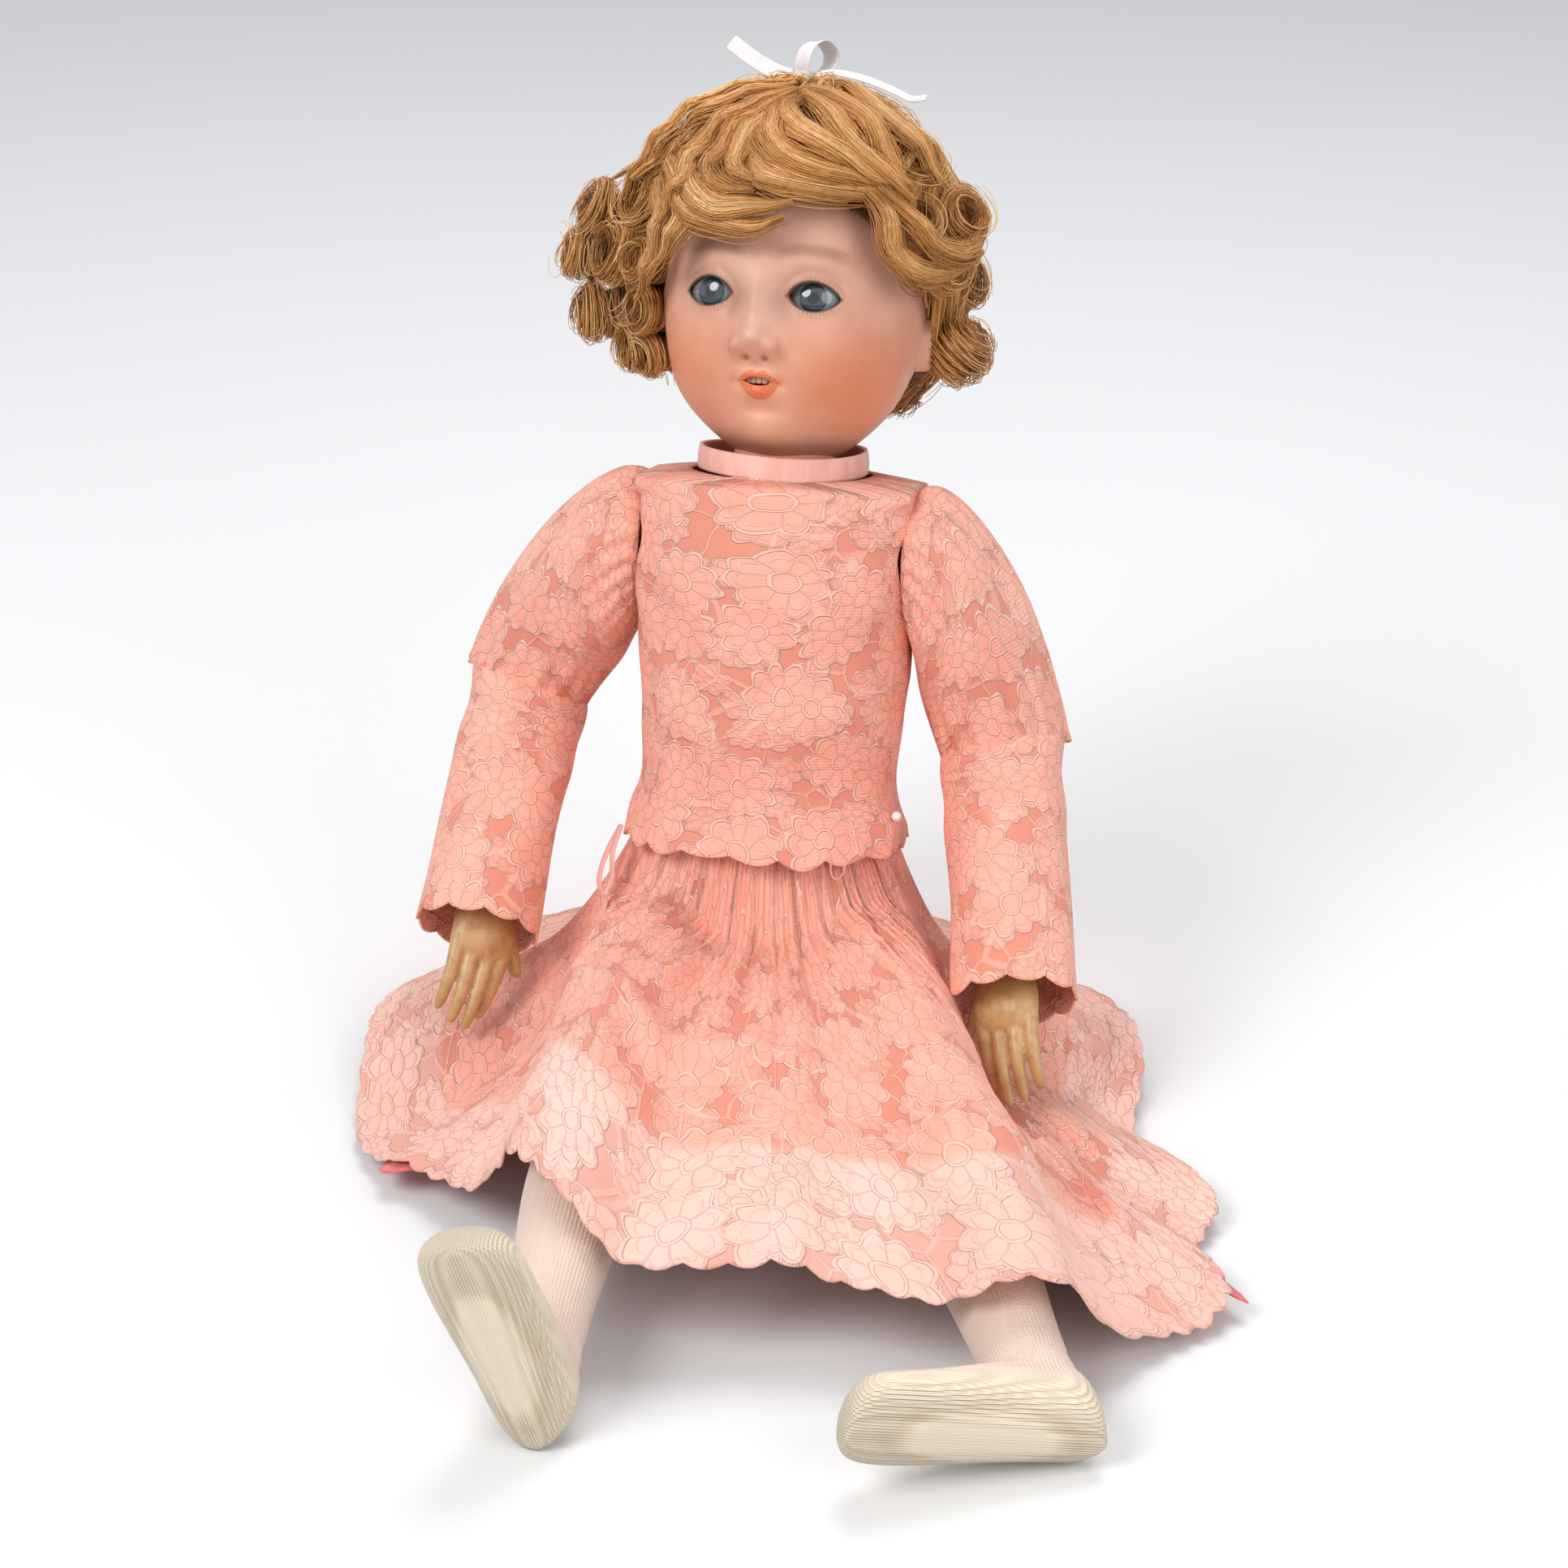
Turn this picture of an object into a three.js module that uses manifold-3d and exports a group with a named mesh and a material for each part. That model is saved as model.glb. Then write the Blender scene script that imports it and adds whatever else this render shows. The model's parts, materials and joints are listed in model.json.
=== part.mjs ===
// A seated child doll with a strung ball-jointed body: bisque socket head with sleep eyes and a curled wig,
// wooden and composition limbs on loose balls, stringing elastic, lace dress over a lining, knitted stockings.
// Millimetres, +Z up. The doll faces -Y and its own left side is +X. The origin is the seat's contact point.
import * as THREE from 'three';
import { mergeVertices } from 'three/addons/utils/BufferGeometryUtils.js';
import Module from 'manifold-3d';

const wasm = await Module();
wasm.setup();

// Clearances
const gap = 0.3;
const ballGap = 0.7;
const clothGap = 0.5;

// Torso, measured along its own spine from the seat
const leanBack = 12;
const neckRimHeight = 184;
const neckRimRadius = 21.5;
const shoulderDrop = 12;
const shoulderHeight = neckRimHeight - shoulderDrop;
const shoulderHalf = 52;
const shoulderBack = 2;
const armFaceHalf = 43;
const armFaceDrop = 40;
const chestHeight = 140;
const chestHalfWidth = 39;
const chestHalfDepth = 30;
const waistHeight = 92;
const waistHalfWidth = 34;
const waistHalfDepth = 27;
const hipHeight = 38;
const hipHalf = 32;
const hipForward = 8;
const hipHalfWidth = 43;
const hipHalfDepth = 33;
const seatDepth = 3.5;
const torsoWall = 4;
const seamBack = 2;

// Neck and head, measured from the middle of the neck joint
const neckLift = 4;
const neckBallRadius = 17;
const neckWall = 3.6;
const neckHoleRadius = 8;
const headHalfWidth = 43.5;
const headHalfDepth = 51;
const headHalfHeight = 55;
const chinLift = 10;
const headBack = 2;
const headWall = 3.6;
const headTurn = 4;
const headTilt = 8;
const crownCut = 101;
const crownCutSlope = 14;
const pateLift = 1.9;
const pateThickness = 1.5;
const capThickness = 1.6;

// Eyes and mouth
const eyeRadius = 10.5;
const eyeHalfSpacing = 17;
const eyeHeight = 63;
const eyeBack = 33;
const eyeOpenWidth = 16.5;
const eyeOpenHeight = 10;
const mouthHeight = 35.5;
const mouthWidth = 9.5;
const mouthOpening = 3.4;
const weightRadius = 6;
const weightDrop = 29;
const rockerRadius = 1.2;

// Arms: joint to joint lengths and ball sizes
const upperArmLength = 65;
const forearmLength = 69;
const handLength = 58;
const shoulderBallRadius = 13;
const elbowBallRadius = 10.5;
const wristBallRadius = 8;
const upperArmRadius = 12;
const elbowRimRadius = 11.5;
const forearmRadius = 11;
const wristRimRadius = 8.4;

// Legs: joint to joint lengths and ball sizes
const thighLength = 110;
const shinLength = 138;
const hipBallRadius = 16;
const kneeBallRadius = 13;
const thighRadius = 16.8;
const kneeRimRadius = 15;
const calfRadius = 15.5;
const ankleRadius = 11;
const footLength = 72;
const footHalfWidth = 13.5;
const heelBack = 13;
const stockingThickness = 1.2;
const stockingTop = 22;

// Stringing
const elasticRadius = 1.75;
const boreRadius = 2.4;
const wireRadius = 1;
const hookRadius = 2.6;
const hookRoom = 4.7;

// Dress
const clothThickness = 1.2;
const armholeHalf = 45.5;
const armholeRadius = 20.5;
const collarRadius = 27.3;
const collarLift = 13.5;
const collarBase = neckRimHeight + collarLift;
const collarHeight = 7.5;
const collarTaper = 0.5;
const peplumHeight = 77;
const cuffReach = 93;
const sleeveEndRadius = 20.5;
const cuffRadius = 19;
const cuffShift = 3;
const skirtFolds = 10;
const skirtFoldDepth = 3;

// Hair and ribbon
const hairThickness = 10.5;
const hairWaveDepth = 1.6;
const ribbonWidth = 6.4;
const ribbonThickness = 0.6;

// The pose of the rest position, in degrees
const armPose = {
  right: { swing: 16.5, lift: 33, roll: 24, bend: 59 },
  left: { swing: 8, lift: 21.4, roll: 9.5, bend: 46 },
};
const legPose = {
  right: { flex: 80.2, spread: -4.5, bend: 14, twist: -14 },
  left: { flex: 74.3, spread: 24, bend: 5, twist: 76 },
};

// Finishes
const finish = (color, roughness, metalness = 0) => new THREE.MeshStandardMaterial({ color, roughness, metalness });
const finishes = {
  composition: finish(0xe3b78f, 0.55),
  wood: finish(0xc99d6a, 0.6),
  agedHand: finish(0xc79a63, 0.5),
  bisque: finish(0xeec0a0, 0.7),
  card: finish(0xa88d6a, 0.9),
  cork: finish(0xa9784a, 0.9),
  plaster: finish(0xeeeae0, 0.9),
  teeth: finish(0xf7f2e8, 0.3),
  glass: finish(0x6f8796, 0.08),
  wire: finish(0x8f8f90, 0.35, 1),
  lead: finish(0x6a6c70, 0.6, 1),
  elastic: finish(0xece4d2, 0.85),
  hair: finish(0xb87a35, 0.55),
  gauze: finish(0xc9a87a, 0.95),
  satin: finish(0xf6f2ee, 0.35),
  collar: finish(0xf7b9a6, 0.4),
  lace: finish(0xf79f8f, 0.8),
  lining: finish(0xf58d84, 0.45),
  knit: finish(0xf0e6d2, 0.95),
};

const V = (x, y, z) => new THREE.Vector3(x, y, z);
const radians = THREE.MathUtils.degToRad;
const { smoothstep, lerp, clamp } = THREE.MathUtils;
const sides = { right: -1, left: 1 };

// Solids

// Joins equal corners, drops triangles that have no area and turns the faces out
function weld(geometry) {
  const bare = geometry.clone();
  bare.deleteAttribute('normal');
  bare.deleteAttribute('uv');
  const merged = mergeVertices(bare, 1e-4);
  const kept = [];
  const index = merged.index.array;
  for (let i = 0; i < index.length; i += 3) {
    const [a, b, c] = [index[i], index[i + 1], index[i + 2]];
    if (a !== b && b !== c && c !== a) kept.push(a, b, c);
  }
  merged.setIndex(signedVolume(merged.attributes.position, kept) < 0 ? kept.reverse() : kept);
  return merged;
}

function signedVolume(position, index) {
  const [a, b, c] = [V(0, 0, 0), V(0, 0, 0), V(0, 0, 0)];
  let sum = 0;
  for (let i = 0; i < index.length; i += 3) {
    [a, b, c].forEach((corner, k) => corner.fromBufferAttribute(position, index[i + k]));
    sum += a.dot(b.cross(c));
  }
  return sum / 6;
}

function toSolid(geometry) {
  const merged = weld(geometry);
  return new wasm.Manifold(new wasm.Mesh({
    numProp: 3,
    vertProperties: new Float32Array(merged.attributes.position.array),
    triVerts: new Uint32Array(merged.index.array),
  }));
}

function toGeometry(solid) {
  const mesh = solid.getMesh();
  const geometry = new THREE.BufferGeometry();
  geometry.setAttribute('position', new THREE.BufferAttribute(mesh.vertProperties, 3));
  geometry.setIndex(new THREE.BufferAttribute(mesh.triVerts, 1));
  geometry.computeVertexNormals();
  return geometry;
}

// A ring of points, counted anticlockwise seen from the end the skin runs towards
function ring(count, place) {
  return Array.from({ length: count }, (_, i) => place((2 * Math.PI * i) / count));
}

// Closes a row of equal rings into one skin: a loop of rings, or a tube with its two ends fanned shut.
// From ring turnAt on the rings run back, and their four-sided faces are split the same way as before it.
function skin(rings, { loop = false, turnAt = Infinity } = {}) {
  const count = rings[0].length;
  const points = rings.flat();
  const faces = [];
  const last = loop ? rings.length : rings.length - 1;
  for (let r = 0; r < last; r += 1) {
    const next = (r + 1) % rings.length;
    for (let i = 0; i < count; i += 1) {
      const j = (i + 1) % count;
      const [a, b] = [r * count + i, r * count + j];
      const [c, d] = [next * count + j, next * count + i];
      faces.push(...(r < turnAt ? [a, b, c, a, c, d] : [a, b, d, b, c, d]));
    }
  }
  if (!loop) {
    for (const [r, flip] of [[0, true], [rings.length - 1, false]]) {
      const middle = rings[r].reduce((sum, p) => sum.add(p), V(0, 0, 0)).divideScalar(count);
      points.push(middle);
      for (let i = 0; i < count; i += 1) {
        const [a, b] = [r * count + i, r * count + ((i + 1) % count)];
        faces.push(points.length - 1, ...(flip ? [b, a] : [a, b]));
      }
    }
  }
  const geometry = new THREE.BufferGeometry().setFromPoints(points);
  geometry.setIndex(faces);
  return geometry;
}

// An upright oval ring round the Z axis
const oval = (count, z, halfWidth, halfDepth, x = 0, y = 0) => ring(count, (angle) => V(
  x + halfWidth * Math.cos(angle),
  y + halfDepth * Math.sin(angle),
  z,
));

// A smooth reading of a table of stations, each { at, ...values }, at any place
function stationsAt(stations, at) {
  let i = 0;
  while (i < stations.length - 2 && at > stations[i + 1].at) i += 1;
  const [a, b] = [stations[i], stations[i + 1]];
  const t = clamp((at - a.at) / (b.at - a.at), 0, 1);
  const before = stations[i - 1] ?? a;
  const after = stations[i + 2] ?? b;
  const read = {};
  for (const key of Object.keys(a)) {
    const span = b.at - a.at;
    const slopeA = key === 'at' ? 1 : (b[key] - before[key]) / Math.max(b.at - before.at, 1e-6);
    const slopeB = key === 'at' ? 1 : (after[key] - a[key]) / Math.max(after.at - a.at, 1e-6);
    const [t2, t3] = [t * t, t * t * t];
    read[key] = (2 * t3 - 3 * t2 + 1) * a[key] + (t3 - 2 * t2 + t) * slopeA * span
      + (3 * t2 - 2 * t3) * b[key] + (t3 - t2) * slopeB * span;
  }
  return read;
}

const sphere = (radius, at = V(0, 0, 0), columns = 10, rows = 7) => toSolid(
  new THREE.SphereGeometry(radius, columns, rows).rotateX(Math.PI / 2).translate(at.x, at.y, at.z),
);

// The cup for a ball: both are many-sided, so the cup is a little wider than the clearance alone
const facetAllowance = 1.036;
const cupFor = (radius, at = V(0, 0, 0)) => sphere((radius + ballGap) * facetAllowance, at);

// A round rod from one point to another
function rod(from, to, radius, count = 8) {
  const along = to.clone().sub(from);
  const geometry = new THREE.CylinderGeometry(radius, radius, along.length(), count);
  geometry.applyQuaternion(new THREE.Quaternion().setFromUnitVectors(V(0, 1, 0), along.clone().normalize()));
  const middle = from.clone().add(to).divideScalar(2);
  return toSolid(geometry.translate(middle.x, middle.y, middle.z));
}

function box(low, high) {
  const size = high.clone().sub(low);
  const middle = high.clone().add(low).divideScalar(2);
  return toSolid(new THREE.BoxGeometry(size.x, size.y, size.z).translate(middle.x, middle.y, middle.z));
}

// A smooth route whose steps are shared out evenly between its points, so close points keep a tight bend
class Route extends THREE.CatmullRomCurve3 {
  getPointAt(u, target) {
    return this.getPoint(u, target);
  }

  getTangentAt(u, target) {
    return this.getTangent(u, target);
  }
}

// A round cord or wire along a smooth route
function cord(points, radius, stepsBetween = 1, count = 8) {
  const section = new THREE.Shape(Array.from({ length: count }, (_, i) => {
    const angle = (2 * Math.PI * i) / count;
    return new THREE.Vector2(radius * Math.cos(angle), radius * Math.sin(angle));
  }));
  const extrudePath = new Route(points, false, 'centripetal');
  const steps = stepsBetween * (points.length - 1);
  return new THREE.ExtrudeGeometry(section, { steps, bevelEnabled: false, extrudePath });
}

const lathe = (profile, count = 16) => new THREE.LatheGeometry(
  profile.map(([r, z]) => new THREE.Vector2(r, z)),
  count,
).rotateX(Math.PI / 2);

function mesh(name, shape, material) {
  const geometry = shape instanceof THREE.BufferGeometry ? shape : toGeometry(shape);
  const made = new THREE.Mesh(geometry, material);
  made.name = name;
  return made;
}

// The doll's tree of groups: the joints turn these groups, and every group's frame is its joint's frame
function frameAt(parent, at, turn) {
  const group = new THREE.Group();
  group.position.copy(at);
  if (turn) group.quaternion.copy(turn);
  parent.add(group);
  return group;
}

const turned = (...steps) => steps.reduce((total, [axis, degrees]) => total.multiply(
  new THREE.Quaternion().setFromAxisAngle(axis, radians(degrees)),
), new THREE.Quaternion());
const axisX = V(1, 0, 0);
const axisY = V(0, 1, 0);
const axisZ = V(0, 0, 1);

const doll = new THREE.Group();
const torso = frameAt(doll, V(0, 0, 0), turned([axisX, -leanBack]));
const neckHeight = neckRimHeight + neckLift;
const neck = frameAt(torso, V(0, 0, neckHeight), turned([axisZ, -headTurn]));
const head = frameAt(neck, V(0, 0, 0), turned([axisX, -headTilt]));
const eyes = frameAt(head, V(0, -eyeBack, eyeHeight));

// Each arm's frames: the shoulder ball swings, the upper arm lifts, the elbow ball bends, the forearm twists
function armFrames(name) {
  const side = sides[name];
  const pose = armPose[name];
  const shoulder = frameAt(torso, V(side * shoulderHalf, shoulderBack, shoulderHeight), turned([axisX, pose.swing]));
  const upper = frameAt(shoulder, V(0, 0, 0), turned([axisY, -side * pose.lift]));
  const elbow = frameAt(upper, V(0, 0, -upperArmLength), turned([axisZ, -side * pose.roll], [axisX, -pose.bend]));
  const fore = frameAt(elbow, V(0, 0, 0));
  const wrist = frameAt(fore, V(0, 0, -forearmLength));
  return { name, side, pose, shoulder, upper, elbow, fore, wrist };
}

// Each leg's frames: the hip ball swings, the thigh spreads, the knee ball bends, the lower leg twists
function legFrames(name) {
  const side = sides[name];
  const pose = legPose[name];
  const hip = frameAt(torso, V(side * hipHalf, -hipForward, hipHeight), turned([axisX, -pose.flex]));
  const upper = frameAt(hip, V(0, 0, 0), turned([axisY, -side * pose.spread]));
  const knee = frameAt(upper, V(0, 0, -thighLength), turned([axisX, pose.bend]));
  const lower = frameAt(knee, V(0, 0, 0), turned([axisZ, -side * pose.twist]));
  return { name, side, pose, hip, upper, knee, lower };
}

const arms = Object.keys(sides).map(armFrames);
const legs = Object.keys(sides).map(legFrames);
doll.updateMatrixWorld(true);

// A point of one frame, written in another
const carried = (point, from, to) => to.worldToLocal(from.localToWorld(point.clone()));

// Torso: two pressed halves glued together, hollow above the hips

const torsoStations = [
  { at: -seatDepth, width: hipHalfWidth * 0.66, depth: hipHalfDepth * 0.62, middle: 6 },
  { at: 5, width: hipHalfWidth * 0.9, depth: hipHalfDepth * 0.88, middle: 4 },
  { at: hipHeight, width: hipHalfWidth, depth: hipHalfDepth, middle: 1 },
  { at: waistHeight, width: waistHalfWidth, depth: waistHalfDepth, middle: -1 },
  { at: chestHeight, width: chestHalfWidth, depth: chestHalfDepth, middle: 0 },
  { at: shoulderHeight, width: armFaceHalf + 1.5, depth: chestHalfDepth - 5, middle: shoulderBack },
  { at: neckRimHeight - 5, width: neckRimRadius + 6, depth: neckRimRadius, middle: 1 },
  { at: neckRimHeight, width: neckRimRadius, depth: neckRimRadius, middle: 0 },
];

function torsoSection(z, inset, count) {
  const at = stationsAt(torsoStations, z);
  return oval(count, z, at.width - inset, at.depth - inset, 0, at.middle);
}

function steps(from, to, count) {
  return Array.from({ length: count + 1 }, (_, i) => lerp(from, to, i / count));
}

function torsoSolid() {
  let body = toSolid(skin(steps(-seatDepth, neckRimHeight, 11).map((z) => torsoSection(z, 0, 18))));
  const hollowFloor = hipHeight + hipBallRadius + ballGap + torsoWall;
  const hollowTop = neckHeight - neckBallRadius - ballGap - torsoWall;
  const hollow = steps(hollowFloor, hollowTop, 5).map((z) => {
    const nearArm = smoothstep(z, chestHeight, shoulderHeight) * (shoulderBallRadius - 4);
    const at = stationsAt(torsoStations, z);
    return oval(12, z, at.width - torsoWall - nearArm, at.depth - torsoWall, 0, at.middle);
  });
  body = body.subtract(toSolid(skin(hollow)));
  body = body.subtract(sphere(neckBallRadius + ballGap, V(0, 0, neckHeight), 14, 8));
  const neckBase = V(0, 0, hollowTop - 1);
  body = body.subtract(rod(neckBase, V(0, 0, neckHeight - neckBallRadius + 4), neckHoleRadius + 1.5, 10));
  const reach = 2 * hipHalfDepth + hipHalfWidth;
  for (const side of Object.values(sides)) {
    const shoulderAt = V(side * shoulderHalf, shoulderBack, shoulderHeight);
    const outside = side * (armFaceHalf + 10);
    const face = [side * armFaceHalf, outside + side * 10];
    body = body.subtract(box(
      V(Math.min(...face), -reach, shoulderHeight - armFaceDrop),
      V(Math.max(...face), reach, neckRimHeight),
    ));
    body = body.subtract(cupFor(shoulderBallRadius, shoulderAt));
    const [, , inWall, inHollow] = armElasticHalf(side);
    body = body.subtract(rod(inWall, shoulderAt, boreRadius, 6)).subtract(sphere(boreRadius, inWall, 5, 3));
    body = body.subtract(rod(inWall, inHollow, boreRadius, 6));
    body = body.subtract(legOpening(side, reach));
  }
  return body;
}

// The room that a thigh sweeps from sitting to standing, with the cup for its ball
function legOpening(side, reach) {
  const at = V(side * hipHalf, -hipForward, hipHeight);
  const room = thighRadius + 5.2;
  const lip = 3.2;
  const forward = rod(at.clone().add(V(0, -lip, 0)), at.clone().add(V(0, -reach, 0)), room, 9);
  const down = rod(at.clone().add(V(0, 0, -lip)), at.clone().add(V(0, 0, -reach)), room, 10);
  const outer = side * (hipHalf + reach);
  const inner = side * (hipHalf - room);
  const corner = box(
    V(Math.min(inner, outer), at.y - reach, at.z - reach),
    V(Math.max(inner, outer), at.y - lip, at.z - lip),
  );
  const cup = cupFor(hipBallRadius, at);
  return forward.add(down).add(corner).add(cup).add(rod(at, hookBottom(), boreRadius));
}

// The lowest point of the neck hook's bend, which the leg elastic hangs on, in the torso's frame
const hookDrop = 28;
const hookBottom = () => V(0, 0, neckHeight - hookDrop);

function buildTorso() {
  const far = 200;
  const floor = new THREE.BoxGeometry(2 * far, 2 * far, far).translate(0, 0, -far / 2);
  const whole = torsoSolid().subtract(toSolid(floor.rotateX(radians(leanBack))));
  const frontHalf = box(V(-far, -far, -far), V(far, seamBack - gap / 2, 2 * far));
  const backHalf = box(V(-far, seamBack + gap / 2, -far), V(far, far, 2 * far));
  torso.add(mesh('torso_front', whole.intersect(frontHalf), finishes.composition));
  torso.add(mesh('torso_back', whole.intersect(backHalf), finishes.composition));
}

// The arm elastic's way from one shoulder through the wall into the hollow, in the torso's frame
const elasticEnd = 2.4;
const elasticSag = 9;
const behindHook = 6;
const elasticPlace = (x, share) => V(x, shoulderBack + behindHook * share, shoulderHeight - elasticSag * share);
function armElasticHalf(side) {
  return [
    elasticPlace(side * (shoulderHalf - elasticEnd), 0),
    elasticPlace(side * armFaceHalf, 0),
    elasticPlace(side * (armFaceHalf - 12), 0),
    elasticPlace(side * (armFaceHalf - 24), 1),
  ];
}

function buildTorsoElastics() {
  const armRoute = [...armElasticHalf(-1), elasticPlace(0, 1), ...armElasticHalf(1).reverse()];
  torso.add(mesh('arm_elastic_torso', cord(armRoute, elasticRadius), finishes.elastic));
  const turn = wireRadius + elasticRadius + gap;
  const sideRoute = (side) => {
    const from = V(side * hipHalf, -hipForward, hipHeight);
    const along = hookBottom().sub(from).normalize();
    return [from.clone().addScaledVector(along, elasticEnd), from.clone().addScaledVector(along, 60)];
  };
  const overHook = (angle) => hookBottom().add(V(-turn * Math.cos(angle), 0, turn * Math.sin(angle)));
  const over = ring(12, overHook).slice(0, 7);
  const route = [...sideRoute(-1), ...over, ...sideRoute(1).reverse()];
  torso.add(mesh('leg_elastic_torso', cord(route, elasticRadius), finishes.elastic));
}

// Neck: the wooden plug is a ball's upper part, round the same middle as the neck's own cup

function buildNeck() {
  const bend = 3.7;
  const plugRadius = neckBallRadius - neckWall - ballGap;
  let plug = sphere(plugRadius, V(0, 0, 0), 12, 8);
  plug = plug.intersect(box(V(-20, -20, -20), V(20, 20, 5)));
  plug = plug.subtract(rod(V(0, 0, -20), V(0, 0, 20), wireRadius + 0.8));
  neck.add(mesh('neck_plug', plug, finishes.wood));
  const bight = ring(8, (angle) => V(0, bend * Math.cos(angle), -hookDrop + bend * (1 - Math.sin(angle))));
  const route = [V(0, 0, 9), V(0, 0, -14), V(0, bend * 0.8, -hookDrop + 1.9 * bend), ...bight.slice(0, 6)];
  neck.add(mesh('neck_hook', cord(route, wireRadius, 1, 6), finishes.wire));
}

// Head: an egg with a small child's features raised on its front

const headMiddle = chinLift + headHalfHeight;

// Height of the face's relief over the plain egg, at a place across and up the face
const features = [
  { x: 0, z: eyeHeight - 6, width: 4, tall: 9, raise: 3.2 },
  { x: 0, z: eyeHeight - 13.5, width: 4.6, tall: 4.6, raise: 7.4 },
  { x: 4.6, z: eyeHeight - 15, width: 2.6, tall: 2.6, raise: 2.6 },
  { x: eyeHalfSpacing, z: eyeHeight, width: 9, tall: 6, raise: -3 },
  { x: eyeHalfSpacing - 1, z: eyeHeight + 10.5, width: 11, tall: 4, raise: 1.2 },
  { x: 21, z: eyeHeight - 22, width: 12, tall: 11, raise: 3 },
  { x: 0, z: mouthHeight + 3.2, width: 6, tall: 2.2, raise: 3 },
  { x: 0, z: mouthHeight - 3, width: 5, tall: 2.4, raise: 3.4 },
  { x: 0, z: mouthHeight - 8.5, width: 7, tall: 2.8, raise: -1.4 },
  { x: 0, z: chinLift + 9, width: 9, tall: 7, raise: 4.6 },
];

function relief(x, z) {
  return features.reduce((sum, f) => {
    const pair = f.x === 0 ? [0] : [-f.x, f.x];
    return sum + pair.reduce((all, middle) => all
      + f.raise * Math.exp(-(((x - middle) / f.width) ** 2) - ((z - f.z) / f.tall) ** 2), 0);
  }, 0);
}

// A point of the head's skin: around runs from the face, down from the crown, both in radians
function headPoint(around, down, lift = 0, smooth = false) {
  const direction = V(Math.sin(down) * Math.sin(around), -Math.sin(down) * Math.cos(around), Math.cos(down));
  const low = smoothstep(-direction.z, 0, 1);
  const point = V(
    direction.x * (headHalfWidth * (1 - 0.1 * low) + lift),
    direction.y * (headHalfDepth * (1 - (direction.y > 0 ? 0.36 : 0.06) * low) + lift) + headBack,
    direction.z * (headHalfHeight + lift) + headMiddle,
  );
  if (direction.y < 0 && !smooth) point.y -= relief(point.x, point.z) * smoothstep(-direction.y, 0.05, 0.45);
  return point;
}

// Rows of the head's grid lie closer over the face, and so do its columns where the face is worked
function headSkin(columns, rows, lift, smooth) {
  const around = (i) => {
    const plain = (2 * Math.PI * i) / columns;
    return plain - (smooth ? 0 : 0.42 * Math.sin(plain));
  };
  const down = (r) => {
    const plain = (Math.PI * r) / rows;
    return plain - 0.16 * Math.sin(2 * plain);
  };
  const rings = [];
  for (let r = rows - 1; r >= 1; r -= 1) {
    rings.push(Array.from({ length: columns }, (_, i) => headPoint(around(i), down(r), lift, smooth)));
  }
  return toSolid(skin(rings));
}

// The eye's almond opening, as a prism through the front wall
function almond(width, height) {
  const shape = new THREE.Shape();
  shape.moveTo(-width / 2, -height * 0.08);
  shape.bezierCurveTo(-width * 0.3, height * 0.62, width * 0.3, height * 0.62, width / 2, -height * 0.08);
  shape.bezierCurveTo(width * 0.25, -height * 0.62, -width * 0.25, -height * 0.62, -width / 2, -height * 0.08);
  return new THREE.ExtrudeGeometry(shape, { depth: 30, bevelEnabled: false, curveSegments: 6 })
    .rotateX(Math.PI / 2);
}

const cavity = () => headSkin(15, 10, -headWall - 0.6, false);

function ear(side) {
  const rings = steps(0, 1, 4).map((t) => {
    const grow = Math.sin(Math.PI * lerp(0.2, 0.95, t));
    const out = side * (headHalfWidth - 3 + 6.5 * t);
    return ring(8, (angle) => V(
      out,
      headBack + 1 + 3 * t - side * 5.5 * grow * Math.sin(angle),
      eyeHeight - 8 + 10.5 * grow * Math.cos(angle) * (1 - 0.15 * Math.sin(angle)),
    ));
  });
  return toSolid(skin(rings));
}

function neckProfile() {
  const outer = [];
  const lowest = Math.asin(neckHoleRadius / neckBallRadius);
  for (const t of steps(lowest, Math.PI / 2, 3)) {
    outer.push([neckBallRadius * Math.sin(t), -neckBallRadius * Math.cos(t)]);
  }
  return [[0, outer[0][1]], ...outer, [neckBallRadius - 0.6, 9], [neckBallRadius + 0.6, 20], [0, 26]];
}

function crownCutter(lift) {
  const cutter = new THREE.BoxGeometry(200, 200, 100).translate(0, 0, 50);
  cutter.rotateX(radians(-crownCutSlope));
  return toSolid(cutter.translate(0, 0, crownCut + lift));
}

function buildHead() {
  let shell = headSkin(24, 17, 0).add(ear(-1)).add(ear(1)).add(toSolid(lathe(neckProfile(), 14)));
  const neckBore = sphere(neckBallRadius - neckWall, V(0, 0, 0), 12, 8)
    .add(rod(V(0, 0, 0), V(0, 0, 30), neckBallRadius - neckWall - 0.5, 12))
    .add(rod(V(0, 0, -30), V(0, 0, 0), neckHoleRadius, 12));
  shell = shell.subtract(cavity()).subtract(neckBore).subtract(crownCutter(0));
  for (const side of Object.values(sides)) {
    const hole = almond(eyeOpenWidth, eyeOpenHeight);
    hole.translate(side * eyeHalfSpacing, -eyeBack - 1, eyeHeight);
    shell = shell.subtract(toSolid(hole));
    shell = shell.subtract(cupFor(eyeRadius, V(side * eyeHalfSpacing, -eyeBack, eyeHeight)));
  }
  const mouth = almond(mouthWidth, mouthOpening);
  mouth.translate(0, -eyeBack - 1, mouthHeight);
  shell = shell.subtract(toSolid(mouth));
  head.add(mesh('head_shell', shell, finishes.bisque));
}

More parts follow.
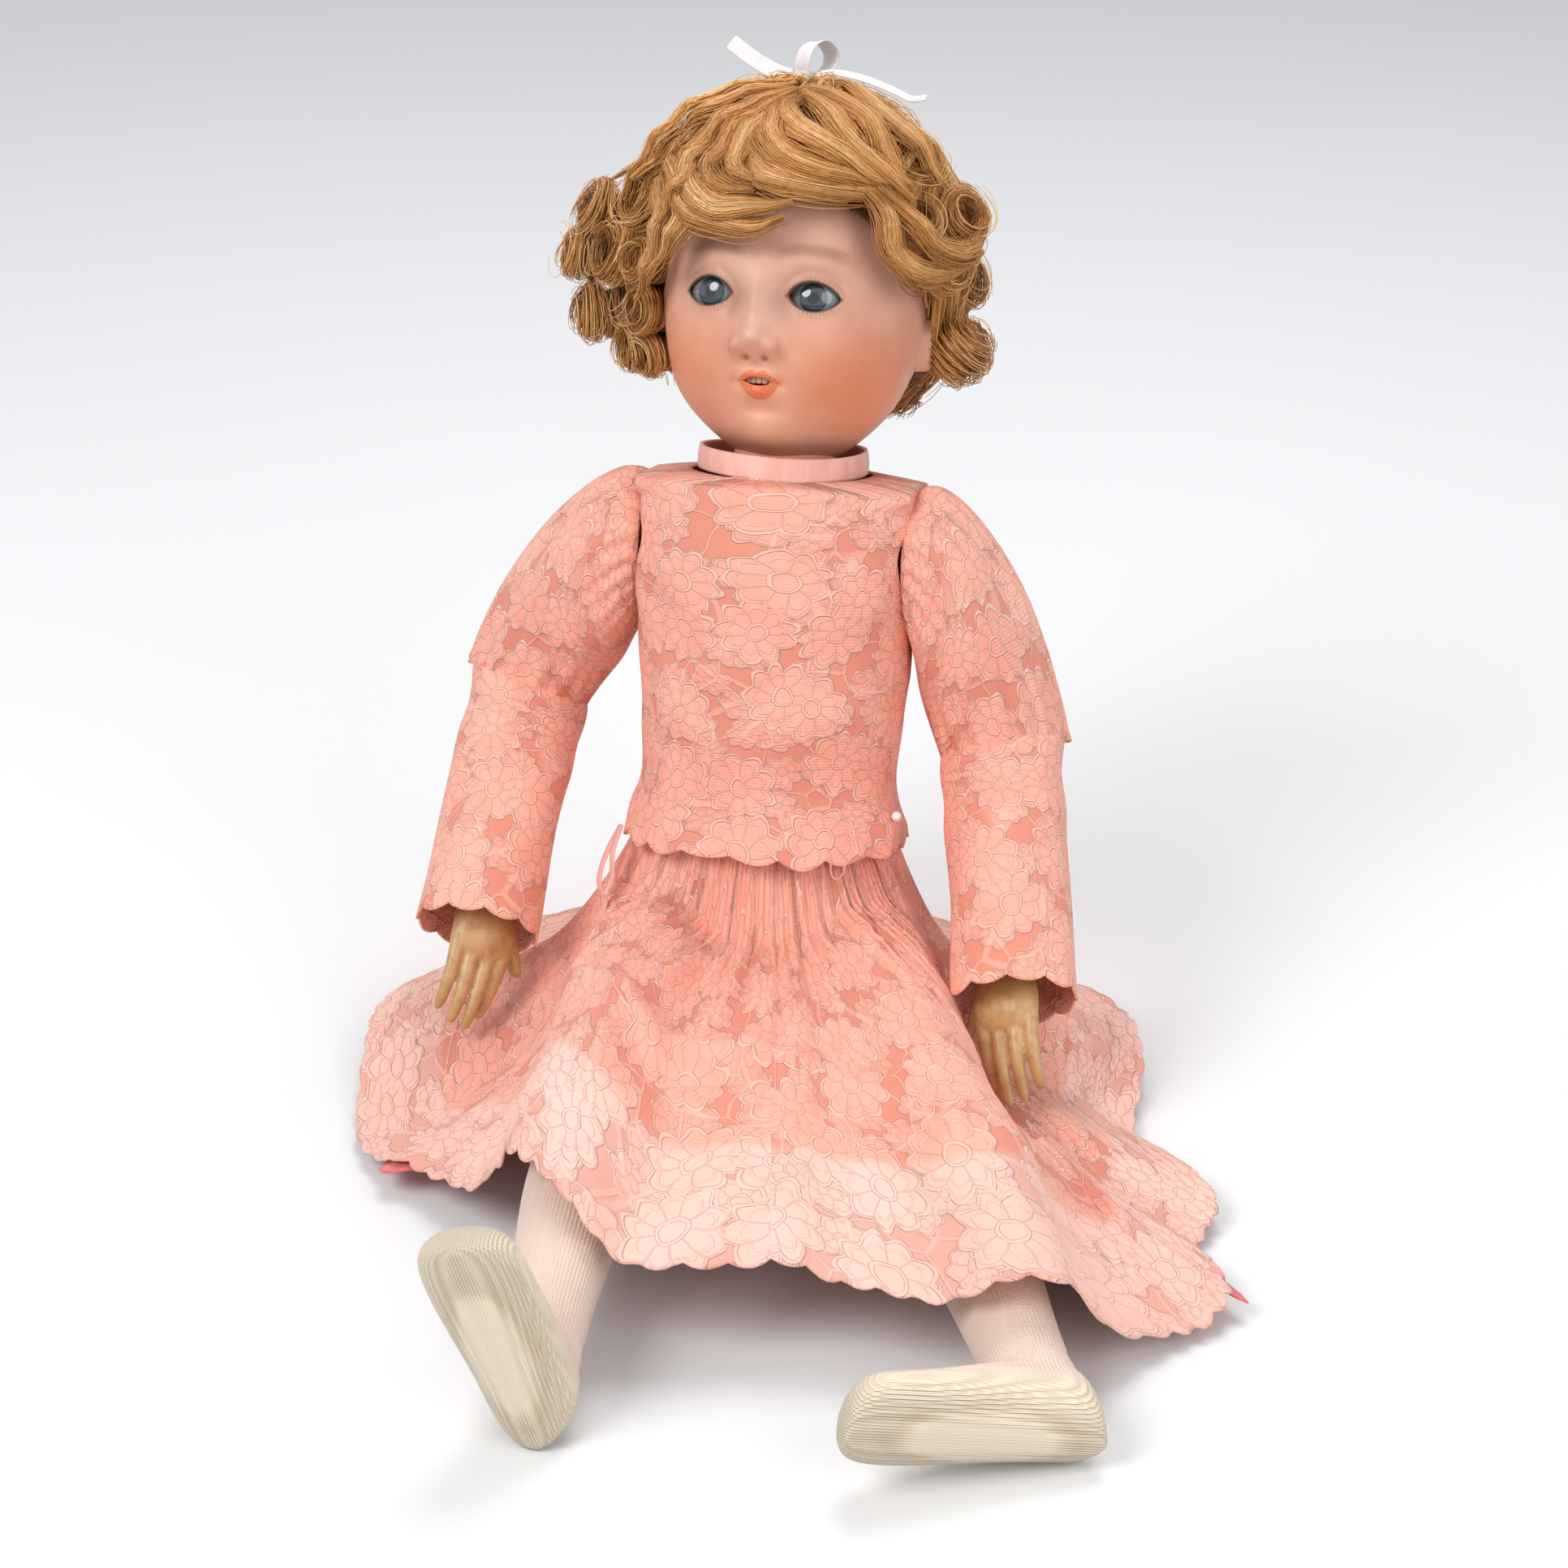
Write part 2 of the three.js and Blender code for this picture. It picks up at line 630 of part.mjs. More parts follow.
// The solid that fills the head out to a height over its skin, from the crown down to an edge
function capOver(lift, edgeAt, columns = 18, rows = 5) {
  const level = (t) => Array.from({ length: columns }, (_, i) => {
    const around = (2 * Math.PI * i) / columns;
    const lifted = typeof lift === 'function' ? lift(around, t) : lift;
    return headPoint(around, t * edgeAt(around), lifted, true);
  });
  return toSolid(skin(steps(0.05, 1, rows).map(level)));
}

const capInner = pateLift + pateThickness + gap;
const capOuter = capInner + capThickness;

function buildCrown() {
  const dome = headSkin(16, 11, pateLift + pateThickness, true).subtract(headSkin(16, 11, pateLift, true));
  const overlap = 3;
  const belowRim = toSolid(new THREE.BoxGeometry(200, 200, 200).translate(0, 0, -100)
    .rotateX(radians(-crownCutSlope)).translate(0, 0, crownCut - overlap));
  head.add(mesh('pate', dome.subtract(belowRim), finishes.card));
  const cap = capOver(capOuter, capEdge).subtract(headSkin(16, 11, capInner, true)).subtract(earRoom());
  head.add(mesh('wig_cap', cap, finishes.gauze));
}

// How far down from the crown the hair reaches, by direction from the face
function hairline(around) {
  const back = (1 - Math.cos(around)) / 2;
  return lerp(0.98, 2.2, smoothstep(back, 0.02, 0.85));
}

const capEdge = (around) => hairline(around) - 0.22;
const earRoom = () => box(V(-headHalfWidth - 6, -6, 0), V(headHalfWidth + 6, 13, eyeHeight + 4))
  .subtract(box(V(-headHalfWidth + 7, -7, -1), V(headHalfWidth - 7, 14, eyeHeight + 5)));

const hairOuter = (around, t) => capOuter + hairThickness * Math.sin(Math.PI * clamp(0.3 + 0.62 * t, 0, 0.93))
  + hairWaveDepth * Math.sin(9 * t + 2 * Math.sin(2 * around)) * t;

function buildHair() {
  const matThickness = 3;
  const capRoom = capOver(capOuter + 2 * gap, capEdge);
  const crown = capOver(hairOuter, hairline, 17, 7).subtract(capRoom.add(capRoom.translate([0, 0, -2 * gap])))
    .subtract(headSkin(16, 11, capInner + gap, true)).subtract(earRoom());
  head.add(mesh('wig_crown', crown, finishes.hair));
  const grown = (lift, edge, columns = 17, rows = 7) => capOver(
    (around, t) => hairOuter(around, t) + lift,
    (around) => hairline(around) + edge,
    columns,
    rows,
  );
  const under = grown(2 * gap, 0.03);
  const mat = grown(2 * gap + matThickness, -0.05, 14, 5);
  for (const [name, side] of Object.entries(sides)) {
    const beside = [side * 22, side * 90];
    let curls = mat.intersect(box(V(Math.min(...beside), -34, 0), V(Math.max(...beside), 44, headMiddle + 36)));
    for (const { at: [x, y, z], radius } of curlPlan[name]) {
      const away = V(x, y, z).sub(V(0, headBack, headMiddle)).normalize();
      const ringlet = new THREE.TorusGeometry(radius, radius * 0.72, 4, 6);
      ringlet.applyQuaternion(new THREE.Quaternion().setFromUnitVectors(axisZ, away));
      curls = curls.add(toSolid(ringlet.translate(x, y, z)));
    }
    const free = curls.subtract(under).subtract(headSkin(16, 11, capInner + gap, true)).subtract(earRoom());
    head.add(mesh(`wig_curls_${name}`, free, finishes.hair));
  }
}

// Each side's curls: their places and sizes
const curlPlan = {
  right: [
    { at: [-47, -24, 90], radius: 8 },
    { at: [-60, -2, 95], radius: 9 },
    { at: [-67, 2, 74], radius: 9 },
    { at: [-56, -16, 66], radius: 8.5 },
    { at: [-62, 4, 50], radius: 9 },
    { at: [-50, -8, 42], radius: 7.5 },
  ],
  left: [
    { at: [40, -19, 107], radius: 7.5 },
    { at: [54, -4, 90], radius: 7.5 },
    { at: [50, -16, 76], radius: 7.5 },
    { at: [52, 16, 54], radius: 7.5 },
    { at: [32, 34, 38], radius: 7.5 },
  ],
};

// Eyes and the rocker that carries them

function buildEyes() {
  for (const [name, side] of Object.entries(sides)) {
    const ball = sphere(eyeRadius, V(side * eyeHalfSpacing, 0, 0), 12, 7);
    eyes.add(mesh(`glass_eye_${name}`, ball, finishes.glass));
  }
  const barBack = eyeRadius + rockerRadius + gap;
  const stemEnd = V(0, barBack, -weightDrop + weightRadius + gap);
  const bar = rod(V(-eyeHalfSpacing - 4, barBack, 0), V(eyeHalfSpacing + 4, barBack, 0), rockerRadius);
  const stem = rod(V(0, barBack, 0), stemEnd, rockerRadius);
  eyes.add(mesh('eye_rocker', bar.add(stem), finishes.wire));
  const weight = lathe([[0, -weightRadius], [weightRadius * 0.8, -weightRadius], [weightRadius, -weightRadius * 0.7],
    [weightRadius, weightRadius * 0.8], [0, weightRadius]], 10);
  eyes.add(mesh('eye_weight', weight.translate(0, barBack, -weightDrop), finishes.lead));
}

function buildHeadInside() {
  const inside = headSkin(15, 10, -headWall - 0.6 - gap, false);
  for (const [name, side] of Object.entries(sides)) {
    const from = V(side * (eyeHalfSpacing + 4), -eyeBack + 3, eyeHeight);
    let pad = rod(from, V(side * (headHalfWidth + 5), -eyeBack + 3, eyeHeight), 7, 9).intersect(inside);
    pad = pad.subtract(cupFor(eyeRadius, V(side * eyeHalfSpacing, -eyeBack, eyeHeight)));
    pad = pad.subtract(rod(V(0, -eyeBack + eyeRadius + rockerRadius + gap, eyeHeight),
      V(side * 60, -eyeBack + eyeRadius + rockerRadius + gap, eyeHeight), rockerRadius + 0.5));
    head.add(mesh(`plaster_pad_${name}`, pad, finishes.plaster));
  }
  const weightFront = -eyeBack + eyeRadius + rockerRadius + gap - weightRadius - gap;
  const bumperMiddle = eyeHeight - weightDrop - 5.5;
  const bumper = box(V(-5, -headHalfDepth, bumperMiddle - 4), V(5, weightFront, bumperMiddle + 4));
  head.add(mesh('eye_bumper', bumper.intersect(inside), finishes.cork));
  const teethTop = mouthHeight + mouthOpening / 2 + 1.4;
  const teethBack = -headHalfDepth + headWall + 11;
  const strip = box(V(-4.2, -headHalfDepth, teethTop - 3), V(4.2, teethBack, teethTop)).intersect(inside);
  head.add(mesh('upper_teeth', strip, finishes.teeth));
}

// Ribbon: one loop, two tails and the knot, tied on top of the hair

// A ribbon's length bent in one plane, then tilted about its start
function strip(points, width, tilt) {
  const curve = new THREE.CatmullRomCurve3(points.map(([x, z]) => V(x, 0, z)), false, 'centripetal');
  const rings = steps(0, 1, points.length - 1).map((t) => {
    const at = curve.getPoint(t);
    const up = curve.getTangent(t).cross(V(0, 1, 0)).multiplyScalar(-ribbonThickness / 2);
    return [[1, 1], [-1, 1], [-1, -1], [1, -1]].map(([across, side]) => at.clone()
      .add(V(0, across * width / 2, 0)).addScaledVector(up, side).applyAxisAngle(axisX, radians(tilt)));
  });
  return toSolid(skin(rings));
}

function buildRibbon() {
  const top = headPoint(0, 0, hairOuter(0, 0) + gap, true);
  const knotRadius = 3.4;
  const knot = sphere(knotRadius, V(0, 0, 0), 7, 5);
  const loop = strip([[0, 0], [0, 7.4], [5, 13.8], [10.6, 11.4], [9.4, 5], [1, 0.8]], ribbonWidth, 0);
  const leftTail = strip([[0, 0], [-9, 1.4], [-17, 4.4], [-24, 9.4]], ribbonWidth, 26);
  const rightTail = strip([[0, 0], [12, 0.9], [24, -1.6], [37, -5.6]], ribbonWidth * 0.45, 42);
  const bow = knot.add(loop).add(leftTail).add(rightTail);
  head.add(mesh('ribbon_bow', bow.translate(top.x, top.y, top.z + knotRadius + gap), finishes.satin));
}

// Limbs

// A turned ball, bored from its middle towards each given direction, hollow where it houses a hook
function boredBall(radius, directions, hollow = false) {
  let ball = sphere(radius, V(0, 0, 0), 10, 6);
  if (hollow) ball = ball.subtract(sphere(hookRoom, V(0, 0, 0), 6, 4));
  for (const direction of directions) {
    const out = direction.clone().normalize().multiplyScalar(radius + 2);
    ball = ball.subtract(rod(V(0, 0, 0), out, boreRadius, 6));
  }
  return ball;
}

// What a slanted end cut takes off: all above a height, the cut running lower towards one side
function slantCut(height, degrees, towards) {
  const far = 90;
  const axis = V(-towards.y, towards.x, 0).normalize();
  const block = new THREE.BoxGeometry(far, far, far).translate(0, 0, far / 2);
  block.applyQuaternion(new THREE.Quaternion().setFromAxisAngle(axis, radians(degrees)));
  return toSolid(block.translate(0, 0, height));
}

// A turned tube hung from the origin along -Z, with slanted ends, cupped at both and bored through
function limb({ profile, length, topBall, bottomBall, top, bottom }) {
  const stations = profile.map(([at, radius]) => ({ at, radius }));
  const outline = steps(0, length, 4).map((z) => [stationsAt(stations, clamp(z, stations[0].at, length)).radius, -z]);
  let tube = toSolid(lathe([[0, -length], ...outline.reverse(), [0, 0]], 11));
  tube = tube.subtract(slantCut(-top.at, top.slant, top.towards));
  tube = tube.subtract(slantCut(-bottom.at, bottom.slant, bottom.towards).mirror([0, 0, 1]).translate([0, 0, -length]));
  tube = tube.subtract(cupFor(topBall));
  tube = tube.subtract(cupFor(bottomBall, V(0, 0, -length)));
  return tube.subtract(rod(V(0, 0, 5), V(0, 0, -length - 5), boreRadius, 6));
}

// The wire hook whose ring lies at the origin, with its stem running down into the limb
function hookWire(depth) {
  const eye = toSolid(new THREE.TorusGeometry(hookRadius, wireRadius * 0.8, 4, 8).rotateX(Math.PI / 2));
  return eye.add(rod(V(0, 0, -hookRadius), V(0, 0, -depth), wireRadius * 0.8, 5));
}

function finger(x, length, radius, curl, start) {
  const rings = steps(0, 1, 2).map((t) => {
    const bend = curl * t * t;
    const r = radius * (t < 1 ? 1 - 0.25 * t : 0.45);
    return oval(5, -start - length * t * (1 - 0.12 * curl * t / 8), r, r * 0.95, x * (1 - 0.12 * t), bend).reverse();
  });
  return toSolid(skin(rings));
}

function handSolid(side) {
  const palm = [[5, 5.6, 5.2], [9, 6.6, 5.4], [16, 10, 5.2], [25, 12.5, 5], [34, 10.8, 3.6]];
  const rings = palm.map(([z, w, d]) => oval(8, -z, w, d, 0, 0.5).reverse());
  let hand = toSolid(skin(rings)).add(sphere(wristBallRadius, V(0, 0, 0), 8, 6));
  const start = 31;
  const reach = handLength - start;
  for (const [x, share, curl] of [[-9, 0.85, 9], [-3, 0.97, 8], [3, 1, 8], [8.6, 0.8, 10]]) {
    hand = hand.add(finger(-side * x, reach * share, 3, curl, start));
  }
  const thumb = skin(steps(0, 1, 2).map((t) => oval(5, 0, 3.6 - 1.4 * t, 3.6 - 1.2 * t).reverse().map((p) => p
    .add(V(-side * (5.8 + 10 * t), 2 + 1.5 * t, -16 - 20 * t)))));
  hand = hand.add(toSolid(thumb));
  hand = hand.subtract(sphere(hookRoom, V(0, 0, 0), 6, 4));
  hand = hand.subtract(rod(V(0, 0, 0), V(0, 0, wristBallRadius + 2), boreRadius + 0.6, 6));
  return hand.subtract(rod(V(0, 0, 0), V(0, 0, -14), wireRadius + gap, 6));
}

// The way an elbow bends, seen from its upper arm
const hingeFront = ({ side, pose }) => V(0, -1, 0).applyAxisAngle(axisZ, radians(-side * pose.roll));
const elbowSlant = 42;
const kneeSlant = 42;

function buildArm(arm) {
  const { name, side, shoulder, upper, elbow, fore, wrist } = arm;
  const down = V(0, 0, -1);
  const inward = carried(V(0, shoulderBack, shoulderHeight), torso, shoulder);
  const alongUpper = carried(down, upper, shoulder);
  shoulder.add(mesh(`shoulder_ball_${name}`, boredBall(shoulderBallRadius, [inward, alongUpper]), finishes.wood));
  const upperShape = limb({
    profile: [[2.5, upperArmRadius - 0.5], [16, upperArmRadius], [42, upperArmRadius - 1.5],
      [upperArmLength, elbowRimRadius]],
    length: upperArmLength,
    topBall: shoulderBallRadius,
    bottomBall: elbowBallRadius,
    top: { at: 2.5, slant: 38, towards: V(-side, 0, 0) },
    bottom: { at: 7, slant: elbowSlant, towards: hingeFront(arm) },
  });
  upper.add(mesh(`upper_arm_${name}`, upperShape, finishes.wood));
  const end = 2.4;
  const upperCord = cord([V(0, 0, -end), V(0, 0, -upperArmLength + end)], elasticRadius);
  upper.add(mesh(`arm_elastic_upper_${name}`, upperCord, finishes.elastic));
  const backUp = carried(V(0, 0, 0), upper, elbow);
  elbow.add(mesh(`elbow_ball_${name}`, boredBall(elbowBallRadius, [backUp, down]), finishes.wood));
  const foreShape = limb({
    profile: [[5.5, elbowRimRadius - 0.8], [20, forearmRadius], [45, forearmRadius - 1.8],
      [forearmLength, wristRimRadius]],
    length: forearmLength,
    topBall: elbowBallRadius,
    bottomBall: wristBallRadius,
    top: { at: 8, slant: 0, towards: V(0, 1, 0) },
    bottom: { at: 4, slant: 0, towards: V(0, 1, 0) },
  });
  fore.add(mesh(`forearm_${name}`, foreShape, finishes.wood));
  const hookTop = hookRadius + wireRadius + gap;
  const foreCord = cord([V(0, 0, -end), V(0, 0, -forearmLength + hookTop)], elasticRadius);
  fore.add(mesh(`arm_elastic_fore_${name}`, foreCord, finishes.elastic));
  wrist.add(mesh(`hand_${name}`, handSolid(side), finishes.agedHand));
  wrist.add(mesh(`hand_hook_${name}`, hookWire(12), finishes.wire));
}

// The lower leg and foot, grown by an amount for the stocking round it
function shinAndFoot(grow) {
  const legRings = [[5.5, kneeRimRadius - 1], [24, calfRadius], [44, calfRadius], [80, ankleRadius + 1.4],
    [104, ankleRadius], [shinLength - 6, ankleRadius + 0.6]];
  const stations = legRings.map(([at, radius]) => ({ at, radius, back: 0 }));
  const rings = steps(2, shinLength - 6, 4).map((z) => {
    const { radius } = stationsAt(stations, Math.max(z, stations[0].at));
    const calf = 2.4 * Math.exp(-(((z - 34) / 22) ** 2));
    return oval(8, -z, radius + grow, radius + grow, 0, calf).reverse();
  });
  const sole = -shinLength;
  const footRings = steps(0, 1, 5).map((t) => {
    const y = lerp(heelBack, heelBack - footLength, t);
    const ends = Math.sqrt(Math.max(1 - ((2 * t - 1) ** 2) ** 2, 0.05));
    const width = lerp(footHalfWidth * 0.78, footHalfWidth, smoothstep(t, 0.2, 0.75)) * ends + grow;
    const rise = lerp(25, 13, smoothstep(t, 0.15, 0.85)) * lerp(0.75, 1, ends);
    const stretch = y + grow * (1 - 2 * t);
    return ring(8, (angle) => {
      const high = Math.sin(angle) > 0 ? rise + grow : rise * 0.5 + grow;
      const place = rise * 0.5 + Math.sin(angle) * (Math.sin(angle) > 0 ? high * 0.55 : high);
      return V(width * Math.cos(angle), stretch, sole + Math.max(place, -grow));
    });
  });
  return toSolid(skin(rings)).add(toSolid(skin(footRings)));
}

function buildLeg(leg) {
  const { name, hip, upper, knee, lower } = leg;
  const down = V(0, 0, -1);
  const toHook = carried(hookBottom(), torso, hip);
  const alongThigh = carried(down, upper, hip);
  hip.add(mesh(`hip_ball_${name}`, boredBall(hipBallRadius, [toHook, alongThigh]), finishes.wood));
  const thighShape = limb({
    profile: [[5, thighRadius - 1], [24, thighRadius], [60, thighRadius - 2], [thighLength, kneeRimRadius]],
    length: thighLength,
    topBall: hipBallRadius,
    bottomBall: kneeBallRadius,
    top: { at: 6.5, slant: 0, towards: V(0, 1, 0) },
    bottom: { at: 8, slant: kneeSlant, towards: V(0, 1, 0) },
  });
  upper.add(mesh(`thigh_${name}`, thighShape, finishes.wood));
  const end = 2.4;
  const hookTop = hookRadius + wireRadius + gap;
  const elastic = cord([V(0, 0, -end), V(0, 0, -thighLength + hookTop)], elasticRadius);
  upper.add(mesh(`leg_elastic_${name}`, elastic, finishes.elastic));
  const backUp = carried(V(0, 0, 0), upper, knee);
  knee.add(mesh(`knee_ball_${name}`, boredBall(kneeBallRadius, [backUp, down], true), finishes.wood));
  const shape = shinAndFoot(0);
  let inner = shape.subtract(slantCut(-9, 0, V(0, 1, 0)));
  inner = inner.subtract(cupFor(kneeBallRadius));
  inner = inner.subtract(rod(V(0, 0, 0), V(0, 0, -32), wireRadius + gap, 6));
  lower.add(mesh(`lower_leg_${name}`, inner, finishes.composition));
  lower.add(mesh(`leg_hook_${name}`, hookWire(30), finishes.wire));
  const above = box(V(-60, -90, -stockingTop), V(60, 60, 60));
  const stocking = shinAndFoot(gap + stockingThickness).subtract(shinAndFoot(gap)).subtract(above);
  lower.add(mesh(`stocking_${name}`, stocking, finishes.knit));
}

// Dress

// A cloth wall made of rings on its outside and the same rings drawn in by its thickness
function clothWall(outer, inner) {
  return toSolid(skin([...outer, ...inner.reverse()], { loop: true, turnAt: outer.length }));
}

function buildBodice() {
  const ease = 3;
  const shoulderTop = shoulderHeight + armholeRadius + 3;
  const stations = [
    { at: peplumHeight, width: waistHalfWidth + 16, depth: waistHalfDepth + 15, middle: -1 },
    { at: waistHeight, width: waistHalfWidth + 9, depth: waistHalfDepth + 9, middle: -1 },
    { at: 118, width: chestHalfWidth + 5, depth: chestHalfDepth + 7, middle: -1 },
    { at: 150, width: armholeHalf + 0.8, depth: chestHalfDepth + ease + 2, middle: 0 },
    { at: shoulderHeight, width: armholeHalf + 1.4, depth: chestHalfDepth + ease, middle: 1 },
    { at: shoulderTop - 8, width: armholeHalf + 1, depth: chestHalfDepth - 1, middle: 1 },
    { at: shoulderTop, width: armholeHalf - 2, depth: collarRadius, middle: 1 },
    { at: collarBase - gap, width: collarRadius + 3, depth: collarRadius + 1.5, middle: 0 },
  ];
  const section = (inset) => steps(peplumHeight, collarBase - gap, 7).map((z) => {
    const at = stationsAt(stations, z);
    const square = smoothstep(z, 140, shoulderHeight) * (1 - smoothstep(z, shoulderTop - 2, collarBase));
    return ring(16, (angle) => {
      const power = lerp(1, 0.72, square);
      const [c, s] = [Math.cos(angle), Math.sin(angle)];
      return V(
        (at.width - inset) * Math.sign(c) * Math.abs(c) ** power,
        at.middle + (at.depth - inset) * Math.sign(s) * Math.abs(s) ** power,
        z,
      );
    });
  });
  let bodice = clothWall(section(0), section(clothThickness));
  for (const side of Object.values(sides)) {
    const from = V(side * (armFaceHalf - 14), shoulderBack, shoulderHeight);
    const to = V(side * 2 * armholeHalf, shoulderBack, shoulderHeight);
    bodice = bodice.subtract(rod(from, to, armholeRadius - clothThickness / 2, 14));
    const beyond = [side * armholeHalf, side * 2 * armholeHalf];
    bodice = bodice.subtract(box(
      V(Math.min(...beyond), -2 * chestHalfWidth, waistHeight + 8),
      V(Math.max(...beyond), 2 * chestHalfWidth, collarBase + collarHeight),
    ));
  }
  torso.add(mesh('bodice', bodice, finishes.lace));
  const collarTop = collarBase + collarHeight;
  const outside = collarRadius + clothThickness;
  const band = lathe([
    [collarRadius, collarBase], [outside, collarBase], [outside - collarTaper, collarTop],
    [collarRadius - collarTaper, collarTop], [collarRadius, collarBase],
  ], 18);
  torso.add(mesh('collar_band', band, finishes.collar));
}

// How far the elbow seam slants, as a shift along the sleeve for a place in front of its middle
const seamSlant = (pose) => Math.tan(radians(pose.bend / 2));

function upperSleeve(arm) {
  const { side, pose, upper, shoulder } = arm;
  const along = carried(V(0, 0, -1), upper, shoulder);
  const out = carried(V(side, 0, 0), upper, shoulder);
  const front = carried(V(-side * Math.sin(radians(pose.roll)), -Math.cos(radians(pose.roll)), 0), upper, shoulder);
  const start = side * (armholeHalf + gap - shoulderHalf);
  const end = along.clone().multiplyScalar(upperArmLength - clothGap / 2);
  const ends = [1, -1].map((way) => end.clone().addScaledVector(out, way * sleeveEndRadius));
  const top = new THREE.CubicBezierCurve3(
    V(start, 0, armholeRadius), V(start + side * 20, 0, armholeRadius + 13),
    ends[0].clone().addScaledVector(along, -30).addScaledVector(out, 7), ends[0],
  );
  const bottom = new THREE.CubicBezierCurve3(
    V(start, 0, -armholeRadius), V(start + side * 2, 0, -armholeRadius - 10),
    ends[1].clone().addScaledVector(along, -24), ends[1],
  );
  const wall = (inset) => steps(0, 1, 5).map((t) => {
    const [a, b] = [top.getPoint(t), bottom.getPoint(t)];
    const middle = a.clone().add(b).divideScalar(2);
    const half = a.clone().sub(b).divideScalar(2);
    half.setLength(half.length() - inset);
    const depth = lerp(armholeRadius, sleeveEndRadius, t) + 6 * Math.sin(Math.PI * t ** 0.8) - inset;
    const points = ring(12, (angle) => {
      const fold = 1 + 0.035 * Math.sin(Math.PI * t) * Math.cos(6 * angle);
      const point = middle.clone().addScaledVector(half, Math.cos(angle) * fold);
      point.y += depth * Math.sin(angle) * fold;
      const ahead = point.clone().sub(middle).dot(front);
      return point.addScaledVector(along, -ahead * seamSlant(pose) * smoothstep(t, 0.35, 1));
    });
    return side > 0 ? points : points.reverse();
  });
  return clothWall(wall(0), wall(clothThickness));
}

function lowerSleeve({ side, pose }) {
  const wall = (inset) => steps(0, 1, 4).map((t) => {
    const z = lerp(clothGap / 2, cuffReach, t);
    const radius = lerp(sleeveEndRadius, cuffRadius, t) - 1.5 * Math.sin(Math.PI * t) - inset;
    return ring(12, (angle) => {
      const ahead = -radius * Math.sin(angle);
      const slant = ahead * seamSlant(pose) * (1 - smoothstep(t, 0, 0.5));
      const scallop = t === 1 ? 1.6 * Math.abs(Math.sin(5 * angle)) : 0;
      return V(side * cuffShift * t + radius * Math.cos(angle), radius * Math.sin(angle), -z - slant - scallop);
    }).reverse();
  });
  return clothWall(wall(0), wall(clothThickness));
}

// The skirt's cloth lies over the lap, the legs and the floor: its height over any place
function legLine(leg) {
  const places = [[leg.upper, 0, thighRadius - stockingThickness], [leg.knee, 0, kneeRimRadius], [leg.lower, 34, calfRadius + 2.4],
    [leg.lower, 90, ankleRadius + 2], [leg.lower, shinLength, footHalfWidth + 4]];
  return places.map(([frame, down, radius]) => ({
    at: frame.localToWorld(V(0, 0, -down)), radius: radius + stockingThickness, thick: radius,
  }));
}

const legLines = legs.map(legLine);

// The nearest place along a leg's line, seen from above
function nearestOn(line, x, y) {
  let best;
  for (let i = 0; i < line.length - 1; i += 1) {
    const [a, b] = [line[i], line[i + 1]];
    const along = b.at.clone().sub(a.at).setZ(0);
    const t = clamp(V(x, y, 0).sub(V(a.at.x, a.at.y, 0)).dot(along) / along.lengthSq(), 0, 1);
    const at = a.at.clone().lerp(b.at, t);
    const away = Math.hypot(x - at.x, y - at.y);
    if (!best || away < best.away) {
      best = { at, away, radius: lerp(a.radius, b.radius, t), thick: lerp(a.thick, b.thick, t) };
    }
  }
  return best;
}

const lapClearance = 6;
const clothRoom = 6.6;

function overLeg(line, x, y) {
  const near = nearestOn(line, x, y);
  const radius = near.radius + lapClearance;
  const shoulder = 0.8 * radius;
  if (near.away < shoulder) return near.at.z + Math.sqrt(radius ** 2 - near.away ** 2);
  const high = near.at.z + 0.6 * radius;
  return high * Math.exp(-(near.away - shoulder) / 20);
}

// Between the legs the cloth spans from one to the other and sags
function betweenLegs(x, y) {
  const [right, left] = legLines.map((line) => nearestOn(line, x, y));
  const across = left.at.x - right.at.x;
  const t = (x - right.at.x) / across;
  if (t <= 0 || t >= 1 || y > right.at.y + 30) return 0;
  const high = lerp(right.at.z + right.radius, left.at.z + left.radius, t) + lapClearance;
  return high - 0.5 * across * t * (1 - t);
}

const waistMiddle = torso.localToWorld(V(0, -1, waistHeight - 4));

function overWaist(x, y) {
  const away = Math.hypot((x - waistMiddle.x) / (waistHalfWidth + 5), (y - waistMiddle.y) / (waistHalfDepth + 6));
  const out = Math.max((away - 1) * waistHalfDepth, 0);
  const behind = smoothstep(y, waistMiddle.y - 15, waistMiddle.y + 15);
  const leaning = waistMiddle.z - (y - waistMiddle.y) * Math.tan(radians(leanBack)) * behind;
  return leaning * Math.exp(-out / lerp(24, 13, behind));
}

// Under a resting forearm and hand the cloth lies lower: the most height it has room for there
const armLines = arms.map(({ side, fore, wrist }) => [
  [[fore, 30, cuffRadius, cuffRadius], [fore, cuffReach, cuffRadius, cuffRadius]],
  [[wrist, 10, 10, 12.5], [wrist, 25, 15, 12.5], [wrist, handLength, 15, 8.5]],
].map((places) => places.map(([frame, down, radius, thick]) => ({
  at: frame.localToWorld(V(frame === fore ? (side * cuffShift * down) / cuffReach : 0, 0, -down)), radius, thick,
}))));

function underArm(line, x, y) {
  const near = nearestOn(line, x, y);
  const radius = near.radius + 4;
  if (near.away > radius) return Infinity;
  return near.at.z - 1.35 * near.thick * Math.sqrt(1 - (near.away / radius) ** 2) - 4.5;
}

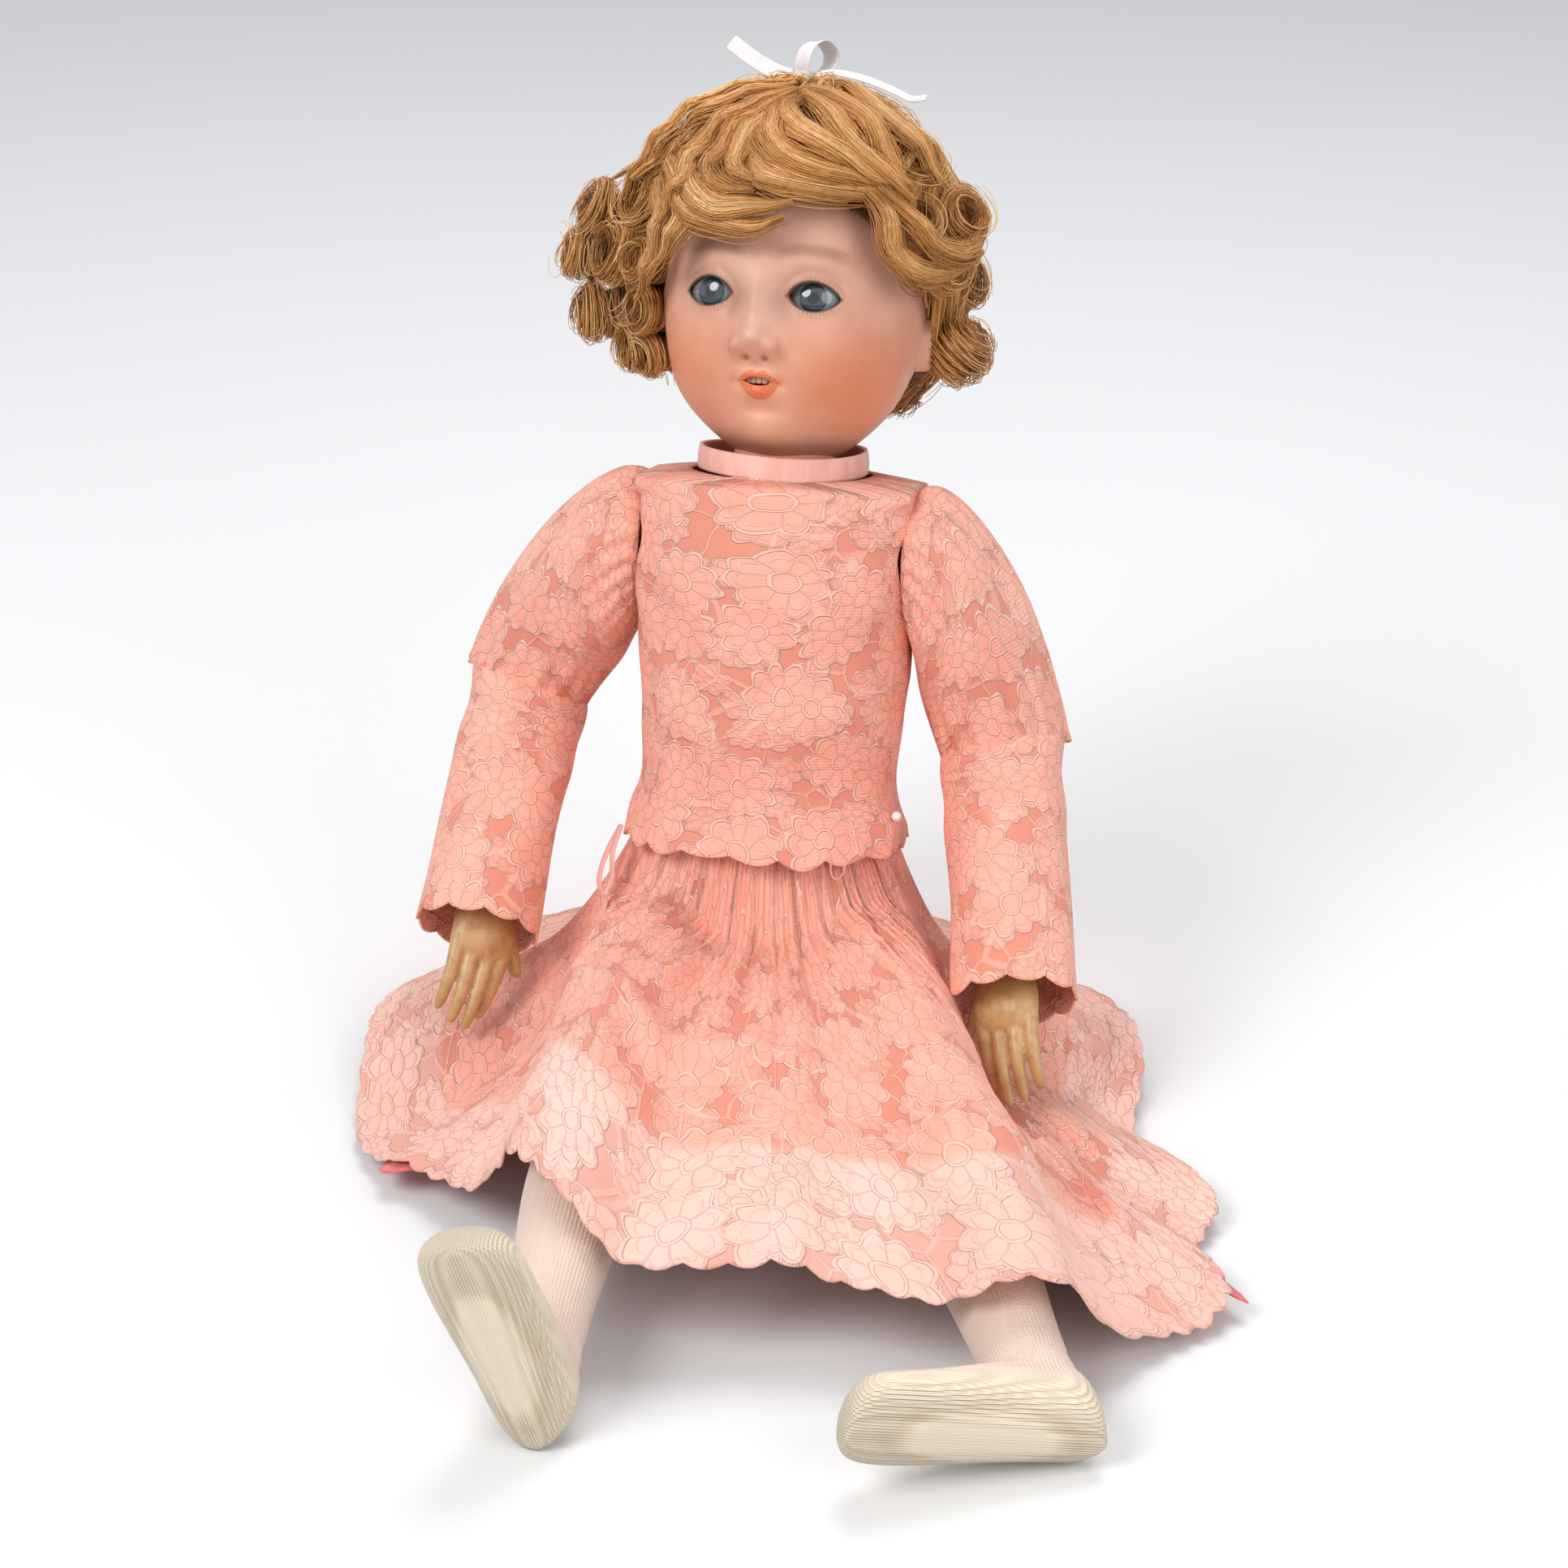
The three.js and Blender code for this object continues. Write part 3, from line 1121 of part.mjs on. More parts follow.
function drape(x, y) {
  const heights = [overWaist(x, y), ...legLines.map((line) => overLeg(line, x, y)), betweenLegs(x, y), 1];
  const sharp = 5;
  const most = Math.max(...heights);
  const needed = Math.max(...legLines.map((line) => {
    const near = nearestOn(line, x, y);
    const room = near.radius + clothRoom;
    return near.away < 0.94 * room ? near.at.z + Math.sqrt(room ** 2 - near.away ** 2) : 0;
  }));
  const free = most + sharp * Math.log(heights.reduce((sum, h) => sum + Math.exp((h - most) / sharp), 0)) * 0.5;
  return Math.max(Math.min(free, ...armLines.flat().map((line) => underArm(line, x, y))), needed);
}

// The skirt's edge on the floor, seen from above, from the front round by the doll's left
const hemPlan = [
  [45, -176], [82, -194], [122, -203], [156, -158], [172, -138], [160, -104], [163, -80], [134, -42],
  [130, 6], [112, 52], [66, 86], [0, 96], [-66, 84], [-110, 48], [-130, 2], [-124, -46],
  [-106, -102], [-80, -122], [-52, -146], [-28, -178], [2, -196],
];

const hemCurve = new THREE.CatmullRomCurve3(hemPlan.map(([x, y]) => V(x, y, 0)), true, 'centripetal');

const skirtColumns = 38;
const skirtRows = 6;
const skirtPhase = 0.4;

// A layer of the skirt: its depth under the outer face, its thickness and the rows it keeps
function skirtWall(outside, thickness, rows) {
  const surface = (u, t) => {
    const hem = hemCurve.getPoint(u);
    const angle = Math.atan2(hem.y - waistMiddle.y, hem.x - waistMiddle.x);
    const startX = waistMiddle.x + (waistHalfWidth + 5) * Math.cos(angle);
    const startY = waistMiddle.y + (waistHalfDepth + 6) * Math.sin(angle);
    const [x, y] = [lerp(startX, hem.x, t), lerp(startY, hem.y, t)];
    const fold = skirtFoldDepth * Math.cos(2 * Math.PI * skirtFolds * u) * smoothstep(t, 0.05, 0.5);
    return V(x, y, Math.max(drape(x, y) + 1.5 + fold * 0.5 * (1 + smoothstep(t, 0.5, 1)), 2.9));
  };
  const lowered = (u, t, depth) => {
    const small = 0.004;
    const at = surface(u, t);
    const du = surface((u + small) % 1, t).sub(surface((u + 1 - small) % 1, t));
    const dt = surface(u, Math.min(t + small, 1)).sub(surface(u, Math.max(t - small, 0)));
    const normal = du.cross(dt).normalize();
    if (normal.z < 0) normal.negate();
    const low = at.addScaledVector(normal, -depth);
    low.z = Math.max(low.z, 2.9 - depth);
    return low;
  };
  const wall = (depth) => steps(0, rows / skirtRows, rows).map((t) => Array.from(
    { length: skirtColumns },
    (_, i) => lowered((i + skirtPhase) / skirtColumns, t, depth),
  ));
  return clothWall(wall(outside), wall(outside + thickness));
}

function buildDress() {
  buildBodice();
  for (const arm of arms) {
    arm.shoulder.add(mesh(`upper_sleeve_${arm.name}`, upperSleeve(arm), finishes.lace));
    arm.elbow.add(mesh(`lower_sleeve_${arm.name}`, lowerSleeve(arm), finishes.lace));
  }
  doll.add(mesh('skirt_lace', skirtWall(0, clothThickness, skirtRows), finishes.lace));
  doll.add(mesh('skirt_lining', skirtWall(clothThickness + gap, 0.8, skirtRows - 1), finishes.lining));
}

buildTorso();
buildTorsoElastics();
buildNeck();
buildHead();
buildCrown();
buildHair();
buildRibbon();
buildEyes();
buildHeadInside();
arms.forEach(buildArm);
legs.forEach(buildLeg);
buildDress();

export default doll;
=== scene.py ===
"""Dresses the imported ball-jointed doll: bisque head, glass eyes, mohair wig, hands, stockings and lace dress.

Sizes in the classes are millimetres in the row frame; every mesh is written in metres, in place.
"""

import json  # noqa: E402
import logging  # noqa: E402
import math  # noqa: E402
import random  # noqa: E402
from collections.abc import Callable, Sequence  # noqa: E402
from dataclasses import dataclass, field  # noqa: E402
from enum import Enum  # noqa: E402

import bmesh  # noqa: E402
import bpy  # noqa: E402
import numpy as np  # noqa: E402
from mathutils import Matrix, Vector  # noqa: E402


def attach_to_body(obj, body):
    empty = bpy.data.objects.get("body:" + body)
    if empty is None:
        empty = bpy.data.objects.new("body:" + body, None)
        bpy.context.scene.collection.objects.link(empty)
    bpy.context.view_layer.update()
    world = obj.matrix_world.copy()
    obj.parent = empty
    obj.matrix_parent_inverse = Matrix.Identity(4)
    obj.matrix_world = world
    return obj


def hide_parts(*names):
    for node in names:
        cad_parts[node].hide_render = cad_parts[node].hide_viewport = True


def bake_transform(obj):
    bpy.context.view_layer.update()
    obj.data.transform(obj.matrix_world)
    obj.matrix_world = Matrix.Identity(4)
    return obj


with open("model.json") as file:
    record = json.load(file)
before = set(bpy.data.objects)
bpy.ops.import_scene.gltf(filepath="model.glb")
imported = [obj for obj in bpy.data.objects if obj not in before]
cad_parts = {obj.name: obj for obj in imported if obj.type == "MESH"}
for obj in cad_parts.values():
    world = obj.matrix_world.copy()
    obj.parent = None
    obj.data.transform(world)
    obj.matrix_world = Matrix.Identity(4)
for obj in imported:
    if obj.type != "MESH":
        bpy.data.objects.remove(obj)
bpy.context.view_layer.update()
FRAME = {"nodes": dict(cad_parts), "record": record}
LOG = logging.getLogger("doll")
MM = 0.001
IN_MILLIMETRES = (1000, 1000, 1000)
SEED = 5309

Array = np.ndarray
Form = bmesh.types.BMesh
Piece = bpy.types.Object
Material = bpy.types.Material
Place = Callable[[Array, Array], Array]
Colour = tuple[float, float, float, float]


# Colours and shader expressions


def tint(code: str) -> Colour:
    """The linear colour of a six-figure display code."""
    parts = [int(code[i : i + 2], 16) / 255 for i in (0, 2, 4)]
    linear = [p / 12.92 if p <= 0.04045 else ((p + 0.055) / 1.055) ** 2.4 for p in parts]
    return (linear[0], linear[1], linear[2], 1.0)


def operator(operation: str, swapped: bool = False) -> Callable[["Sock", object], "Sock"]:
    """A Math operation as a method of a socket and another value, the other first where swapped."""

    def apply(sock: "Sock", other: object) -> "Sock":
        first, second = (other, sock) if swapped else (sock, other)
        return sock.math(operation, first, second)

    return apply


class Sock:
    """A shader socket that takes part in Python expressions."""

    __add__, __radd__ = operator("ADD"), operator("ADD", True)
    __sub__, __rsub__ = operator("SUBTRACT"), operator("SUBTRACT", True)
    __mul__, __rmul__ = operator("MULTIPLY"), operator("MULTIPLY", True)
    __truediv__, __pow__, most = operator("DIVIDE"), operator("POWER"), operator("MAXIMUM")

    def __init__(self, paint: "Paint", socket: bpy.types.NodeSocket) -> None:
        """Keeps the socket and the paint that makes further nodes."""
        self.paint = paint
        self.socket = socket

    def math(self, operation: str, first: object, second: object = 0.0) -> "Sock":
        """One Math node's result."""
        return self.paint.node("ShaderNodeMath", {"operation": operation}, {0: first, 1: second})

    def __neg__(self) -> "Sock":
        """Opposite."""
        return self.math("MULTIPLY", self, -1.0)

    def abs(self) -> "Sock":
        """Size without sign."""
        return self.math("ABSOLUTE", self)

    def sin(self) -> "Sock":
        """Sine."""
        return self.math("SINE", self)

    def over(self, low: float, high: float) -> "Sock":
        """0 at low, 1 at high, smooth in between; low may be the larger."""
        up = low < high
        ends = (low, high, 0.0, 1.0) if up else (high, low, 1.0, 0.0)
        return self.paint.node(
            "ShaderNodeMapRange",
            {"interpolation_type": "SMOOTHSTEP"},
            {0: self, 1: ends[0], 2: ends[1], 3: ends[2], 4: ends[3]},
        )

    def bell(self, middle: object, width: float) -> "Sock":
        """1 at the middle, falling smoothly to 0 a few widths away."""
        away = (self - middle) / width
        return self.math("POWER", math.e, -(away * away))


class Paint:
    """Builds one material's nodes."""

    def __init__(self, name: str) -> None:
        """Starts a material with a bare surface shader."""
        self.material = bpy.data.materials.new(name)
        self.material.use_nodes = True
        self.nodes = self.material.node_tree.nodes
        self.links = self.material.node_tree.links
        self.shader = self.nodes["Principled BSDF"]

    def node(self, kind: str, settings: dict[str, object], inputs: dict[object, object], output: object = 0) -> Sock:
        """Adds a node.

        Args:
            kind: the node's type.
            settings: its properties, set first.
            inputs: its sockets' values or links, by name or number.
            output: the socket to give back.

        Returns:
            The output socket.
        """
        made = self.nodes.new(kind)
        for key, value in settings.items():
            setattr(made, key, value)
        for key, value in inputs.items():
            self.feed(made.inputs[key], value)
        return Sock(self, made.outputs[output])

    def feed(self, target: bpy.types.NodeSocket, value: object) -> None:
        """Links a socket to a target, or sets its value."""
        if isinstance(value, Sock):
            self.links.new(value.socket, target)
        else:
            target.default_value = value

    def mix(self, factor: object, first: object, second: object) -> Sock:
        """A colour between two others."""
        return self.node("ShaderNodeMix", {"data_type": "RGBA"}, {0: factor, 6: first, 7: second}, 2)

    def coats(self, base: object, *coats: tuple[object, str]) -> Sock:
        """A colour under further coats, each a share and a display code."""
        for share, code in coats:
            base = self.mix(share, base, tint(code))
        return base

    def place(self) -> Sock:
        """The piece's own position, in millimetres."""
        where = self.node("ShaderNodeTexCoord", {}, {}, "Object")
        return self.stretch(where, IN_MILLIMETRES)

    def within(self, matrix: Matrix) -> Sock:
        """The piece's position seen from a joint's frame at rest, in millimetres."""
        where = self.node("ShaderNodeTexCoord", {}, {}, "Object")
        at = matrix.to_translation() * MM
        moved = self.node(
            "ShaderNodeMapping",
            {"vector_type": "TEXTURE"},
            {"Vector": where, "Location": at, "Rotation": matrix.to_euler()},
        )
        return self.stretch(moved, IN_MILLIMETRES)

    def cloth(self) -> Sock:
        """The place on the flat cloth, in millimetres."""
        where = self.node("ShaderNodeUVMap", {"uv_map": "cloth"}, {})
        return self.stretch(where, IN_MILLIMETRES)

    def stretch(self, vector: Sock, by: Sequence[float]) -> Sock:
        """A vector times another."""
        return self.node("ShaderNodeVectorMath", {"operation": "MULTIPLY"}, {0: vector, 1: by})

    def part(self, vector: Sock, axis: int) -> Sock:
        """One coordinate of a vector."""
        return self.node("ShaderNodeSeparateXYZ", {}, {0: vector}, axis)

    def vector(self, x: object, y: object, z: object = 0.0) -> Sock:
        """A vector from its coordinates."""
        return self.node("ShaderNodeCombineXYZ", {}, {0: x, 1: y, 2: z})

    def noise(self, vector: Sock, scale: float, detail: float = 3.0, rough: float = 0.55) -> Sock:
        """Soft noise from 0 to 1; scale is in cells per millimetre."""
        return self.node(
            "ShaderNodeTexNoise", {}, {"Vector": vector, "Scale": scale, "Detail": detail, "Roughness": rough}
        )

    def cells(self, vector: Sock, scale: float, feature: str, jitter: float = 1.0) -> Sock:
        """Distance in a cell pattern, in cells."""
        return self.node(
            "ShaderNodeTexVoronoi",
            {"feature": feature},
            {"Vector": vector, "Scale": scale, "Randomness": jitter},
            "Distance",
        )

    def bump(self, height: Sock, depth: float) -> Sock:
        """A bumped normal; depth is the relief in millimetres for a height of 1."""
        return self.node("ShaderNodeBump", {}, {"Strength": 1.0, "Distance": depth * MM, "Height": height}, "Normal")

    def length(self, vector: Sock) -> Sock:
        """How long a vector is."""
        return self.node("ShaderNodeVectorMath", {"operation": "LENGTH"}, {0: vector}, 1)

    def bearing(self, rise: Sock, run: Sock) -> Sock:
        """The angle of a direction in a plane, in radians."""
        return self.node("ShaderNodeMath", {"operation": "ARCTAN2"}, {0: rise, 1: run})

    def finish(self, **sockets: object) -> Material:
        """Feeds the surface shader's sockets, spelled with underscores, and gives the material."""
        for key, value in sockets.items():
            self.feed(self.shader.inputs[key.replace("_", " ")], value)
        return self.material


class Grain(Enum):
    """The kinds of plain surface."""

    TURNED = "turned"
    MATTE = "matte"
    METAL = "metal"
    WOVEN = "woven"


@dataclass(frozen=True)
class PlainFinish:
    """A finish of one main colour with fine variation."""

    name: str
    light: str
    dark: str
    grain: Grain
    roughness: float = 0.6

    def material(self) -> Material:
        """Builds the material."""
        p = Paint(self.name)
        at = p.place()
        cloud = p.noise(at, 0.08, 4)
        fine = p.noise(at, 1.4, 3)
        relief = fine * 0.5 + cloud
        depth = 0.12
        if self.grain is Grain.TURNED:
            relief = p.noise(p.stretch(at, (0.25, 0.25, 2.2)), 0.9, 3) + fine * 0.3
        elif self.grain is Grain.WOVEN:
            relief = (p.part(at, 0) * 5.0).sin() * (p.part(at, 2) * 5.0).sin()
            depth = 0.25
        elif self.grain is Grain.METAL:
            depth = 0.04
        tone = (cloud * 0.7 + relief * 0.3).over(0.25, 0.75)
        base = p.mix(tone, tint(self.dark), tint(self.light))
        rough = cloud * 0.2 + (self.roughness - 0.1)
        return p.finish(
            Base_Color=base,
            Roughness=rough,
            Metallic=1.0 if self.grain is Grain.METAL else 0.0,
            Normal=p.bump(relief, depth),
        )


@dataclass(frozen=True)
class AgedSkin:
    """Painted composition, worn and darkened in random patches."""

    name: str
    light: str
    dark: str

    def material(self) -> Material:
        """Builds the material."""
        p = Paint(self.name)
        at = p.place()
        cloud = p.noise(at, 0.06, 4)
        spots = p.noise(at, 0.5, 4, 0.7).over(0.58, 0.75)
        grime = p.noise(at, 0.16, 5, 0.7).over(0.42, 0.72)
        worn = (cloud.over(0.35, 0.65), "c39a62")
        base = p.coats(tint(self.light), worn, (grime * 0.45, self.dark), (spots * 0.25, "8a6237"))
        crackle = p.cells(at, 0.22, "DISTANCE_TO_EDGE").over(0.0, 0.02)
        return p.finish(
            Base_Color=base,
            Roughness=cloud * 0.25 + 0.32,
            Normal=p.bump(crackle * 0.3 + cloud, 0.12),
            Coat_Weight=0.15,
        )


@dataclass(frozen=True)
class Satin:
    """Smooth satin with a soft sheen, its colour lighter on the crease ridges as painted sheen and darker in their
    hollows as painted shade.
    """

    name: str
    light: str
    dark: str

    def material(self) -> Material:
        """Builds the material."""
        p = Paint(self.name)
        at = p.cloth()
        weave = (p.part(at, 0) * 14.0).sin() * 0.5 + (p.part(at, 1) * 22.0).sin() * 0.5
        creases = p.noise(p.stretch(at, (0.5, 0.14, 1.0)), 0.3, 3)
        # painted light: the colour follows the creases, light on their ridges as painted sheen and dark in their
        # hollows as painted shade
        base = p.mix(creases.over(0.3, 0.7), tint(self.dark), tint(self.light))
        return p.finish(
            Base_Color=base,
            Roughness=creases * 0.15 + 0.38,
            Sheen_Weight=0.35,
            Normal=p.bump(weave * 0.05 + creases, 0.5),
        )


@dataclass(frozen=True)
class Lace:
    """Corded floral lace over a satin backing, with an optional pale band beyond a distance down the cloth."""

    name: str
    ground: str = "f79479"
    fill: str = "fcac93"
    cord: str = "ffc2ad"
    petal: float = 13.0
    band_from: float = 1e6

    def material(self) -> Material:
        """Builds the material."""
        p = Paint(self.name)
        at = p.cloth()
        x = p.part(at, 0) + (p.noise(at, 0.05, 2) - 0.5) * 7.0
        y = p.part(at, 1) + (p.noise(p.stretch(at, (1.0, 1.3, 1.0)), 0.06, 2) - 0.5) * 7.0
        bent = p.vector(x, y)
        large, large_fill = self.motif(p, bent, self.petal * 1.75, 9.0, 0.7)
        small, small_fill = self.motif(p, p.vector(x + 31.0, y * 1.1), self.petal, 7.0, 0.95)
        open_ground = 1.0 - large_fill
        vine = p.cells(bent, 1 / self.petal, "DISTANCE_TO_EDGE", 0.8).over(0.045, 0.015) * open_ground
        cords = large.most(small * open_ground).most(vine * 0.5)
        filled = large_fill.most(small_fill * 0.8)
        mesh_across, mesh_along = p.part(at, 0) * 4.6, p.part(at, 1) * 2.65
        net = (mesh_across + mesh_along).sin() * (mesh_across - mesh_along).sin()
        open_net = net.abs().over(0.15, 0.5) * (1.0 - filled) * (1.0 - cords)
        rows = (p.part(at, 1) * 6.0 + p.noise(at, 0.4, 2) * 2.0).sin() * filled
        clip = p.noise(at, 0.09, 3)
        band = p.part(at, 1).over(self.band_from - 2.5, self.band_from + 2.5)
        # painted shade: broad darker patches that stand for the shade in the cloth's folds
        fold = p.noise(at, 0.03, 2).over(0.35, 0.7)
        base = p.coats(
            tint(self.fill),
            (open_net * 0.6, self.ground),
            ((1.0 - filled) * 0.35, self.ground),
            (filled * clip.over(0.25, 0.65) * 0.6, self.cord),
            (cords * 0.8, "ffccb8"),
            (band * (filled * 0.3 + 0.5), "ffd2c3"),
            (fold * 0.16, "f5826a"),
        )
        relief = cords + filled * 0.4 + open_net * -0.3 + rows * 0.08 + p.noise(at, 0.9, 2) * 0.2
        return p.finish(
            Base_Color=base,
            Roughness=0.78 - cords * 0.18,
            Sheen_Weight=0.08,
            Normal=p.bump(relief, 0.6),
        )

    def motif(self, p: Paint, at: Sock, size: float, petals: float, jitter: float) -> tuple[Sock, Sock]:
        """Scattered flowers with rounded petals.

        Args:
            p: the paint.
            at: the place on the cloth, in millimetres.
            size: how far apart the flowers stand.
            petals: how many petals each has.
            jitter: how much they scatter.

        Returns:
            Their corded outlines and their filled shapes.
        """
        middle = p.node(
            "ShaderNodeTexVoronoi",
            {"voronoi_dimensions": "2D", "feature": "F1"},
            {"Vector": at, "Scale": 1 / size, "Randomness": jitter},
            "Position",
        )
        away = p.node("ShaderNodeVectorMath", {"operation": "SUBTRACT"}, {0: at, 1: middle})
        far = p.length(away) / size
        turned = p.bearing(p.part(away, 1), p.part(away, 0))
        wave = (turned * (petals / 2)).sin().abs()
        reach = far * (1.16 - wave * 0.24)
        outline = (reach - 0.46).abs().over(0.035, 0.012)
        second = (reach - 0.34).abs().over(0.022, 0.008) * wave.over(0.2, 0.5)
        heart = (far - 0.13).abs().over(0.026, 0.01)
        parting = wave.over(0.16, 0.05) * reach.over(0.15, 0.18) * reach.over(0.46, 0.42)
        filled = reach.over(0.47, 0.45)
        return outline.most(heart * 0.9).most(parting * 0.7).most(second * 0.5), filled


@dataclass(frozen=True)
class RibbedKnit:
    """Fine ribbed cotton knit, coarser under the sole and darker there from painted shade in its grooves, with a
    peach tint on the leg that is painted reflected light from the dress and painted shade under the skirt.
    """

    name: str
    frame: Matrix
    sole: float

    def material(self) -> Material:
        """Builds the material."""
        p = Paint(self.name)
        at = p.within(self.frame)
        x, y, z = (p.part(at, i) for i in range(3))
        under = z.over(self.sole + 17, self.sole + 9)
        ribs = (x * 6.6).sin()
        leg_ribs = (p.bearing(x, y + 2.0) * 62.0).sin()
        stitch = (z * 7.5 + ribs * 1.4).sin() * 0.35
        middle = p.length(p.vector(x / 9.5, (y + 22.0) / 25.0))
        patch = middle.over(1.15, 0.7) * z.over(self.sole + 6, self.sole + 2)
        relief = ribs * under * (1.0 - patch * 0.85) + leg_ribs * (1.0 - under) * 0.35 + stitch
        wear = p.noise(at, 0.1, 4)
        # the leg's peach tint is painted reflected light from the dress and painted shade under the skirt; the foot
        # keeps the knit's cream
        base = p.coats(tint("fbdfd0"), (under, "f8e9cf"), (patch * 0.35, "f1e4cc"))
        # painted shade: the rib grooves are darkened in the colour
        base = p.mix(relief.over(-0.9, 0.3) * 0.3 + 0.7, tint("dcc196"), base)
        rim = middle.over(0.8, 1.02) * middle.over(1.4, 1.1) * z.over(self.sole + 8, self.sole + 4)
        base = p.mix(rim * wear.over(0.35, 0.6) * 0.28, base, tint("dcbd84"))
        return p.finish(
            Base_Color=base, Roughness=0.9, Sheen_Weight=0.25, Normal=p.bump(relief + wear * 0.3, 0.3)
        )


@dataclass(frozen=True)
class Mohair:
    """Combed mohair: honey, gold and brown, by each strand's tone or in streaks along the body of the hair."""

    name: str
    light: str = "f6cf92"
    middle: str = "d2924a"
    dark: str = "7d4a20"
    streaks: bool = False

    def material(self) -> Material:
        """Builds the material."""
        p = Paint(self.name)
        at = p.place()
        fine = p.noise(at, 0.35, 3, 0.6)
        if self.streaks:
            fine = p.noise(p.stretch(p.cloth(), (3.2, 0.12, 1.0)), 0.8, 4, 0.6)
            tone = fine
        else:
            own = p.node("ShaderNodeAttribute", {"attribute_name": "tone"}, {}, "Fac")
            tone = own * 0.8 + fine * 0.25
        base = p.coats(tint(self.dark), (tone.over(0.15, 0.5), self.middle), (tone.over(0.5, 0.85), self.light))
        return p.finish(Base_Color=base, Roughness=0.4, Normal=p.bump(fine, 0.5 if self.streaks else 0.05))


@dataclass(frozen=True)
class EyeGlass:
    """Blown glass eye: grey-blue iris with fine threads, dark rim and pupil, and a white darkened to grey as painted
    shade from the lids, under a clear polish.
    """

    name: str = "eye_glass"
    iris: float = 0.45
    pupil: float = 0.18

    def material(self) -> Material:
        """Builds the material."""
        p = Paint(self.name)
        where = p.node("ShaderNodeUVMap", {"uv_map": "gaze"}, {})
        around = p.part(where, 0) * math.tau
        away = p.part(where, 1) * math.pi
        threads = p.noise(p.vector(around * 14.0, away * 5.0), 1.0, 3)
        # painted shade: the white is dark grey, as if in the shade of the lids
        white = p.mix(p.noise(p.place(), 0.3, 2), tint("5d6367"), tint("8b9093"))
        ring = p.mix(threads.over(0.35, 0.65), tint("1a262f"), tint("3b4e5e"))
        ring = p.mix(away.over(self.iris - 0.11, self.iris - 0.01), ring, tint("1b262e"))
        base = p.mix(away.over(self.iris + 0.02, self.iris - 0.02), white, ring)
        base = p.mix(away.over(self.pupil + 0.02, self.pupil - 0.02), base, tint("060708"))
        return p.finish(Base_Color=base, Roughness=0.12, Coat_Weight=1.0, Coat_Roughness=0.02, IOR=1.5)


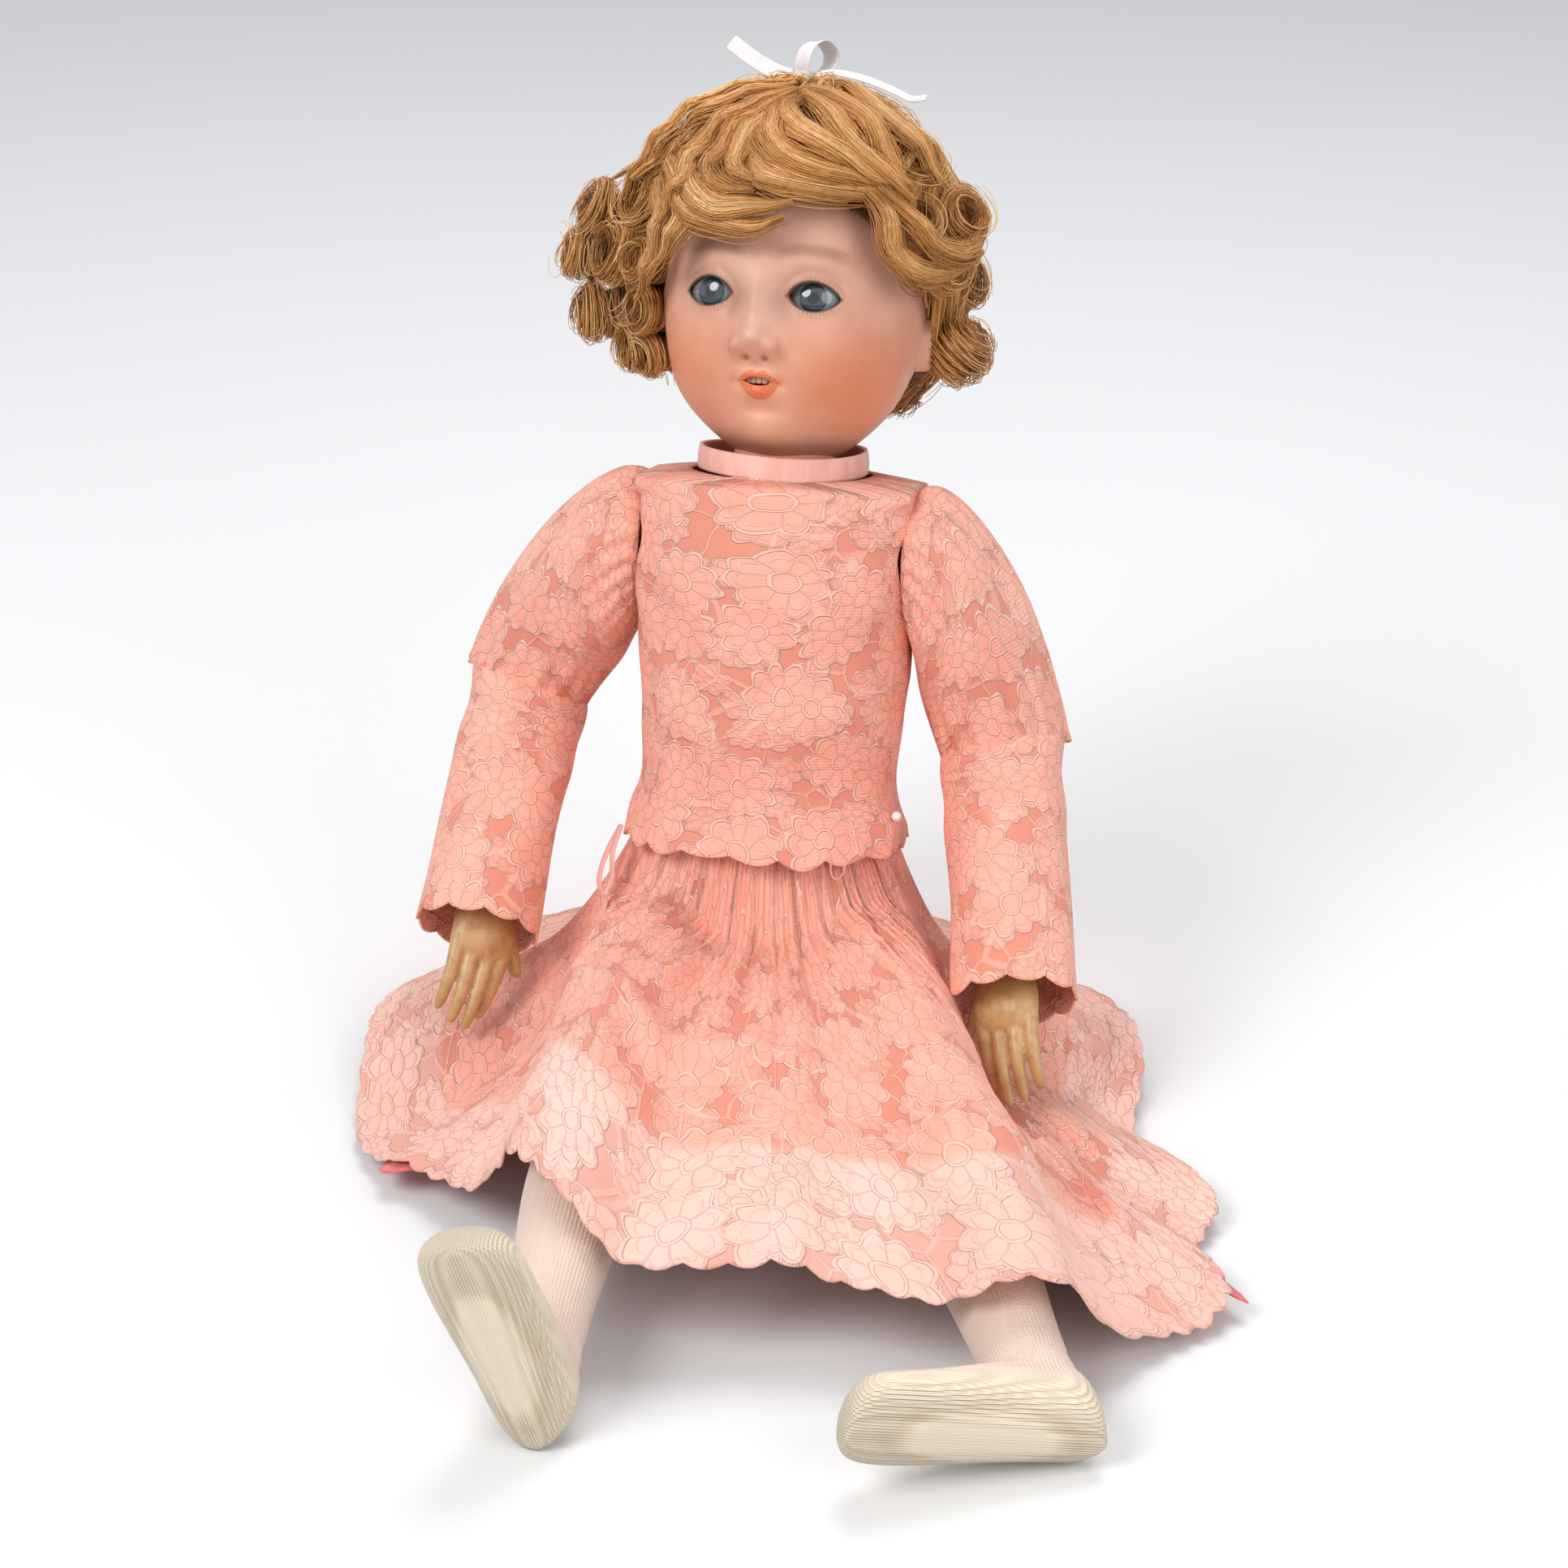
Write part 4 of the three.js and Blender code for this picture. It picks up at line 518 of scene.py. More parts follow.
@dataclass(frozen=True)
class Bisque:
    """Unglazed tinted bisque with painted cheeks, lips, brows, lashes and nostrils, and painted shade and highlight
    round the eyes and nose.
    """

    name: str
    frame: Matrix
    eye_x: float
    eye_z: float
    mouth_z: float

    def skin(self, p: Paint, at: Sock) -> Sock:
        """The bare tint, warmer towards the jaw."""
        mottle = p.noise(at, 0.05, 3).over(0.3, 0.7)
        return p.coats(tint("dba287"), (mottle, "e8b69c"), (p.part(at, 2).over(66.0, 26.0) * 0.5, "e9a07c"))

    def blush_and_shading(self, p: Paint, at: Sock, base: Sock) -> Sock:
        """Rosy cheeks and chin, with painted shade round the eyes, in their inner corners, on the nose bridge, beside
        and under the nose, and a painted highlight on the nose tip.
        """
        x, z = p.part(at, 0), p.part(at, 2)
        side = x.abs()
        wander = (p.noise(at, 0.07, 2) - 0.5) * 5.0
        out, high = side - self.eye_x, z - self.eye_z
        cheek = (side + wander).bell(31.0, 17.0) * z.bell(39.0, 18.0)
        chin = x.bell(0.0, 9.0) * z.bell(17.0, 6.0)
        # painted shade round the eyes (shade, inner), on the nose bridge (bridge), in the nose's side creases
        # (crease) and under it (under); a painted highlight on the nose tip (tip)
        shade = out.bell(0.0, 9.0) * high.bell(1.5, 7.0)
        inner = (out + 9.0).bell(0.0, 4.5) * high.bell(-2.0, 6.5)
        bridge = x.bell(0.0, 6.0) * z.bell(62.0, 6.5)
        tip = x.bell(0.0, 4.2) * z.bell(50.5, 5.0)
        crease = (side - 7.9).bell(0.0, 0.9) * z.bell(45.8, 3.2)
        under = side.bell(0.0, 6.5) * z.bell(41.8, 1.1)
        return p.coats(
            base,
            (cheek * 0.72, "e17b4c"),
            (chin * 0.25, "ee9a70"),
            (shade * 0.5, "a07062"),
            (inner * 0.42, "84604f"),
            (bridge * 0.3, "b98a74"),
            (tip * 0.4, "f0c6ae"),
            (crease.most(under) * 0.3, "b0705a"),
        )

    def eyes(self, p: Paint, at: Sock, base: Sock) -> Sock:
        """Dark rims, which are both the painted lash line and painted shade at the opening's edge, lashes, brows and
        the inner corner's dot.
        """
        side, z = p.part(at, 0).abs(), p.part(at, 2)
        out, high = side - self.eye_x, z - self.eye_z
        share = (1.0 - (out / 8.1) * (out / 8.1)).most(0.0) ** 0.8
        upper, lower = share * 4.75, share * -4.4
        # the dark rims are partly the painted lash line and partly painted shade where the lids meet the glass
        rim = (high - upper).abs().over(0.9, 0.25) * out.abs().over(9.0, 8.0)
        low_rim = (high - lower).abs().over(0.7, 0.2) * out.abs().over(9.0, 8.0)
        strokes = ((out * 5.2) + (high * 0.9)).sin().over(-0.1, 0.7)
        above = (high - upper).over(2.0, 0.4) * (high - upper).over(-0.4, 0.3) * out.abs().over(9.5, 7.5)
        below = (lower - high).over(1.9, 0.4) * (lower - high).over(-0.4, 0.2) * out.abs().over(8.0, 6.0)
        dark = rim.most(low_rim * 0.8).most(above * strokes * 0.5).most(below * strokes * 0.5)
        arc = (side - 16.0) / 12.0
        wander = (p.noise(at, 0.6, 2) - 0.5) * 0.6
        away = (z - 77.6 + arc * arc * 2.6 + wander).abs()
        brow = away.over(3.4, 0.3) * side.over(3.5, 9.0) * side.over(31.0, 21.0)
        feather = ((side * 6.5) - (z * 3.4)).sin().over(-0.4, 0.7) * 0.5 + 0.5
        corner = (out + 7.6).bell(0.0, 0.8) * high.bell(-0.4, 0.8)
        return p.coats(base, (dark * 0.85, "33211a"), (brow * feather * 0.6, "85593f"), (corner * 0.7, "c9532f"))

    def mouth(self, p: Paint, at: Sock) -> Sock:
        """How far a place is lip, from 0 to 1."""
        x, rise = p.part(at, 0) - 0.4, p.part(at, 2) - self.mouth_z
        side = x.abs()
        bow = (side.bell(2.3, 1.9) * 1.2 + 2.7) * (1.0 - (x / 7.2) * (x / 7.2)).most(0.0) ** 0.6
        upper = (rise - bow).over(0.35, -0.25) * rise.over(-0.4, 0.2)
        under = (1.0 - (x / 6.0) * (x / 6.0)).most(0.0) ** 0.6 * -5.0
        lower = (under - rise).over(0.4, -0.3) * rise.over(0.3, -0.5)
        return upper.most(lower) * side.over(7.5, 6.8)

    def material(self) -> Material:
        """Builds the material."""
        p = Paint(self.name)
        at = p.within(self.frame)
        x, y, z = (p.part(at, i) for i in range(3))
        front = y.over(0.0, -12.0)
        fine = p.noise(at, 1.1, 3)
        bare = self.skin(p, at)
        base = p.mix(front, bare, self.eyes(p, at, self.blush_and_shading(p, at, bare)))
        lips = self.mouth(p, at) * front
        base = p.mix(lips * 0.9, base, p.mix(fine.over(0.3, 0.7), tint("de6233"), tint("ec8250")))
        nostril = (x.abs() - 3.1).bell(0.0, 1.2) * (z - 43.2).bell(0.0, 0.9)
        specks = p.noise(at, 0.9, 2, 0.4).over(0.74, 0.8)
        base = p.coats(base, (nostril * front * 0.75, "a8442c"), (specks * 0.3, "a4714b"))
        return p.finish(
            Base_Color=base,
            Roughness=0.5 - lips * 0.12 + fine * 0.06,
            Coat_Weight=0.08,
            Subsurface_Weight=0.06,
            Subsurface_Radius=(0.004, 0.002, 0.001),
            Normal=p.bump(fine * 0.5 + p.noise(at, 0.2, 2), 0.08),
        )


# Mesh making


def linked(name: str, data: bpy.types.ID) -> Piece:
    """A new object of the scene, at its origin."""
    made = bpy.data.objects.new(name, data)
    bpy.context.scene.collection.objects.link(made)
    return made


def evaluated(piece: Piece) -> bpy.types.Mesh:
    """A new mesh of what a piece looks like with its modifiers."""
    return bpy.data.meshes.new_from_object(piece.evaluated_get(bpy.context.evaluated_depsgraph_get()))


def object_of(name: str, mesh: bpy.types.Mesh, material: Material | None = None) -> Piece:
    """An object with smooth faces."""
    made = linked(name, mesh)
    mesh.shade_smooth()
    if material is not None:
        mesh.materials.clear()
        mesh.materials.append(material)
    return made


def sheet_mesh(
    columns: int,
    rows: int,
    place: Place,
    size: tuple[float, float],
    closed: bool = True,
    around: bool = False,
) -> Form:
    """A grid bent into a surface, with its flat coordinates kept as the cloth map.

    Args:
        columns: faces across.
        rows: faces along.
        place: gives points in millimetres from u across and v along, both 0 to 1.
        size: width and length of the flat surface in millimetres.
        closed: welds the first column to the last, and any pole.
        around: turns the faces outwards.

    Returns:
        The bent grid.
    """
    bm = bmesh.new()
    bmesh.ops.create_grid(bm, x_segments=columns, y_segments=rows, size=0.5)
    flat = bm.loops.layers.uv.new("cloth")
    bm.verts.ensure_lookup_table()
    uv = np.array([(v.co.x + 0.5, v.co.y + 0.5) for v in bm.verts])
    for face in bm.faces:
        for loop in face.loops:
            u, v = uv[loop.vert.index]
            loop[flat].uv = (u * size[0] * MM, v * size[1] * MM)
    points = place(uv[:, 0], uv[:, 1]) * MM
    for vert, point in zip(bm.verts, points):
        vert.co = point
    if closed:
        bmesh.ops.remove_doubles(bm, verts=bm.verts, dist=1e-6)
    if around:
        bmesh.ops.recalc_face_normals(bm, faces=bm.faces)
    return bm


def placed(bm: Form, matrix: Matrix) -> Form:
    """Moves a bmesh that is in metres by a frame whose move is in millimetres."""
    in_metres = matrix.copy()
    in_metres.translation *= MM
    bmesh.ops.transform(bm, matrix=in_metres, verts=bm.verts)
    return bm


def finished(name: str, bm: Form, material: Material | None = None) -> Piece:
    """Turns a bmesh into an object, dressed where a material is given."""
    mesh = bpy.data.meshes.new(name)
    bm.to_mesh(mesh)
    bm.free()
    return object_of(name, mesh, material)


def attach(piece: Piece, body: str, slot: str, *nodes: str) -> None:
    """Sets a piece on a body.

    Args:
        piece: the piece.
        body: the body that it moves with.
        slot: its material's slot; not used.
        nodes: the frame's nodes that it stands for, if any.
    """
    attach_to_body(piece, body)
    if nodes:
        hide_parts(*nodes)
    LOG.info("%s: %d faces", piece.name, len(piece.data.polygons))


def face_out(bm: Form, outward: Callable[[bmesh.types.BMFace], float]) -> None:
    """Turns every face over where their measures of facing outwards sum below zero."""
    bm.normal_update()
    if sum(outward(face) for face in bm.faces) < 0:
        bmesh.ops.reverse_faces(bm, faces=bm.faces)


def merged(*parts: Form) -> Form:
    """Several bmeshes as one."""
    whole = parts[0]
    for part in parts[1:]:
        mesh = bpy.data.meshes.new("part")
        part.to_mesh(mesh)
        whole.from_mesh(mesh)
        part.free()
        bpy.data.meshes.remove(mesh)
    return whole


def thicken(piece: Piece, thickness: float, offset: float = -1.0) -> None:
    """Gives a sheet its thickness in millimetres."""
    wall = piece.modifiers.new("thickness", "SOLIDIFY")
    wall.thickness = thickness * MM
    wall.offset = offset


def cut(piece: Piece, *cutters: Piece) -> None:
    """Takes closed shapes out of a piece, which then are removed."""
    for cutter in cutters:
        away = piece.modifiers.new("cut", "BOOLEAN")
        away.operation = "DIFFERENCE"
        away.solver = "EXACT"
        away.object = cutter
    settle(piece)
    for cutter in cutters:
        bpy.data.objects.remove(cutter)


def settle(piece: Piece) -> None:
    """Applies a piece's modifiers to its mesh."""
    mesh, old = evaluated(piece), piece.data
    piece.modifiers.clear()
    piece.data = mesh
    mesh.name = piece.name
    bpy.data.meshes.remove(old)
    mesh.shade_smooth()


def fuse(piece: Piece, voxel: float, smooth: int) -> None:
    """Melts overlapping closed shapes into one soft skin."""
    melt = piece.modifiers.new("melt", "REMESH")
    melt.mode = "VOXEL"
    melt.voxel_size = voxel * MM
    soften = piece.modifiers.new("soften", "SMOOTH")
    soften.factor = 0.5
    soften.iterations = smooth
    settle(piece)


def strands(name: str, tress: "Tress", radius: float, material: Material) -> Piece:
    """Thin three-sided strands along many paths, thinner towards their ends.

    Args:
        name: the piece's name.
        tress: the strands' points in the head's frame, in millimetres, and their tones.
        radius: the strand's radius in millimetres.
        material: its finish, which reads each strand's tone.

    Returns:
        The strands as one mesh object.
    """
    sides = 3
    section = bpy.data.curves.new("section", "CURVE")
    ring = section.splines.new("POLY")
    ring.points.add(sides - 1)
    for i, point in enumerate(ring.points):
        turned = math.tau * i / sides
        point.co = (radius * MM * math.cos(turned), radius * MM * math.sin(turned), 0, 1)
    ring.use_cyclic_u = True
    profile = linked("section", section)
    curve = bpy.data.curves.new(name, "CURVE")
    curve.dimensions = "3D"
    curve.bevel_mode = "OBJECT"
    curve.bevel_object = profile
    tones = []
    for path, tone in zip(tress.paths, tress.tones):
        spline = curve.splines.new("POLY")
        spline.points.add(len(path) - 1)
        flat = np.ones((len(path), 4))
        flat[:, :3] = moved(BONES.head, path) * MM
        spline.points.foreach_set("co", flat.ravel())
        taper = np.sin(np.linspace(0.12, 1, len(path)) * math.pi * 0.9)
        spline.points.foreach_set("radius", 0.4 + 0.6 * taper)
        tones.append(np.repeat(tone - 0.3 + 0.3 * taper, sides))
    holder = linked(name + "_lines", curve)
    mesh = evaluated(holder)
    bpy.data.objects.remove(holder)
    bpy.data.objects.remove(profile)
    layer = mesh.attributes.new("tone", "FLOAT", "POINT")
    layer.data.foreach_set("value", np.clip(np.concatenate(tones).astype(np.float32), 0, 1))
    return object_of(name, mesh, material)


# Number helpers


def ease(x: Array, low: float, high: float) -> Array:
    """0 at low, 1 at high, smooth in between."""
    t = np.clip((x - low) / (high - low), 0, 1)
    return t * t * (3 - 2 * t)


def bell(x: Array, middle: float, width: float) -> Array:
    """1 at the middle, falling smoothly to 0 a few widths away."""
    return np.exp(-(((x - middle) / width) ** 2))


def dome(x: Array, power: float = 2) -> Array:
    """1 in the middle, closing to 0 where x reaches 1; rounder with a low power."""
    return np.sqrt(np.clip(1 - x**power, 0, 1))


def squared(x: Array, power: object) -> Array:
    """A sine or cosine raised to a power with its sign kept, which squares a circle's corners below 1."""
    return np.sign(x) * np.abs(x) ** power


def scallops(angle: Array, count: float) -> Array:
    """A scalloped edge: 0 at its points and 1 in the middle of each round."""
    return np.abs(np.sin(angle * count)) ** 0.8


def blend_of(a: object, b: object, t: object) -> object:
    """A value between two others."""
    return a + (b - a) * t


def bridge(a: object, b: object, leaving: object, arriving: object, t: object) -> object:
    """A smooth passage from a to b with a slope at each end."""
    t2, t3 = t * t, t**3
    return (2 * t3 - 3 * t2 + 1) * a + (t3 - 2 * t2 + t) * leaving + (3 * t2 - 2 * t3) * b + (t3 - t2) * arriving


def table(stations: Sequence[Sequence[float]], at: Array) -> list[Array]:
    """Smooth readings of a table whose first column is the place.

    Args:
        stations: rows of place and values.
        at: the places to read.

    Returns:
        One array for each value.
    """
    rows = np.array(stations, float)
    slopes = np.gradient(rows[:, 1:], rows[:, 0], axis=0)
    i = np.clip(np.searchsorted(rows[:, 0], at, side="right") - 1, 0, len(rows) - 2)
    span = rows[i + 1, 0] - rows[i, 0]
    t = np.clip((at - rows[i, 0]) / span, 0, 1)
    return [
        bridge(rows[i, k + 1], rows[i + 1, k + 1], slopes[i, k] * span, slopes[i + 1, k] * span, t)
        for k in range(rows.shape[1] - 1)
    ]


def stations_of(line: Sequence[Sequence[float]]) -> Array:
    """A line's points as a table, evenly spaced from 0 to 1."""
    points = np.array(line, float)
    return np.column_stack([np.linspace(0, 1, len(points)), points])


def stack(*parts: object) -> Array:
    """Points from their coordinates."""
    return np.stack(np.broadcast_arrays(*[np.asarray(p, float) for p in parts]), axis=-1)


def moved(matrix: Matrix, points: Array) -> Array:
    """Points of a frame, in the row frame."""
    m = np.array(matrix)
    return points @ m[:3, :3].T + m[:3, 3]


# The doll's frames at rest


def turn(axis: str, degrees: float) -> Matrix:
    """A turn about an axis."""
    return Matrix.Rotation(math.radians(degrees), 4, axis)


def shift(x: float, y: float, z: float) -> Matrix:
    """A move, in millimetres."""
    return Matrix.Translation((x, y, z))


class Side(Enum):
    """The doll's own right and left."""

    RIGHT = -1
    LEFT = 1

    @property
    def word(self) -> str:
        """The side's name in node names."""
        return self.name.lower()


@dataclass(frozen=True)
class ArmPose:
    """An arm's angles at rest, in degrees."""

    swing: float
    lift: float
    roll: float
    bend: float


@dataclass(frozen=True)
class LegPose:
    """A leg's angles at rest, in degrees."""

    flex: float
    spread: float
    bend: float
    twist: float


@dataclass
class Skeleton:
    """The frames of the joints at rest, in millimetres."""

    lean: float = 12
    shoulder: tuple[float, float, float] = (52, 2, 172)
    hip: tuple[float, float, float] = (32, -8, 38)
    upper_arm: float = 65
    forearm: float = 69
    thigh: float = 110
    arm_poses: dict[Side, ArmPose] = field(
        default_factory=lambda: {Side.RIGHT: ArmPose(16.5, 33, 24, 59), Side.LEFT: ArmPose(8, 21.4, 9.5, 46)}
    )
    leg_poses: dict[Side, LegPose] = field(
        default_factory=lambda: {Side.RIGHT: LegPose(80.2, -4.5, 14, -14), Side.LEFT: LegPose(74.3, 24, 5, 76)}
    )

    def __post_init__(self) -> None:
        """Works out every frame."""
        self.torso = turn("X", -self.lean)
        self.neck = self.torso @ shift(0, 0, 188) @ turn("Z", -4)
        self.head = self.neck @ turn("X", -8)
        self.eyes = self.head @ shift(0, -33, 63)
        self.arms: dict[Side, dict[str, Matrix]] = {}
        self.legs: dict[Side, dict[str, Matrix]] = {}
        for side in Side:
            way, arm, leg = side.value, self.arm_poses[side], self.leg_poses[side]
            at = self.shoulder
            swing = self.torso @ shift(way * at[0], at[1], at[2]) @ turn("X", arm.swing)
            upper = swing @ turn("Y", -way * arm.lift)
            fore = upper @ shift(0, 0, -self.upper_arm) @ turn("Z", -way * arm.roll) @ turn("X", -arm.bend)
            wrist = fore @ shift(0, 0, -self.forearm)
            self.arms[side] = {"shoulder": swing, "upper": upper, "fore": fore, "wrist": wrist}
            hip = self.torso @ shift(way * self.hip[0], self.hip[1], self.hip[2]) @ turn("X", -leg.flex)
            thigh = hip @ turn("Y", -way * leg.spread)
            knee = thigh @ shift(0, 0, -self.thigh) @ turn("X", leg.bend)
            self.legs[side] = {"hip": hip, "upper": thigh, "knee": knee, "lower": knee @ turn("Z", -way * leg.twist)}


BONES = Skeleton()


# Head


@dataclass(frozen=True)
class Feature:
    """A soft bump of the face: its place, its spread and how far it stands out."""

    x: float
    z: float
    width: float
    tall: float
    rise: float


@dataclass
class Head:
    """The socket head with its eyes, teeth and ears."""

    half_width: float = 43.5
    half_depth: float = 51
    half_height: float = 55
    chin: float = 10
    back: float = 2
    wall: float = 3.2
    jowl: float = 0.11
    eye_spacing: float = 17
    eye_height: float = 63
    eye_radius: float = 10.4
    eye_inset: float = 1.8
    eye_turn: float = 9
    ear_half_width: float = 5.8
    ear_half_height: float = 10.4
    mouth_height: float = 35.5
    crown_cut: float = 101
    crown_slope: float = 14
    eye_opening: tuple[float, float] = (15.8, 9.0)
    mouth_opening: tuple[float, float] = (9.6, 2.6)
    tooth_depth: float = 1.5
    tooth_height: float = 2.6
    neck_radius: float = 17
    neck_hole: float = 8
    neck_height: float = 27
    columns: int = 250
    rows: int = 210
    features: tuple[Feature, ...] = (
        Feature(0, 58, 4.4, 8, 2.7),
        Feature(0, 48.8, 5.0, 4.4, 7.4),
        Feature(6.3, 46.3, 2.6, 2.9, 4.0),
        Feature(3.1, 43.0, 1.3, 1.0, -2.0),
        Feature(17, 63, 9.5, 6.8, -0.6),
        Feature(9.5, 62, 4.2, 6, -2.6),
        Feature(16, 74.5, 11, 4, 1.3),
        Feature(22, 41, 12, 11, 3),
        Feature(0, 40.8, 1.2, 1.7, -0.6),
        Feature(2.5, 38.0, 2.7, 1.4, 1.9),
        Feature(0, 32.4, 4.6, 2.0, 2.3),
        Feature(0, 37, 9, 5, 1.0),
        Feature(7.6, 35.6, 1.5, 1.9, -1.4),
        Feature(0, 27.2, 6, 2.2, -1.6),
        Feature(0, 19, 8.5, 6.5, 4.4),
    )

    @property
    def middle(self) -> float:
        """The height of the head's middle over the neck joint."""
        return self.chin + self.half_height

    def relief(self, x: Array, z: Array) -> Array:
        """How far the face stands out from the plain egg."""
        total = np.zeros_like(x)
        for f in self.features:
            for middle in (0.0,) if f.x == 0 else (-f.x, f.x):
                total += f.rise * np.exp(-(((x - middle) / f.width) ** 2) - ((z - f.z) / f.tall) ** 2)
        out, high = np.abs(x) - self.eye_spacing, z - self.eye_height
        share = np.clip(1 - (out / 8.6) ** 2, 0, 1)
        upper, lower = 4.9 * share**0.8, -4.5 * share**0.8
        lid = bell(high - upper, 0.5, 0.9) + 0.7 * bell(high - lower, -0.5, 0.9)
        crease = bell(high - upper, 3.2, 0.8)
        near = ease(np.abs(out), 10.5, 7.0)
        return total + near * (0.7 * lid - 0.5 * crease)

    def point(self, around: Array, down: Array, lift: object = 0.0, smooth: bool = False) -> Array:
        """Points of the head's skin in its own frame.

        Args:
            around: direction from the face, in radians.
            down: angle from the crown, in radians.
            lift: height over the skin.
            smooth: leaves the face's relief out.

        Returns:
            The points, in millimetres.
        """
        dx, dy, dz = np.sin(down) * np.sin(around), -np.sin(down) * np.cos(around), np.cos(down)
        low = ease(-dz, 0, 1)
        x = dx * (self.half_width * (1 - 0.1 * low) + lift)
        y = dy * (self.half_depth * (1 - np.where(dy > 0, 0.36, 0.06) * low) + lift) + self.back
        z = dz * (self.half_height + lift) + self.middle
        if not smooth:
            x = x * (1 + self.jowl * bell(z, 29, 15) * ease(-dy, -0.3, 0.2))
            y = y - self.relief(x, z) * ease(-dy, 0.05, 0.45)
        return stack(x, y, z)

    def skin(self) -> Form:
        """The closed wall of the head, closer-knit over the face, cut open at the crown."""
        slope = math.radians(self.crown_slope)
        level = BONES.head @ Vector((0, 0, self.crown_cut)) * MM
        away = BONES.head.to_3x3() @ Vector((0, math.sin(slope), math.cos(slope)))

        def shell(lift: float) -> Form:
            def place(u: Array, v: Array) -> Array:
                plain = u * math.tau
                return moved(BONES.head, self.point(plain - 0.55 * np.sin(plain), v * math.pi, lift))

            bm = sheet_mesh(self.columns, self.rows, place, (270, 170), around=True)
            whole = [*bm.verts, *bm.edges, *bm.faces]
            bmesh.ops.bisect_plane(bm, geom=whole, plane_co=level, plane_no=away, clear_outer=True)
            return bm

        inner = shell(-self.wall)
        bmesh.ops.reverse_faces(inner, faces=inner.faces)
        bm = merged(shell(0.0), inner)
        bmesh.ops.bridge_loops(bm, edges=[e for e in bm.edges if e.is_boundary])
        return bm

    def almond(self, x: float, z: float, width: float, height: float) -> Piece:
        """A prism that cuts an almond-shaped opening through the front wall."""
        bm = bmesh.new()
        bmesh.ops.create_circle(bm, cap_ends=True, segments=56, radius=1)
        for vert in bm.verts:
            angle = math.atan2(vert.co.y, vert.co.x)
            share = abs(math.sin(angle)) ** 1.6
            tall = height * (0.52 if math.sin(angle) > 0 else -0.48) * share
            at = Vector((x + width / 2 * math.cos(angle), -self.half_depth - 22, z + tall))
            vert.co = BONES.head @ at * MM
        grown = bmesh.ops.extrude_face_region(bm, geom=bm.faces[:])
        inward = (BONES.head.to_3x3() @ Vector((0, 46, 0))) * MM
        bmesh.ops.translate(bm, vec=inward, verts=[g for g in grown["geom"] if isinstance(g, bmesh.types.BMVert)])
        bmesh.ops.recalc_face_normals(bm, faces=bm.faces)
        return finished("opening", bm)

    def seat(self, side: Side) -> Piece:
        """The ball that grinds an eye's seat out of the wall from behind."""
        bm = bmesh.new()
        bmesh.ops.create_uvsphere(bm, u_segments=64, v_segments=48, radius=(self.eye_radius + 0.1) * MM)
        return finished("seat", placed(bm, self.eye_frame(side)))

    def eye_frame(self, side: Side) -> Matrix:
        """Where an eye's middle lies."""
        return BONES.eyes @ shift(side.value * (self.eye_spacing - self.eye_inset), 0, 0)

    def front(self, z: float) -> float:
        """How far back the plain face lies on its middle line at a height."""
        down = math.acos((z - self.middle) / self.half_height)
        return float(self.point(np.array([0.0]), np.array([down]), 0.0, True)[0, 1])

    def ear(self, side: Side) -> Form:
        """An ear: an oval lobe with a rolled rim and a hollow in its middle."""
        way = side.value

        def place(u: Array, v: Array) -> Array:
            angle, out = u * math.tau, np.sin(v * math.pi / 2)
            wide, tall = self.ear_half_width + 0.9 * np.sin(angle), self.ear_half_height
            hollow = 2.6 * bell(out, 0, 0.5) + 4.5 * ease(out, 0.93, 1.0)
            high = 2.2 * (1 - out**6) + 1.9 * bell(out, 0.82, 0.16) - hollow
            y = wide * out * np.cos(angle) + 5.2 + 0.12 * tall * out * np.sin(angle)
            z = tall * out * np.sin(angle) + self.eye_height - 8.5
            x = way * (self.half_width - 1.4 + high - 0.12 * (y - 5.2))
            return moved(BONES.head, stack(x, y, z))

        return sheet_mesh(44, 22, place, (30, 12), around=True)

    def neck(self) -> Form:
        """The neck's ball end, seated in the body's cup."""
        radius = self.neck_radius
        start = math.asin(self.neck_hole / radius)

        def place(u: Array, v: Array) -> Array:
            angle = start + (math.pi / 2 - start) * np.clip(v * 2, 0, 1)
            rise = np.clip(v * 2 - 1, 0, 1)
            r = radius * np.sin(angle) - 0.8 * np.sin(rise * math.pi) + 1.5 * rise**2
            z = -radius * np.cos(angle) + self.neck_height * rise
            turned = u * math.tau
            return moved(BONES.head, stack(r * np.cos(turned), r * np.sin(turned), z))

        return sheet_mesh(64, 40, place, (105, 45), around=True)

    def eye(self, side: Side, material: Material) -> Piece:
        """A glass eye, its map drawn round where it looks."""
        bm = bmesh.new()
        bmesh.ops.create_uvsphere(bm, u_segments=56, v_segments=40, radius=self.eye_radius * MM)
        outwards = math.radians(self.eye_turn * side.value)
        gaze = Vector((math.sin(outwards), -math.cos(outwards), 0))
        across = Vector((math.cos(outwards), math.sin(outwards), 0))
        turned = Vector((0, 0, 1)).rotation_difference(gaze).to_matrix().to_4x4()
        bmesh.ops.transform(bm, matrix=turned, verts=bm.verts)
        layer = bm.loops.layers.uv.new("gaze")
        for face in bm.faces:
            centre = face.calc_center_median()
            base = math.atan2(centre.z, centre.dot(across))
            for loop in face.loops:
                way = loop.vert.co.normalized()
                angle = math.atan2(way.z, way.dot(across))
                if way.angle(gaze) < 1e-3 or way.angle(gaze) > math.pi - 1e-3:
                    angle = base
                angle += math.tau * round((base - angle) / math.tau)
                loop[layer].uv = (angle / math.tau, way.angle(gaze) / math.pi)
        return finished(f"glass_eye_{side.word}_polished", placed(bm, self.eye_frame(side)), material)

